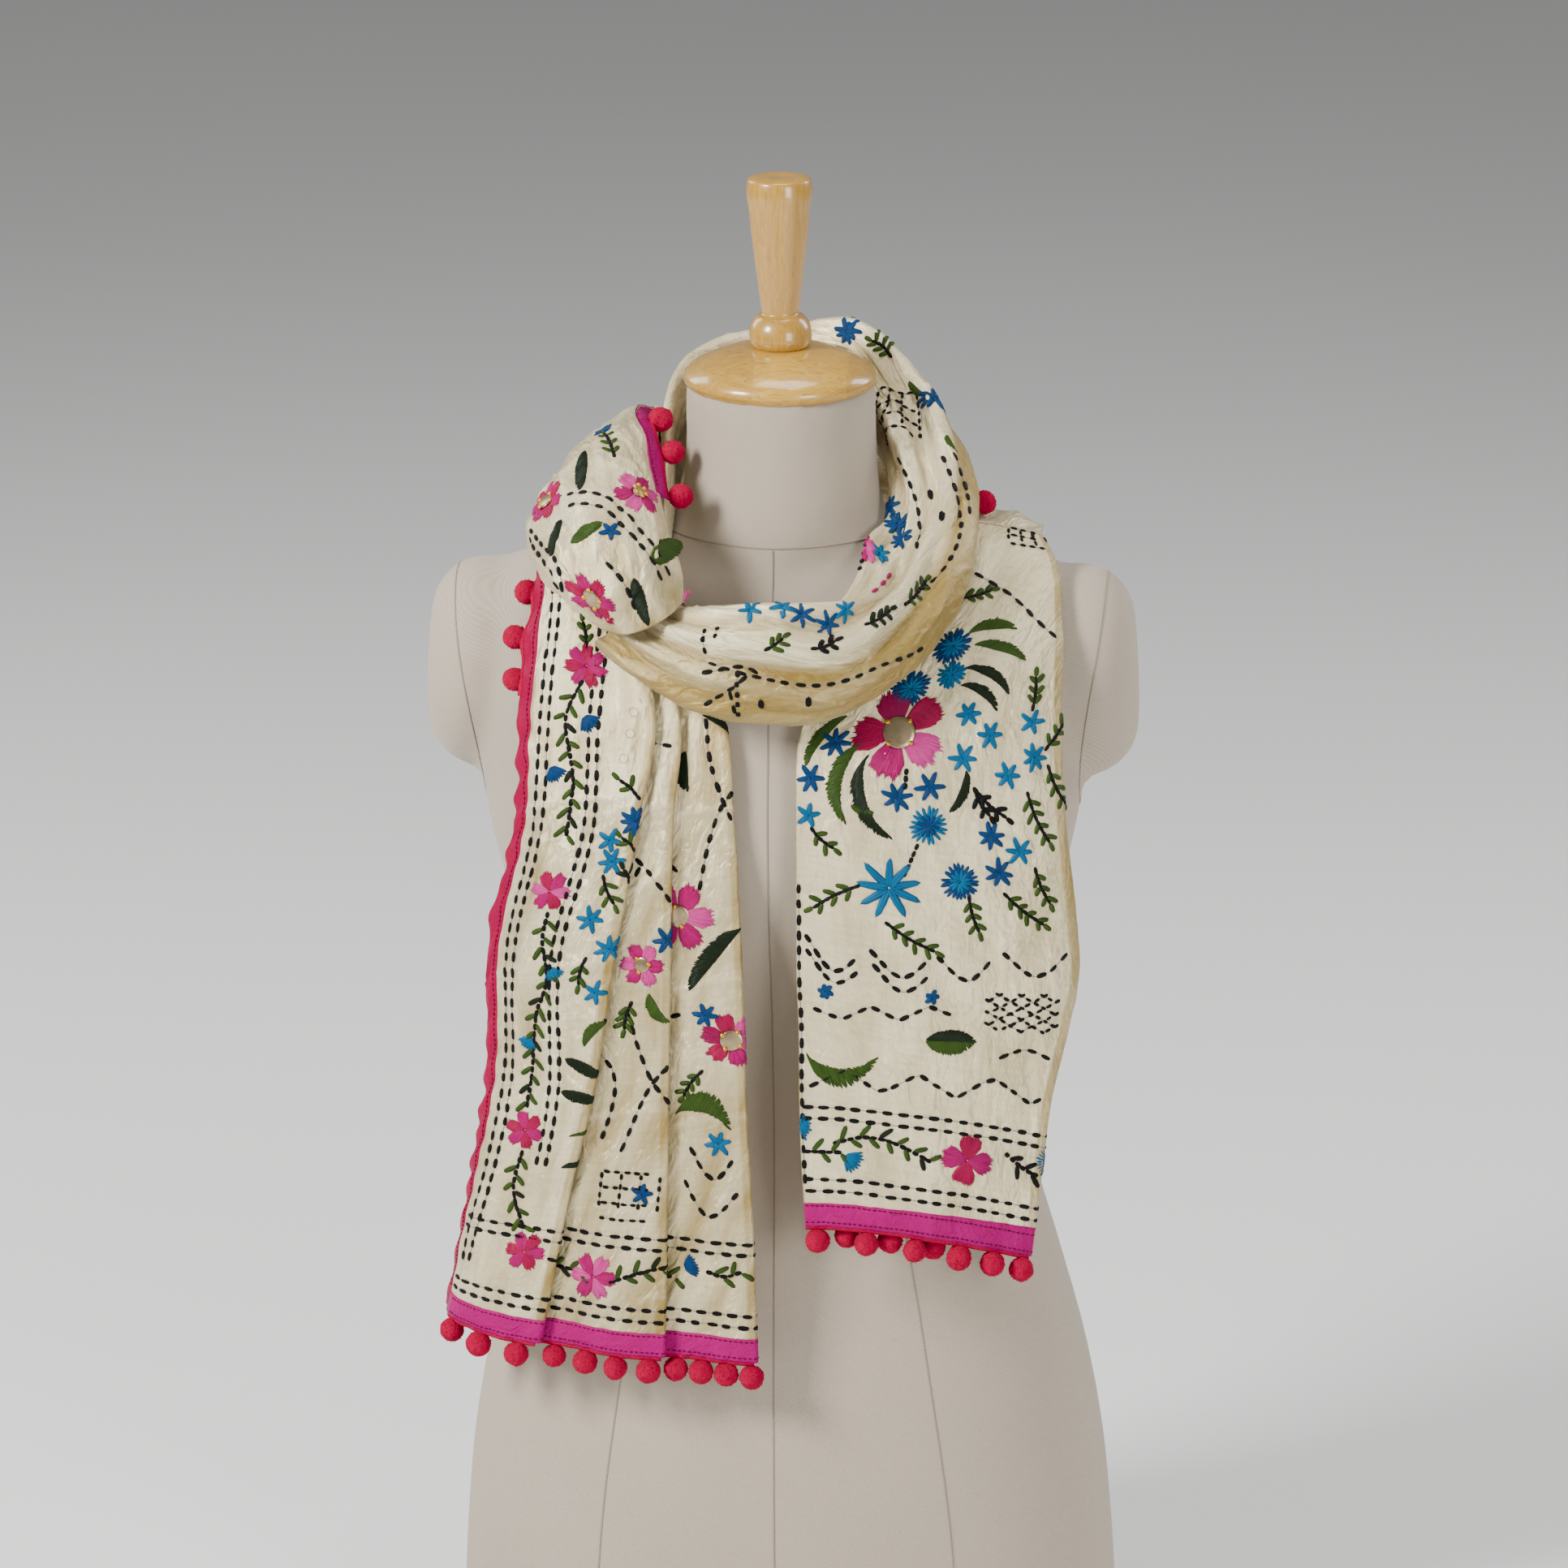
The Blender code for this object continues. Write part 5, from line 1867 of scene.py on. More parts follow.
@dataclass
class DressForm:
    """The limbless form: a padded torso with arm plates, covered in linen."""

    rings: tuple[BodyRing, ...] = rows_of(BodyRing, (
        (0, 195, 112, 108, 2.3), (50, 194, 113, 110, 2.3), (100, 191, 113, 112, 2.3),
        (150, 186, 112, 110, 2.3), (205, 176, 107, 101, 2.3), (265, 160, 98, 90, 2.3),
        (320, 145, 91, 79, 2.3), (380, 138, 89, 73, 2.3), (435, 143, 96, 77, 2.3), (490, 161, 110, 85, 2.3),
        (540, 172, 118, 91, 2.3), (590, 176, 110, 96, 2.3), (630, 181, 94, 92, 2.2),
        (655, 182, 80, 82, 2.0), (672, 172, 71, 72, 1.8), (684, 148, 65, 64, 1.5), (692, 112, 63, 59, 1.35),
        (698, 80, 64, 57, 1.6), (706, 63, 64, 55, 1.9), (722, 57, 62, 54, 2.0), (752, 54.5, 57, 54, 2.0),
        (784, 54, 54, 54, 2.0),
    ))
    sides: int = 120
    levels: int = 150
    plate_x: float = 150.0
    plate_length: float = 54.0
    plate_height: float = 616.0
    plate_half: tuple[float, float] = (50.0, 62.0)
    plate_round: float = 31.0
    plate_lean: float = math.radians(2.5)
    voxel: float = 4.9
    neck_seam: float = 703.0
    plate_seam: tuple[float, float] = (171.5, 187.0)
    middle_seam: tuple[float, float] = (702.0, 3.0)
    side_seam: tuple[tuple[float, float], ...] = (
        (0, 109), (130, 101), (250, 84), (380, 64), (520, 78), (640, 92), (684, 95))
    side_seam_start: int = 10
    seam_radius: float = 0.55
    seam_sides: int = 6
    plate_sides: int = 64
    plate_rings: int = 12
    smoothing: tuple[float, int] = (0.5, 5)
    flat_below: float = 2.5
    cloth_round: float = 0.15
    steps_round: int = 121
    steps_up: int = 160

    def torso(self) -> tuple[np.ndarray, np.ndarray]:
        """Rings of points up the torso and the neck, then the middle of each end.

        Returns:
            Its points and its four-cornered faces, but for the two ends.
        """
        heights = np.linspace(self.rings[0].height, self.rings[-1].height, self.levels)
        sizes = hermite([ring.height for ring in self.rings], [ring[1:] for ring in self.rings], heights)
        turns = turns_round(self.sides)
        across, along = np.cos(turns), np.sin(turns)
        points = []
        for height, (half, front, back, square) in zip(heights, sizes):
            power = 2 / square
            x = half * np.sign(across) * np.abs(across) ** power
            y = np.where(along < 0, front, back) * np.sign(along) * np.abs(along) ** power
            points.append(np.stack([x, y, np.full(self.sides, height)], 1))
        ends = np.array([(0, 0, heights[0]), (0, 0, heights[-1])], float)
        return np.vstack([*points, ends]), grid_faces(self.levels, self.sides, closed=True)

    def plate(self, side: int) -> tuple[np.ndarray, np.ndarray]:
        """The rounded arm plate of one side, as rings out along x, then the middle of each end.

        Args:
            side: -1 for the viewer's left, 1 for the right.

        Returns:
            Its points and its four-cornered faces, but for the two ends.
        """
        tilts = np.linspace(0, math.pi / 2, self.plate_rings)
        reach = np.concatenate([[0.0], self.plate_length - self.plate_round * (1 - np.sin(tilts))])
        inset = np.concatenate([[0.0], self.plate_round * (1 - np.cos(tilts))])
        turns = turns_round(self.plate_sides)
        points = []
        for out, less in zip(reach, inset):
            points.append(np.stack([0 * turns + out, (self.plate_half[0] - less) * np.cos(turns),
                                    (self.plate_half[1] - less) * np.sin(turns)], 1))
        points = np.vstack([*points, [[0, 0, 0], [reach[-1] + 1.0, 0, 0]]])
        lean = -self.plate_lean
        x = points[:, 0] * math.cos(lean) + points[:, 2] * math.sin(lean)
        z = points[:, 2] * math.cos(lean) - points[:, 0] * math.sin(lean)
        placed = np.stack([side * (x + self.plate_x), points[:, 1], z + self.plate_height], 1)
        return placed, grid_faces(len(reach), self.plate_sides, closed=True)

    def padded_mesh(self) -> bpy.types.Mesh:
        """Torso and plates run together into one smooth skin, flat underneath.

        Returns:
            The skin.
        """
        bm = bmesh.new()
        blocks = [(self.torso(), self.sides)] + [(self.plate(side), self.plate_sides) for side in (-1, 1)]
        for (points, faces), width in blocks:
            verts = [bm.verts.new(point) for point in to_frame(points)]
            for face in faces:
                bm.faces.new([verts[i] for i in face])
            for middle, ring in ((verts[-2], verts[:width]), (verts[-1], verts[-2 - width:-2])):
                for first, second in zip(ring, ring[1:] + ring[:1]):
                    bm.faces.new((middle, first, second))
        bmesh.ops.recalc_face_normals(bm, faces=bm.faces)
        raw = bpy.data.meshes.new("dress_form_raw")
        bm.to_mesh(raw)
        bm.free()
        blank = linked("dress_form_raw", raw)
        remesh = blank.modifiers.new("Skin", "REMESH")
        remesh.mode, remesh.voxel_size = "VOXEL", self.voxel * MM
        smooth = blank.modifiers.new("Padding", "SMOOTH")
        smooth.factor, smooth.iterations = self.smoothing
        skin = bpy.data.meshes.new_from_object(blank.evaluated_get(bpy.context.evaluated_depsgraph_get()))
        bpy.data.objects.remove(blank)
        return skin

    def build(self) -> list[bpy.types.Object]:
        """Make the form and the seams sewn over it.

        Returns:
            The form and its seams.
        """
        skin = self.padded_mesh()
        count = len(skin.vertices)
        points = np.empty(count * 3)
        skin.vertices.foreach_get("co", points)
        points = points.reshape(-1, 3)
        points[points[:, 2] < self.flat_below * MM, 2] = 0.0
        skin.vertices.foreach_set("co", points.reshape(-1))
        corners = np.empty(len(skin.loops), int)
        skin.loops.foreach_get("vertex_index", corners)
        places = points[corners]
        turn = np.arctan2(places[:, 0], -(places[:, 1] - FORM_SETBACK * MM))
        layer = skin.uv_layers.new(name="Cloth")
        cloth = np.stack([turn * self.cloth_round, places[:, 2]], 1)
        layer.data.foreach_set("uv", cloth.astype(np.float32).reshape(-1))
        skin.shade_smooth()
        skin.materials.append(LINEN.material())
        skin.name = "linen_form"
        form = linked("linen_form", skin)
        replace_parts(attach(form, "root"), "dress_form")
        bm = bmesh.new()
        bm.from_mesh(skin)
        self.surface = BVHTree.FromBMesh(bm)
        bm.free()
        seams = self.seams()
        return [form, seams]

    def touch(self, origin: Sequence[float], aim: Sequence[float]) -> np.ndarray | None:
        """Where a line from outside meets the form, in form millimetres.

        Args:
            origin: where the line starts.
            aim: the way it goes.

        Returns:
            The place, or none where the line misses.
        """
        hit = self.surface.ray_cast(Vector(to_frame(np.array(origin))), Vector(aim).normalized())[0]
        return None if hit is None else np.array(hit) / MM - (0.0, FORM_SETBACK, 0.0)

    def seams(self) -> bpy.types.Object:
        """The welts at the neck, the arm plates, down the middle and down the sides.

        Returns:
            All the welts as one piece.
        """
        lines = []
        around = np.linspace(0, 2 * math.pi, self.steps_round)
        lines.append([self.touch((200 * math.cos(a), 200 * math.sin(a), self.neck_seam),
                                 (-math.cos(a), -math.sin(a), 0)) for a in around])
        for face in (-1, 1):
            heights = np.linspace(*self.middle_seam, self.steps_up)
            lines.append([self.touch((0, face * 300, z), (0, -face, 0)) for z in heights])
            for side in (-1, 1):
                places = hermite(*zip(*self.side_seam), heights[self.side_seam_start:])
                lines.append([self.touch((side * x[0], face * 300, z), (0, -face, 0))
                              for x, z in zip(places, heights[self.side_seam_start:])])
        low, high = self.plate_seam
        for side in (-1, 1):
            ring = []
            for a in around:
                out = np.array([0, math.cos(a), math.sin(a)])
                x = low + (high - low) * (0.5 + 0.5 * math.sin(a))
                ring.append(self.touch(np.array([side * x, 0, self.plate_height]) + out * 160, -out))
            lines.append(ring)
        points, faces, base = [], [], 0
        for line in lines:
            route = np.array([point for point in line if point is not None])
            tube, quads = tube_round(route, self.seam_radius, self.seam_sides)
            points.append(tube)
            faces.append(quads + base)
            base += len(tube)
        return make_object("form_seams", np.concatenate(points), [np.concatenate(faces)], [SEAM_LINEN],
                           np.concatenate(points)[:, [0, 2]] * MM)


def tube_round(route: np.ndarray, radius: float, sides: int) -> tuple[np.ndarray, np.ndarray]:
    """A thin tube along a line.

    Args:
        route: the points of its middle.
        radius: of the tube.
        sides: how many sides it has.

    Returns:
        Its points and its four-cornered faces.
    """
    heading = unit(np.gradient(route, axis=0))
    side = unit(np.cross(heading, (0.31, 0.22, 0.93)))
    other = np.cross(heading, side)
    turns = turns_round(sides)
    points = (route[:, None] + side[:, None] * (radius * np.cos(turns))[None, :, None]
              + other[:, None] * (radius * np.sin(turns))[None, :, None])
    return points.reshape(-1, 3), grid_faces(len(route), sides, closed=True)


class ProfilePoint(NamedTuple):
    """A point of a turned piece's outline."""

    radius: float
    height: float


@dataclass
class TurnedPiece:
    """A piece turned on a lathe, from its outline top to bottom."""

    name: str
    node: str
    finish: Finish
    outline: tuple[ProfilePoint, ...]
    sides: int = 96
    points_between: int = 5

    def build(self) -> bpy.types.Object:
        """Spin the outline, run smoothly through its points, and close both ends.

        Returns:
            The piece.
        """
        knots = np.array(self.outline, float)
        marks = lengths_along(knots)
        wanted = np.unique(np.concatenate([np.linspace(a, b, self.points_between)
                                           for a, b in zip(marks, marks[1:])]))
        line = hermite(marks, knots, wanted)
        line[:, 0] = np.maximum(line[:, 0], 0)
        turns = turns_round(self.sides)
        rings = np.stack([np.outer(line[:, 0], np.cos(turns)), np.outer(line[:, 0], np.sin(turns)),
                          np.repeat(line[:, 1:], self.sides, axis=1)], axis=-1)
        faces = grid_faces(len(line), self.sides, closed=True)[:, ::-1]
        made = make_object(self.name, rings.reshape(-1, 3), [faces], [self.finish])
        bm = bmesh.new()
        bm.from_mesh(made.data)
        bmesh.ops.remove_doubles(bm, verts=bm.verts, dist=0.00001)
        bmesh.ops.dissolve_degenerate(bm, edges=bm.edges, dist=0.00001)
        bmesh.ops.recalc_face_normals(bm, faces=bm.faces)
        for face in bm.faces:
            face.smooth = True
        bm.to_mesh(made.data)
        bm.free()
        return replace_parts(made, self.node)


def neck_cap() -> TurnedPiece:
    """The flattened cap on the neck.

    Returns:
        The piece, ready to turn.
    """
    return TurnedPiece("wooden_cap", "neck_cap", CAP_WOOD, rows_of(ProfilePoint, (
        (0, 805.5), (17, 805.5), (30, 803.5), (42, 799.5), (51, 794.8), (55, 790.5), (55.6, 787.8),
        (54.2, 784.6), (0, 784.6))))


def cap_handle() -> TurnedPiece:
    """The tapered handle with its round collar.

    Returns:
        The piece, ready to turn.
    """
    return TurnedPiece("wooden_handle", "cap_handle", HANDLE_WOOD, rows_of(ProfilePoint, (
        (0, 904), (15.6, 903.8), (17.6, 903.0), (18.3, 901.0), (17.4, 884), (14.4, 855), (11.2, 829),
        (10.8, 825.2), (13.4, 823.6), (16.4, 819.5), (17.9, 813), (17.4, 808.6), (16, 806), (0, 806))))


class DrapeRing(NamedTuple):
    """A level of the surface that the tails lie on."""

    height: float
    front: float
    half_width: float
    squareness: float


@dataclass(frozen=True)
class Drape:
    """Where the tails lie: over the shoulder, down the chest, then straight down."""

    rings: tuple[DrapeRing, ...] = rows_of(DrapeRing, (
        (0, 126, 206, 2.4), (300, 126, 206, 2.4), (480, 125, 204, 2.4), (540, 123, 202, 2.4),
        (590, 115, 200, 2.3), (630, 99, 198, 2.1), (655, 86, 194, 1.9), (672, 77, 186, 1.7),
        (684, 68, 176, 1.5), (692, 58, 170, 1.4), (699, 42, 166, 1.3), (704, 22, 162, 1.25),
    ))

    def line(self, x: np.ndarray, height: float) -> tuple[np.ndarray, np.ndarray]:
        """Where cloth lies at this height, and which way is out, in plan.

        Args:
            x: places across the form.
            height: the level.

        Returns:
            The x and y of each place and the x and y of its way out.
        """
        front, half, power = hermite([ring.height for ring in self.rings],
                                     [ring[1:] for ring in self.rings], [height])[0]
        share = np.clip(np.abs(x) / half, 0, 0.985)
        depth = front * (1 - share**power) ** (1 / power)
        slope = -front / half * np.sign(x) * share ** (power - 1) * (1 - share**power) ** (1 / power - 1)
        steep = np.hypot(slope, 1)
        return np.stack([x, -depth], -1), np.stack([-slope / steep, -1 / steep], -1)

    def heights(self, low: float, high: float, count: int) -> np.ndarray:
        """Heights from high to low, evenly spaced over the drape's own slope.

        Args:
            low: the last height.
            high: the first one.
            count: how many to give.

        Returns:
            The heights.
        """
        fine = np.linspace(high, low, 900)
        fronts = hermite([ring.height for ring in self.rings], [ring.front for ring in self.rings], fine)
        marks = lengths_along(np.column_stack([fine, fronts]))
        return np.interp(np.linspace(0, marks[-1], count), marks, fine)


DRAPE = Drape()


class Ridges(NamedTuple):
    """Soft upright ridges: height, width, lean, where they start and over what they grow."""

    height: float
    width: float
    lean: float
    start: float
    growth: float

    def stand(self, places: np.ndarray, level: float) -> np.ndarray:
        """How far they stand out at places across a level of the form."""
        grown = np.clip((self.start - level) / self.growth, 0, 1)
        return self.height * np.sin(places / self.width + level / self.lean) * grown


@dataclass
class Tail(ABC):
    """An end of the stole, folded lengthwise and laid down the front of the form."""

    name: ClassVar[str]
    ridges: ClassVar[Ridges]
    layer_pitch: float = 3.4
    clearance: float = 3.0
    shoulder_top: float = 704.0
    shoulder_round: float = 40.0
    fold_columns: int = 7
    hem_band: float = 14.0
    rows_down: int = 242
    band_rows: int = 9

    @abstractmethod
    def plan(self, row: NamedTuple) -> tuple[np.ndarray, np.ndarray]:
        """Places across the form and how far each stands off for the layers under it."""

    def folded(self, stops: Sequence[float], counts: Sequence[int]) -> tuple[np.ndarray, np.ndarray]:
        """A folded line in plan, one layer deeper with each run.

        Args:
            stops: where each run starts and the last one ends.
            counts: how many columns each run has.

        Returns:
            The place across and the depth under the outermost layer of each column.
        """
        places, depths = [], []
        turn = self.layer_pitch / 2
        for layer, (start, end, count) in enumerate(zip(stops, stops[1:], counts)):
            heading = 1 if end > start else -1
            first = start + (heading * turn if layer else 0)
            last = end - (heading * turn if layer < len(counts) - 1 else 0)
            places.extend(np.linspace(first, last, count))
            depths.extend([layer * self.layer_pitch] * count)
            if layer < len(counts) - 1:
                for step in range(1, self.fold_columns):
                    angle = math.pi * step / self.fold_columns
                    places.append(last + heading * turn * math.sin(angle))
                    depths.append(layer * self.layer_pitch + turn * (1 - math.cos(angle)))
        return np.array(places), np.array(depths)

    def laid(self, row: NamedTuple, drop_power: float) -> np.ndarray:
        """One row of the tail laid on the form.

        Args:
            row: the level from the tail's table.
            drop_power: how suddenly the row drops to its far side.

        Returns:
            The row's points.
        """
        places, cover = self.plan(row)
        share = (places - places.min()) / (places.max() - places.min())
        upright = np.clip((self.shoulder_top - row.height) / self.shoulder_round, 0, 1)
        base, out = DRAPE.line(places, row.height)
        ridged = self.ridges.stand(places, row.height)
        lift = self.clearance + cover * math.sin(upright * math.pi / 2) + ridged
        rise = cover * math.cos(upright * math.pi / 2)
        height = row.height + rise - row.drop * share**drop_power
        return np.column_stack([base + out * lift[:, None], height])

    def grid(self, table: Sequence[NamedTuple], drop_power: float) -> np.ndarray:
        """The whole tail, from the shoulder to its hem.

        Args:
            table: the tail's levels.
            drop_power: as laid takes it.

        Returns:
            Rows of points.
        """
        top, hem = table[0].height, table[-1].height
        heights = np.concatenate([DRAPE.heights(hem + self.hem_band, top, self.rows_down),
                                  np.linspace(hem + self.hem_band, hem, self.band_rows)[1:]])
        read = hermite([-row.height for row in table], [row[1:] for row in table], -heights)
        kind = type(table[0])
        return np.stack([self.laid(kind(height, *values), drop_power)
                         for height, values in zip(heights, read)])


class LeftRow(NamedTuple):
    """A level of the left tail: side edge, two fold lines, right fold, tuck and drop."""

    height: float
    side: float
    fold_one: float
    fold_two: float
    right: float
    tuck: float
    drop: float


@dataclass
class LeftTail(Tail):
    """The end at the viewer's left, folded like an accordion with three panels showing."""

    name: ClassVar[str] = "left_tail"
    ridges: ClassVar[Ridges] = Ridges(1.6, 11, 90, 680, 250)
    table: tuple[LeftRow, ...] = rows_of(LeftRow, (
        (704, -128, -90, -83, -76, 26, 0), (690, -130, -85, -77, -70, 28, 0),
        (672, -133, -75, -68, -61, 32, 0), (656, -135, -68, -58, -47, 36, 0),
        (620, -138, -60, -48, -26, 40, 0), (560, -139, -69, -51, -18, 40, 1),
        (480, -156, -83, -53, -14, 40, 3), (400, -158, -95, -55, -12, 40, 5),
        (330, -169, -111, -57, -9, 40, 7), (247, -187, -127, -59, -7, 40, 9),
    ))
    side_border: float = 11.0
    border_columns: int = 7
    panel: int = 44
    tuck: int = 8
    settled_cover: float = 8.0
    cover: float = 17.0
    press_folds: tuple[Pixel, ...] = (Pixel(700, 985), Pixel(690, 1190), Pixel(680, 1355))
    creases: Creases = Creases(11, 460, (8, 36), (1.1, 2.6), (0.5, 1.5), 4.0, 28.0, 1.0, (11.0, 45.0))
    # each panel's share of gold: shot silk, and painted shade on the shaded panels
    panel_gold_and_shade: tuple[float, float, float] = (0.22, 0.46, 0.44)
    # fold edges golden as painted shade
    fold_painted_shade: float = 0.75
    hidden_freedom: float = 0.12
    fold_freedom: float = 0.6
    press_height: float = 1.1
    press_width: float = 1.6
    ruffle_height: float = 1.4
    sway_reach: float = 1.7

    def plan(self, row: LeftRow) -> tuple[np.ndarray, np.ndarray]:
        """The folds; the free side edge settles onto the form past the layers.

        Args:
            row: the level.

        Returns:
            Places across the form, and how far each stands off.
        """
        stops = [row.side, row.fold_one, row.fold_one - row.tuck, row.fold_two,
                 row.fold_two - row.tuck, row.right, row.right - row.tuck]
        places, depths = self.folded(stops, [self.panel, self.tuck] * 3)
        free = (places - row.side) / (row.fold_one - row.tuck - 4 - row.side)
        settled = np.where(depths < self.layer_pitch / 2, np.sin(np.clip(free, 0, 1) * math.pi / 2), 1)
        stand = self.cover - depths
        return places, self.settled_cover + (stand - self.settled_cover) * settled

    @property
    def turn(self) -> int:
        """Columns from the start of one panel to the start of the next."""
        return self.panel + self.tuck + 2 * (self.fold_columns - 1)

    def edge_gathered(self, grid: np.ndarray) -> np.ndarray:
        """The grid with its first columns spread over just the width of the border.

        Args:
            grid: rows of points.

        Returns:
            A changed copy.
        """
        made = grid.copy()
        for row in made:
            run = row[: self.panel].copy()
            end = lengths_along(run)[-1]
            beyond = np.linspace(self.side_border, end, self.panel - self.border_columns + 1)[1:]
            marks = np.concatenate([np.linspace(0, self.side_border, self.border_columns), beyond])
            row[: self.panel] = read_line(run, marks)
        return made

    def sheet(self) -> tuple[Sheet, np.ndarray]:
        """The creased sheet, and how golden each of its points is, with painted shade at folds and creases.

        Returns:
            The sheet and its tones, from 0 ivory to 1 golden, partly painted shade.
        """
        sheet = Sheet(self.edge_gathered(self.grid(self.table, 1)))
        rows, columns = sheet.points.shape[:2]
        number = np.arange(columns)
        tone = np.zeros(columns)
        sheet.freedom[:] = self.hidden_freedom
        for panel in range(3):
            start = panel * self.turn
            inside = (number >= start) & (number < start + self.panel)
            sheet.freedom[:, inside] = 1.0
            tone[inside] = self.panel_gold_and_shade[panel]
            edge = np.abs(number - (start + self.panel + 2)) < 5
            sheet.freedom[:, edge] = np.minimum(sheet.freedom[:, edge] + 0.2, self.fold_freedom)
            # the fold edge turns golden as painted shade
            tone[edge] = self.fold_painted_shade
        sheet.freedom[:, : self.border_columns] = self.fold_freedom
        sheet.freedom *= smooth_step(-6, 40, sheet.down)
        relief = self.creases.relief(sheet.across, sheet.down)
        for place in self.press_folds:
            row, column = sheet.find(place)
            level = sheet.down[int(row), int(column)] + 1.2 * np.sin(sheet.across / 9)
            relief += self.press_height * np.exp(-np.abs(sheet.down - level) / self.press_width)
        ruffle = np.sin(sheet.down / 3.4 + 2.2 * np.sin(sheet.down / 31))
        relief += self.ruffle_height * ruffle * smooth_step(18, 2, sheet.across)
        sheet.raise_by(relief)
        sway = self.sway_reach * np.sin(sheet.down / 5.2 + 1.8 * np.sin(sheet.down / 27))
        sway = sway * smooth_step(15, 1, sheet.across)
        sheet.points = sheet.points + unit(np.gradient(sheet.points, axis=1)) * sway[..., None]
        noise = soft_noise(sheet.across / 19, sheet.down / 60, 77)
        # random tone, and crease valleys more golden as painted shade
        return sheet, np.clip(tone[None] + 0.4 * noise - 0.2 * relief.clip(-1.5, 1.5), 0, 1)

    def build(self) -> "Stretch":
        """Make the silk, its side binding and its hem band.

        Returns:
            The dressed stretch.
        """
        sheet, tone = self.sheet()
        band = self.rows_down - 1
        border = self.border_columns
        stretch = Stretch(self.name, sheet)
        stretch.cloth = sheet.shell("silk_left_tail", IVORY_SILK, slice(0, band + 4),
                                    slice(border - 4, None), tone)
        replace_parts(stretch.cloth, "left_tail")
        side = sheet.shell("satin_left_side", CRIMSON_SATIN, columns=slice(0, border), round_edge=True)
        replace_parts(side, "left_side_border")
        hem = sheet.shell("satin_left_hem", PINK_SATIN, slice(band, None), slice(border - 1, None))
        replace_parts(hem, "left_hem_band")
        stretch.trims += [side, hem]
        return stretch


class RightRow(NamedTuple):
    """A level of the right tail: left edge, right edge and drop."""

    height: float
    left: float
    right: float
    drop: float


@dataclass
class RightTail(Tail):
    """The end at the viewer's right, folded in three with one broad panel showing."""

    name: ClassVar[str] = "right_tail"
    ridges: ClassVar[Ridges] = Ridges(1.2, 17, 120, 660, 200)
    table: tuple[RightRow, ...] = rows_of(RightRow, (
        (704, 76, 150, 12), (692, 68, 155, 9), (664, 44, 159, 4), (620, 21, 160, 0), (560, 17, 162, 1),
        (500, 17, 168, 3), (468, 17, 170, 5), (440, 18, 165, 8), (400, 18, 156, 12), (360, 19, 151, 18),
        (322, 21, 146, 26),
    ))
    panel: int = 104
    panel_tone: float = 0.16
    # the hidden layers golden as painted shade
    hidden_painted_shade: float = 0.4
    # fold edges golden as painted shade
    fold_painted_shade: float = 0.72
    hidden_freedom: float = 0.1
    fold_freedom: float = 0.5
    inner: int = 20
    cover: float = 5.4
    rows_down: int = 250
    creases: Creases = Creases(23, 260, (9, 36), (0.9, 2.4), (0.35, 1.1), 8.0, 55.0, 0.9, (20.0, 30.0))

    def plan(self, row: RightRow) -> tuple[np.ndarray, np.ndarray]:
        """The broad panel over two folded behind it.

        Args:
            row: the level.

        Returns:
            Places across the form, and how far each stands off.
        """
        stops = [row.left, row.right, row.left + 6, row.right - 8]
        places, depths = self.folded(stops, [self.panel, self.inner, self.inner])
        return places, self.cover - depths

    def sheet(self) -> tuple[Sheet, np.ndarray]:
        """The creased sheet, and how golden each of its points is, with painted shade at folds and creases.

        Returns:
            The sheet and its tones, from 0 ivory to 1 golden, partly painted shade.
        """
        sheet = Sheet(self.grid(self.table, 2))
        number = np.arange(sheet.points.shape[1])
        sheet.freedom[:] = self.hidden_freedom
        sheet.freedom[:, : self.panel] = 1.0
        near_fold = np.abs(number - (self.panel + 2)) < 6
        sheet.freedom[:, near_fold] = self.fold_freedom
        sheet.freedom *= smooth_step(0, 45, sheet.down)
        relief = self.creases.relief(sheet.across, sheet.down)
        sheet.raise_by(relief)
        # hidden layers and fold edges golden as painted shade
        tone = np.where(number < self.panel, self.panel_tone, self.hidden_painted_shade)
        tone = np.where(near_fold | (number < 1), self.fold_painted_shade, tone)
        noise = soft_noise(sheet.across / 30, sheet.down / 50, 78)
        # random tone, and crease valleys more golden as painted shade
        return sheet, np.clip(tone[None] + 0.26 * noise - 0.12 * relief.clip(-1, 1), 0, 1)

    def build(self) -> "Stretch":
        """Make the silk and its hem band.

        Returns:
            The dressed stretch.
        """
        sheet, tone = self.sheet()
        band = self.rows_down - 1
        stretch = Stretch(self.name, sheet)
        stretch.cloth = sheet.shell("silk_right_tail", IVORY_SILK, slice(0, band + 4), tone=tone)
        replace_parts(stretch.cloth, "right_tail")
        hem = sheet.shell("satin_right_hem", PINK_SATIN, slice(band, None))
        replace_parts(hem, "right_hem_band")
        stretch.trims.append(hem)
        return stretch


@dataclass
class Stretch:
    """A dressed stretch of the stole: its sheet, its cloth and what is sewn to it."""

    name: str
    sheet: Sheet
    cloth: bpy.types.Object | None = None
    trims: list[bpy.types.Object] = field(default_factory=list)

    def embroider(self, motifs: Iterable[Motif], seed: int) -> None:
        """Sew motifs on.

        Args:
            motifs: in the order in which they are sewn.
            seed: picks how the stitches vary.
        """
        on = Embroiderer(self.sheet, seed)
        for motif in motifs:
            motif.sew(on)
        self.trims += on.finish(self.name)

    def declare(self, flat: tuple[float, float], held: str, rests_on: Sequence[str],
                area: float | None = None) -> None:
        """Log how many trims the stretch has.

        Args:
            flat: its width and length before it was folded, in metres; not used.
            held: how it keeps its shape; not used.
            rests_on: the pieces under it; not used.
            area: of the cloth, where flat is no rectangle; not used.
        """
        log.info("%s: %d trims", self.name, len(self.trims))


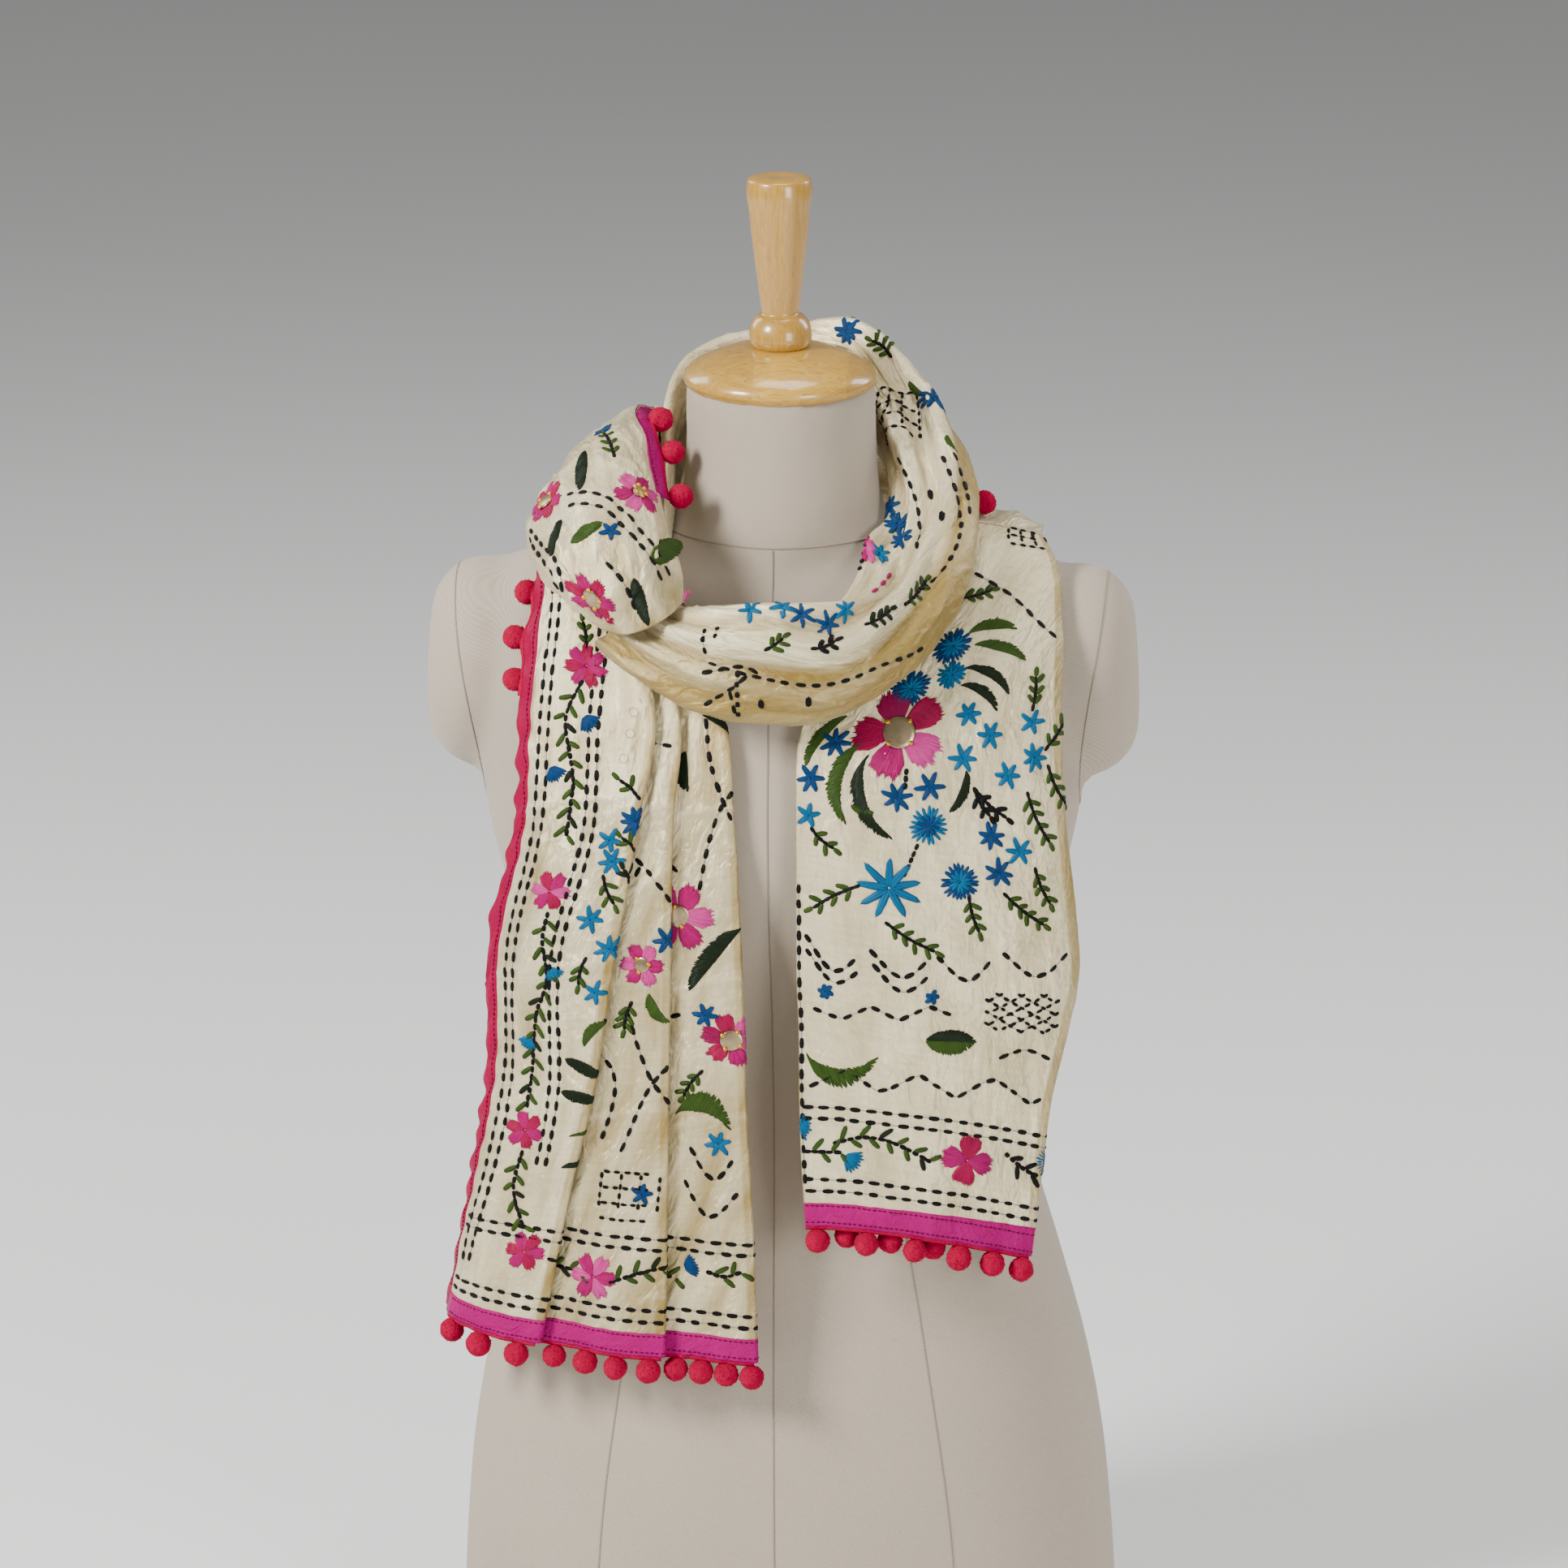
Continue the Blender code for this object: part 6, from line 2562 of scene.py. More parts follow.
class LoopRow(NamedTuple):
    """A turn of the loop: its angle, its lean, and a radius and height for each column."""

    angle: float
    lean: float
    foot: tuple[float, float]
    top: tuple[float, float]
    crown: tuple[float, float]
    crease: tuple[float, float]
    ridge: tuple[float, float]
    side: tuple[float, float]
    low: tuple[float, float]
    tuck: tuple[float, float]


@dataclass
class Loop:
    """The stretch that goes up beside the neck, round behind it and across the chest."""

    table: tuple[LoopRow, ...] = rows_of(LoopRow, (
        (-34, 0, (88, 668), (88, 678), (89, 683), (91, 684), (93, 683), (95, 678), (96, 673), (96, 668)),
        (-48, 0, (79, 689), (79, 703), (80, 709), (82, 711), (84, 709), (86, 703), (87, 696), (87, 689)),
        (-64, 0, (67, 706), (67, 727), (68, 735), (70, 738), (72, 736), (74, 728), (75, 717), (75, 707)),
        (-90, 0, (58.7, 722), (61, 752), (62, 763), (64, 767), (67, 767), (69, 757), (70, 742), (70, 724)),
        (-115, 0, (60, 735), (61, 768), (63, 780), (66, 785), (69, 784), (71, 771), (72, 752), (72, 734)),
        (-145, 0, (60, 742), (62, 778), (65, 790), (68, 795), (72, 795), (76, 782), (79, 762), (79, 742)),
        (-180, 0, (61, 744), (63, 782), (66, 794), (69, 799), (74, 801), (80, 790), (83, 768), (82, 744)),
        (-210, 0, (61, 742), (63, 781), (68, 796), (72, 799), (78, 803), (84, 791), (86, 766), (84, 742)),
        (-240, 0, (60, 736), (61, 766), (67, 777), (74, 776), (84, 780), (91, 766), (93, 748), (89, 734)),
        (-270, 0, (61, 726), (63, 747), (72, 755), (84, 750), (96, 753), (106, 741), (110, 730), (97, 723)),
        (-292, 0, (66, 711), (76, 714), (87, 721), (100, 717), (111, 719), (120, 710), (122, 703),
            (108, 702)),
        (-312, 0, (70, 704), (95, 692), (106, 699), (117, 694), (128, 691), (136, 681), (138, 671),
            (125, 670)),
        (-328, 0, (90, 690), (114, 684), (124, 690), (134, 682), (142, 674), (147, 659), (145, 646),
            (130, 641)),
        (-345, 0, (112, 676), (124, 685), (133, 686), (143, 675), (150, 661), (151, 642), (145, 627),
            (131, 622)),
        (-360, 0, (111, 674), (123, 686), (132, 686), (142, 674), (148, 658), (148, 640), (142, 624),
            (128, 619)),
        (-373, -4, (113, 672), (124, 683), (132, 682), (141, 671), (147, 658), (148, 643), (145, 631),
            (134, 627)),
        (-381, -11, (113, 670), (123, 680), (130, 680), (138, 673), (144, 664), (147, 654), (147, 646),
            (138, 642)),
        (-387, -18, (111, 672), (119, 679), (125, 680), (131, 676), (137, 671), (142, 665), (144, 659),
            (137, 655)),
    ))
    rows_round: int = 460
    columns: int = 90
    creases: Creases = Creases(37, 420, (12, 50), (0.9, 2.6), (0.5, 1.6), 4.0, 24.0, 0.9, (11.0, 60.0))
    twist_height: float = 3.0

    def grid(self) -> np.ndarray:
        """Rows of points round the neck, each from inside over the top to outside.

        Returns:
            The grid.
        """
        controls = []
        for row in self.table:
            columns = np.array(row[2:], float)
            turns = np.radians(row.angle + row.lean * np.linspace(0, 1, len(columns)))
            controls.append(np.column_stack([turns, columns]))
        controls = np.stack(controls)
        wanted = np.linspace(self.table[0].angle, self.table[-1].angle, self.rows_round)
        read = hermite([-row.angle for row in self.table], controls.reshape(len(self.table), -1), -wanted)
        grid = []
        for row in read.reshape(self.rows_round, -1, 3):
            turns, radii, heights = row.T
            points = np.column_stack([radii * np.sin(turns), -radii * np.cos(turns), heights])
            fine = hermite(range(len(points)), points, np.linspace(0, len(points) - 1, 240))
            grid.append(evenly(fine, self.columns))
        return np.stack(grid)

    def build(self) -> Stretch:
        """Make the loop with long twisted folds running round it.

        Returns:
            The dressed stretch.
        """
        sheet = Sheet(self.grid())
        share, travel = sheet.shares()
        relief = self.creases.relief(sheet.across, sheet.down)
        wander = soft_noise(travel * 5, share * 2, 91)
        twist = np.sin(2 * math.pi * (share * 4.2 + travel * 1.6 + 0.35 * wander))
        strength = smooth_step(0.22, 0.45, travel) * np.sin(math.pi * np.clip(share * 1.15, 0, 1))
        relief = relief + self.twist_height * strength * np.sign(twist) * np.abs(twist) ** 1.5
        sheet.freedom *= smooth_step(0.0, 0.02, travel) * (0.35 + 0.65 * smooth_step(0.15, 0.4, travel))
        sheet.freedom *= 0.35 + 0.65 * smooth_step(0.0, 0.2, share)
        sheet.raise_by(relief)
        noise = soft_noise(sheet.across / 22, sheet.down / 80, 79)
        # the loop's lower outer part golden as painted shade, with some shot-silk gold; crease valleys more
        # golden as painted shade
        low = smooth_step(0.46, 0.66, share) * smooth_step(0.3, 0.5, travel)
        tone = np.clip(0.14 + 0.8 * low + 0.35 * noise - 0.11 * relief.clip(-3, 3), 0, 1)
        stretch = Stretch("loop", sheet)
        stretch.cloth = sheet.shell("silk_loop", IVORY_SILK, tone=tone)
        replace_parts(stretch.cloth, "neck_layer", "front_loop")
        return stretch


def lofted(table: Sequence[NamedTuple], rows: int, columns: int) -> np.ndarray:
    """A smooth sheet through a table of points.

    Args:
        table: rows of points.
        rows: how many rows to make.
        columns: how many points to a row, evenly spaced.

    Returns:
        The grid of points.
    """
    controls = np.array(table, float)
    read = hermite(range(len(table)), controls.reshape(len(table), -1), np.linspace(0, len(table) - 1, rows))
    fine = np.linspace(0, controls.shape[1] - 1, 160)
    return np.stack([evenly(hermite(range(controls.shape[1]), line, fine), columns)
                     for line in read.reshape(rows, -1, 3)])


Point = tuple[float, float, float]


class PuffRow(NamedTuple):
    """A row of the puff: beside the neck, over its crown, at its outer edge and tucked under."""

    neck: Point
    inner: Point
    crown: Point
    outer: Point
    edge: Point
    tuck: Point


@dataclass
class ShoulderPuff:
    """The stretch that opens over the left shoulder, bound with satin beside the neck."""

    table: tuple[PuffRow, ...] = rows_of(PuffRow, (
        ((-43, -112, 689), (-52, -128, 682), (-66, -136, 675), (-82, -132, 671), (-95, -119, 673),
            (-97, -109, 677)),
        ((-44, -101, 703), (-59, -123, 706), (-81, -136, 701), (-103, -130, 692), (-115, -116, 687),
            (-110, -105, 687)),
        ((-51, -87, 717), (-68, -108, 729), (-94, -120, 726), (-121, -111, 713), (-134, -94, 702),
            (-126, -85, 698)),
        ((-60, -66, 736), (-73, -82, 747), (-96, -89, 748), (-121, -81, 735), (-139, -64, 716),
            (-132, -57, 709)),
        ((-65, -46, 753), (-77, -51, 762), (-97, -51, 763), (-118, -43, 749), (-133, -30, 725),
            (-128, -23, 718.5)),
        ((-73, -20, 765), (-82, -18, 769), (-97, -12, 763), (-113, -4, 748), (-124, 4, 727),
            (-121, 9, 717.5)),
        ((-77, 14, 760), (-84, 22, 764), (-94, 30, 756), (-105, 36, 738), (-115, 42, 717), (-113, 44, 709)),
        ((-70, 46, 750), (-79, 54, 755), (-89, 63, 744), (-98, 71, 723), (-106, 76, 703), (-104, 74, 697)),
    ))
    rows_over: int = 160
    columns: int = 96
    border: float = 12.0
    border_start: float = 0.4
    creases: Creases = Creases(53, 190, (9, 32), (0.9, 2.3), (0.4, 1.3), 8.0, 34.0, 1.5, (15.0, 26.0))

    def build(self) -> Stretch:
        """Make the puff, its folds spreading from the pinch at its front.

        Returns:
            The dressed stretch.
        """
        sheet = Sheet(lofted(self.table, self.rows_over, self.columns))
        share, travel = sheet.shares()
        relief = self.creases.relief(sheet.across, sheet.down)
        fan = np.cos(2 * math.pi * (share * 3.6 + 0.25 * soft_noise(travel * 4, share * 3, 93)))
        relief = relief + 1.9 * fan * np.exp(-travel / 0.22) * np.sin(math.pi * share)
        edge = smooth_step(0.02, 0.16, share) * smooth_step(1.0, 0.9, share)
        sheet.freedom *= 0.25 + 0.75 * edge * smooth_step(0.0, 0.05, travel)
        sheet.raise_by(relief)
        noise = soft_noise(sheet.across / 20, sheet.down / 25, 80)
        # painted shade: golden towards the pinch at the front, a raised base tone over the whole puff, and
        # crease valleys more golden
        knot = np.exp(-travel / 0.12)
        tone = np.clip(0.22 + 0.42 * knot + 0.3 * noise - 0.14 * relief.clip(-1.5, 1.5), 0, 1)
        stretch = Stretch("puff", sheet)
        bound = int(np.searchsorted(sheet.across[self.rows_over // 2], self.border))
        stretch.cloth = sheet.shell("silk_puff", IVORY_SILK, columns=slice(bound - 3, None), tone=tone)
        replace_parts(stretch.cloth, "shoulder_puff")
        first = round(self.border_start * (self.rows_over - 1))
        band = sheet.shell("satin_neck_border", PINK_SATIN, slice(first, None), slice(0, bound + 1),
                           round_edge=True)
        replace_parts(band, "neck_border")
        stretch.trims.append(band)
        self.edge_rows = sheet.points[first:, : bound + 1]
        return stretch


class NapeRow(NamedTuple):
    """A row of the back band: its upper edge, two lines down its face and its lower edge."""

    upper: Point
    over: Point
    under: Point
    lower: Point


@dataclass
class BackBand:
    """The stretch that crosses the back of the neck to the right shoulder."""

    table: tuple[NapeRow, ...] = rows_of(NapeRow, (
        ((-69, 50, 750), (-79, 59, 753), (-95, 74, 728), (-106, 81, 700)),
        ((-68, 78, 751), (-75, 87, 741), (-83, 95, 714), (-87, 101, 688)),
        ((-36, 96, 752), (-40, 104, 736), (-45, 109, 709), (-48, 111, 682)),
        ((6, 101, 752), (6, 108, 734), (7, 113, 708), (8, 115, 680)),
        ((46, 93, 748), (53, 99, 730), (62, 104, 704), (70, 105, 677)),
        ((76, 68, 734), (89, 73, 714), (104, 79, 691), (117, 80, 666)),
        ((86, 38, 721), (104, 40, 710), (123, 42, 697), (141, 43, 680)),
        ((83, 14, 713), (104, 16, 711), (127, 19, 706), (149, 22, 696)),
        ((78, -16.6, 709.7), (101, -13.6, 708.2), (126, -9.8, 704.2), (149, -5.6, 698)),
    ))
    rows_round: int = 170
    columns: int = 38
    border: float = 12.0
    tucks: tuple[tuple[float, float], ...] = ((8.5, 2.2), (5.6, 1.9), (2.8, 1.1))
    creases: Creases = Creases(61, 150, (10, 34), (1.0, 2.4), (0.4, 1.2), 0.0, 22.0, 1.0, (11.0, 40.0))

    def build(self) -> Stretch:
        """Make the band and the satin along its upper edge.

        Returns:
            The dressed stretch.
        """
        grid = lofted(self.table, self.rows_round, self.columns)
        inward = unit(grid[0] * (-1, -1, 0))
        tucks = np.array(self.tucks)[:, :, None, None]
        under = grid[0] + unit(grid[0] - grid[1]) * tucks[:, 0] + inward * tucks[:, 1]
        sheet = Sheet(np.concatenate([under, grid]))
        share, travel = sheet.shares()
        relief = self.creases.relief(sheet.across, sheet.down)
        folds = np.sin(2 * math.pi * (share * 2.6 - travel * 0.8))
        relief = relief + 1.2 * folds * smooth_step(0.15, 0.4, share) * smooth_step(1.0, 0.9, share)
        sheet.freedom *= (0.2 + 0.8 * smooth_step(0.0, 0.3, share)) * smooth_step(1.0, 0.93, travel)
        sheet.freedom *= smooth_step(0.03, 0.09, travel)
        sheet.raise_by(relief)
        noise = soft_noise(sheet.across / 20, sheet.down / 40, 81)
        # random tone, and crease valleys more golden as painted shade
        tone = np.clip(0.16 + 0.3 * noise - 0.12 * relief.clip(-1.5, 1.5), 0, 1)
        stretch = Stretch("back", sheet)
        bound = int(np.searchsorted(sheet.across[self.rows_round // 2], self.border))
        stretch.cloth = sheet.shell("silk_back_band", IVORY_SILK, columns=slice(bound - 2, None), tone=tone)
        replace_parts(stretch.cloth, "back_band")
        band = sheet.shell("satin_nape_border", PINK_SATIN, columns=slice(0, bound + 1), round_edge=True)
        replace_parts(band, "nape_border")
        stretch.trims.append(band)
        self.edge_rows = sheet.points[len(self.tucks):, : bound + 1]
        return stretch


@dataclass
class PompomTrim:
    """A narrow tape with wool balls, sewn along an edge."""

    radius: float = 7.1
    hang: float = 6.6
    tape_depth: float = 2.2
    tape_wall: float = 1.1
    tufts: int = 210
    tuft_length: float = 0.95
    tuft_foot: float = 0.30
    lumps: float = 0.022
    swell: float = 0.035
    seeds_apart: int = 40

    def ball(self, centre: np.ndarray, seed: int) -> tuple[np.ndarray, np.ndarray, np.ndarray]:
        """A trimmed wool ball: a lumpy core and short tufts.

        Args:
            centre: where it hangs.
            seed: makes it differ from its neighbours.

        Returns:
            Its points, the core's faces and the tufts' faces, all three-cornered.
        """
        if not hasattr(self, "_core"):
            bm = bmesh.new()
            bmesh.ops.create_icosphere(bm, subdivisions=4, radius=1.0)
            self._core = np.array([vert.co[:] for vert in bm.verts])
            self._core_faces = np.array([[vert.index for vert in face.verts] for face in bm.faces])
            bm.free()
        dice = np.random.default_rng(seed)
        lumps = dice.normal(0, self.lumps, len(self._core))
        swell = self.swell * np.sin(self._core @ dice.normal(0, 2.5, 3) + dice.uniform(0, 6))
        radius = self.radius * dice.uniform(0.95, 1.04)
        core = self._core * (radius * (1 + lumps + swell))[:, None]
        ways = unit(dice.normal(0, 1, (self.tufts, 3)))
        lean = unit(ways + dice.normal(0, 0.35, ways.shape))
        side = unit(np.cross(ways, (0.3, 0.5, 0.8)))
        other = np.cross(ways, side)
        foot = ways * radius * 0.97
        spread = self.tuft_foot
        tufts = np.stack([foot + side * spread, foot - side * spread * 0.5 + other * spread * 0.87,
                          foot - side * spread * 0.5 - other * spread * 0.87,
                          foot + lean * self.tuft_length * dice.uniform(0.6, 1.2, (self.tufts, 1))], 1)
        base = len(core) + np.arange(self.tufts)[:, None, None] * 4
        cone = np.array([[0, 1, 3], [1, 2, 3], [2, 0, 3]])
        points = np.concatenate([core, tufts.reshape(-1, 3)]) + centre
        return points, self._core_faces, (base + cone).reshape(-1, 3)

    def build(self, name: str, node: str, edge: np.ndarray, outward: np.ndarray, places: Sequence[float],
              lean: Point = (0.0, 0.0, 0.0), seed: int = 1) -> bpy.types.Object:
        """Sew a tape with its pompoms along an edge.

        Args:
            name: the piece's name.
            node: the CAD node it stands for.
            edge: points along the edge.
            outward: the way off the cloth at each of them.
            places: shares of the edge's length where pompoms hang.
            lean: turns the pompoms aside.
            seed: picks their tufts.

        Returns:
            The object.
        """
        outward = unit(outward)
        side = unit(np.cross(np.gradient(edge, axis=0), outward))
        inner, outer = edge - outward * 0.6, edge + outward * self.tape_depth
        half = side * self.tape_wall / 2
        corners = np.stack([inner + half, outer + half * 0.5, outer - half * 0.5, inner - half], axis=1)
        points = [corners.reshape(-1, 3)]
        faces = [grid_faces(len(edge), 4, closed=True)[:, ::-1]]
        last = (len(edge) - 1) * 4
        faces.append(np.array([[0, 1, 2, 3], [last + 3, last + 2, last + 1, last]]))
        triangles, base = [], len(edge) * 4
        lengths = lengths_along(outer)
        for number, place in enumerate(places):
            mark = [place * lengths[-1]]
            root = read_at(lengths, outer, mark)[0]
            way = unit(read_at(lengths, outward, mark)[0] + np.array(lean))
            ball, core, tufts = self.ball(root + way * self.hang, seed * self.seeds_apart + number)
            points.append(ball)
            triangles += [core + base, tufts + base]
            base += len(ball)
        made = make_object(name, np.concatenate(points), [np.concatenate(faces), np.concatenate(triangles)],
                           [CRIMSON_WOOL])
        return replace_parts(made, node)


@dataclass
class Pompoms:
    """All the pompom trims, placed along the edges that they hang from."""

    trim: PompomTrim = field(default_factory=PompomTrim)
    left_hem: tuple[tuple[float, ...], ...] = ((0.15, 0.5, 0.86), (0.46, 0.62, 0.78, 0.94),
                                               (0.49, 0.66, 0.82, 0.98))
    right_hem: tuple[float, ...] = (0.05, 0.26, 0.47, 0.67, 0.83, 0.97)
    right_inner: tuple[float, ...] = (0.13, 0.35, 0.57)
    left_side: tuple[float, ...] = (0.16, 0.55, 0.9)
    left_side_heights: tuple[float, float] = (680.5, 620.0)
    neck: tuple[float, ...] = (0.02, 0.42, 0.82)
    nape: tuple[float, ...] = (0.06, 0.3, 0.54, 0.78)
    shoulder_tape: tuple[Point, ...] = ((105, -6, 714.2), (107, -2, 714.2), (108, 2, 714.2), (109, 6, 714.2))

    def left(self, tail: LeftTail, stretch: Stretch) -> None:
        """The trims under the three panels and behind the side border.

        Args:
            tail: the left tail.
            stretch: its dressed stretch.
        """
        points = stretch.sheet.points
        for panel, places in enumerate(self.left_hem):
            first = panel * tail.turn + (tail.border_columns if panel == 0 else 0)
            columns = slice(first, panel * tail.turn + tail.panel)
            edge = points[-1, columns]
            stretch.trims.append(self.trim.build(
                f"pompoms_left_hem_{panel + 1}", f"left_hem_pompoms_{panel + 1}", edge,
                edge - points[-4, columns], places, seed=panel + 1))
        top, bottom = self.left_side_heights
        inside = (points[:, 0, 2] < top) & (points[:, 0, 2] > bottom)
        edge = points[inside, 0]
        stretch.trims.append(self.trim.build("pompoms_left_side", "left_side_pompoms", edge,
                                             edge - points[inside, 3], self.left_side, (0.22, 0.38, 0), 4))

    def right(self, tail: RightTail, stretch: Stretch) -> None:
        """The trims under the broad panel and the layer behind it.

        Args:
            tail: the right tail.
            stretch: its dressed stretch.
        """
        points = stretch.sheet.points
        start = tail.panel + tail.inner + 2 * (tail.fold_columns - 1)
        for name, node, columns, places, lean, seed in (
            ("pompoms_right_hem", "right_hem_pompoms", slice(0, tail.panel), self.right_hem, (0, 0, 0), 5),
            ("pompoms_right_inner", "right_inner_pompoms", slice(start, None), self.right_inner,
             (0, 0.45, 0), 6),
        ):
            edge = points[-1, columns]
            stretch.trims.append(self.trim.build(name, node, edge, edge - points[-4, columns], places, lean,
                                                 seed))

    def neck_side(self, puff: ShoulderPuff, stretch: Stretch) -> None:
        """The trim along the puff's border.

        Args:
            puff: the shoulder puff.
            stretch: its dressed stretch.
        """
        rows = puff.edge_rows[: round(0.7 * len(puff.edge_rows))]
        stretch.trims.append(self.trim.build("pompoms_neck", "neck_pompoms", rows[:, 0],
                                             rows[:, 0] - rows[:, -1], self.neck, (0.3, -0.4, 0.6), 7))

    def nape_side(self, band: BackBand, stretch: Stretch) -> None:
        """The trim along the back band's upper edge, and the one over the right shoulder.

        Args:
            band: the back band.
            stretch: its dressed stretch.
        """
        count = len(band.edge_rows)
        rows = band.edge_rows[round(count * 2 / 17): round(count * 10 / 17) + 1]
        stretch.trims.append(self.trim.build("pompoms_nape", "nape_pompoms", rows[:, 0],
                                             rows[:, 0] - rows[:, -1], self.nape, seed=8))
        tape = np.array(self.shoulder_tape, float)
        stretch.trims.append(self.trim.build("pompom_shoulder", "shoulder_pompom", tape,
                                             np.tile((1.0, 0, 0), (len(tape), 1)), (0.5,), (0, 0, 0.15), 9))


PINKS = (Thread.LIGHT_PINK, Thread.MAGENTA, Thread.HOT_PINK, Thread.ROSE, Thread.HOT_PINK)
BRIGHT = (Thread.MAGENTA, Thread.HOT_PINK)
PALE = (Thread.LIGHT_PINK, Thread.MAGENTA)

LEFT_MOTIFS: tuple[Motif, ...] = (
    EdgeRun(18.5, (0.08, 0.93)), EdgeRun(24.5, (0.08, 0.93)), EdgeRun(50.0, (0.12, 0.8)),
    EdgeRun(55.5, (0.12, 0.8)), EdgeRun(8.2, (0.03, 0.97), BINDING_SEAM),
    *(HemRun(above, (0.04, 1.0)) for above in (21.0, 28.0, 65.0, 71.5)),
    HemRun(12.6, (0.05, 1.0), BINDING_SEAM), HemRun(2.6, (0.05, 1.0), BINDING_SEAM),
    Vine(pixels((718, 838), (697, 885), (702, 927), (708, 965), (702, 1000), (695, 1040))),
    Vine(pixels((677, 1124), (668, 1160), (676, 1205), (662, 1250), (655, 1310), (648, 1368))),
    Vine(pixels((643, 1418), (632, 1460), (648, 1515))),
    Vine(pixels((672, 1552), (700, 1560), (716, 1566))),
    Vine(pixels((752, 1580), (790, 1566), (835, 1572))),
    Vine(pixels((868, 1566), (890, 1572), (915, 1566))),
    Flower(Pixel(722, 820), 14.5, BRIGHT, petals=7, turn=20),
    Flower(Pixel(678, 1097), 13.6, (Thread.LIGHT_PINK, Thread.HOT_PINK, Thread.MAGENTA), petals=6),
    Flower(Pixel(646, 1391), 13.2, BRIGHT, petals=6, turn=10),
    Flower(Pixel(647, 1541), 13.6, BRIGHT, petals=6),
    Flower(Pixel(731, 1574), 15.5, PALE, petals=6, turn=-60), Bud(Pixel(853, 1561), 9.4, Thread.BLUE, -20),
    Bud(Pixel(724, 892), 9.4, Thread.BLUE, 50), Bud(Pixel(685, 954), 9.4, Thread.BLUE, 60),
    Bud(Pixel(681, 1199), 8.7, Thread.CYAN, 60), Bud(Pixel(652, 1287), 8.7, Thread.CYAN, 110),
    Star(Pixel(783, 1010), 9.5, 9, Thread.BLUE), Star(Pixel(750, 1033), 8.5, 5),
    Star(Pixel(754, 1061), 9.5), Star(Pixel(728, 1135), 9.0), Star(Pixel(752, 1170), 9.0, 7),
    Star(Pixel(735, 1222), 8.0, 5), Sprig(Pixel(787, 986), Pixel(764, 960), 1, 7.5),
    Sprig(Pixel(783, 1052), Pixel(767, 1032), 1, 7.7), Sprig(Pixel(742, 1078), Pixel(757, 1112), 2, 7.7),
    Sprig(Pixel(776, 1090), Pixel(770, 1072), 1, 7.7, Thread.DARK_GREEN),
    Sprig(Pixel(722, 1180), Pixel(712, 1212), 2, 7.2),
    *(Ring(at) for at in pixels((781, 879), (775, 906), (770, 935))),
    Leaf(Pixel(697, 1302), Pixel(738, 1326), (-4, 4), Thread.DARK_GREEN),
    Leaf(Pixel(692, 1345), Pixel(733, 1356), (-4, 4), Thread.DARK_GREEN),
    Leaf(Pixel(722, 1290), Pixel(746, 1256), (0, -7)), Leaf(Pixel(700, 1400), Pixel(734, 1388), (-1, -6)),
    Leaf(Pixel(692, 1440), Pixel(725, 1428), (0, -6), Thread.DARK_GREEN),
    Run(pixels((795, 831), (814, 868)), False, width=2.4), Run(pixels((812, 905), (838, 922)), False),
    Run(pixels((792, 1012), (790, 1066), (829, 1118))), Run(pixels((790, 1066), (780, 1086))),
    Run(pixels((838, 928), (838, 1075))), Run(pixels((770, 1240), (806, 1336), (836, 1420))),
    Run(pixels((840, 1250), (806, 1336), (762, 1425))), Run(pixels((742, 1255), (757, 1330), (738, 1420))),
    Leaf(Pixel(846, 928), Pixel(845, 975), (-1, 8), Thread.DARK_GREEN),
    Sprig(Pixel(722, 802), Pixel(717, 766), 2, 6.5),
    Lattice(pixels((742, 1440), (812, 1446), (806, 1505), (735, 1498)), 3, 3),
    Flower(Pixel(790, 1190), 14.0, (Thread.MAGENTA, Thread.LIGHT_PINK), mirror=4.5, petals=6, beads=3),
    Leaf(Pixel(800, 1225), Pixel(822, 1262), (0, 8)), Sprig(Pixel(778, 1232), Pixel(768, 1268), 3, 6.7),
    Star(Pixel(822, 1158), 9.0, 6, Thread.BLUE), Star(Pixel(792, 1470), 7.0, 5, Thread.BLUE),
    Run(pixels((868, 882), (872, 925), (891, 992), (907, 1030))),
    Run(pixels((905, 972), (891, 992), (872, 1040), (860, 1098))),
    Leaf(Pixel(864, 880), Pixel(900, 908), (0, -8), Thread.DARK_GREEN),
    Flower(Pixel(836, 1128), 22.0, (Thread.LIGHT_PINK, Thread.MAGENTA, Thread.MAGENTA),
        mirror=6.5, petals=6, beads=2),
    Leaf(Pixel(912, 1142), Pixel(857, 1222), (-1, 9), Thread.DARK_GREEN),
    Flower(Pixel(903, 1280), 19.0, PINKS, mirror=6.5, petals=6, turn=15, squash=0.9),
    Leaf(Pixel(831, 1372), Pixel(900, 1392), (-6, -20)), Sprig(Pixel(868, 1318), Pixel(842, 1350), 3, 6.7),
    Star(Pixel(868, 1250), 8.0, 6, Thread.BLUE), Star(Pixel(886, 1410), 8.5, 6),
    Run(pixels((850, 1410), (880, 1455), (912, 1420))), Run(pixels((840, 1450), (872, 1500), (915, 1462))),
)

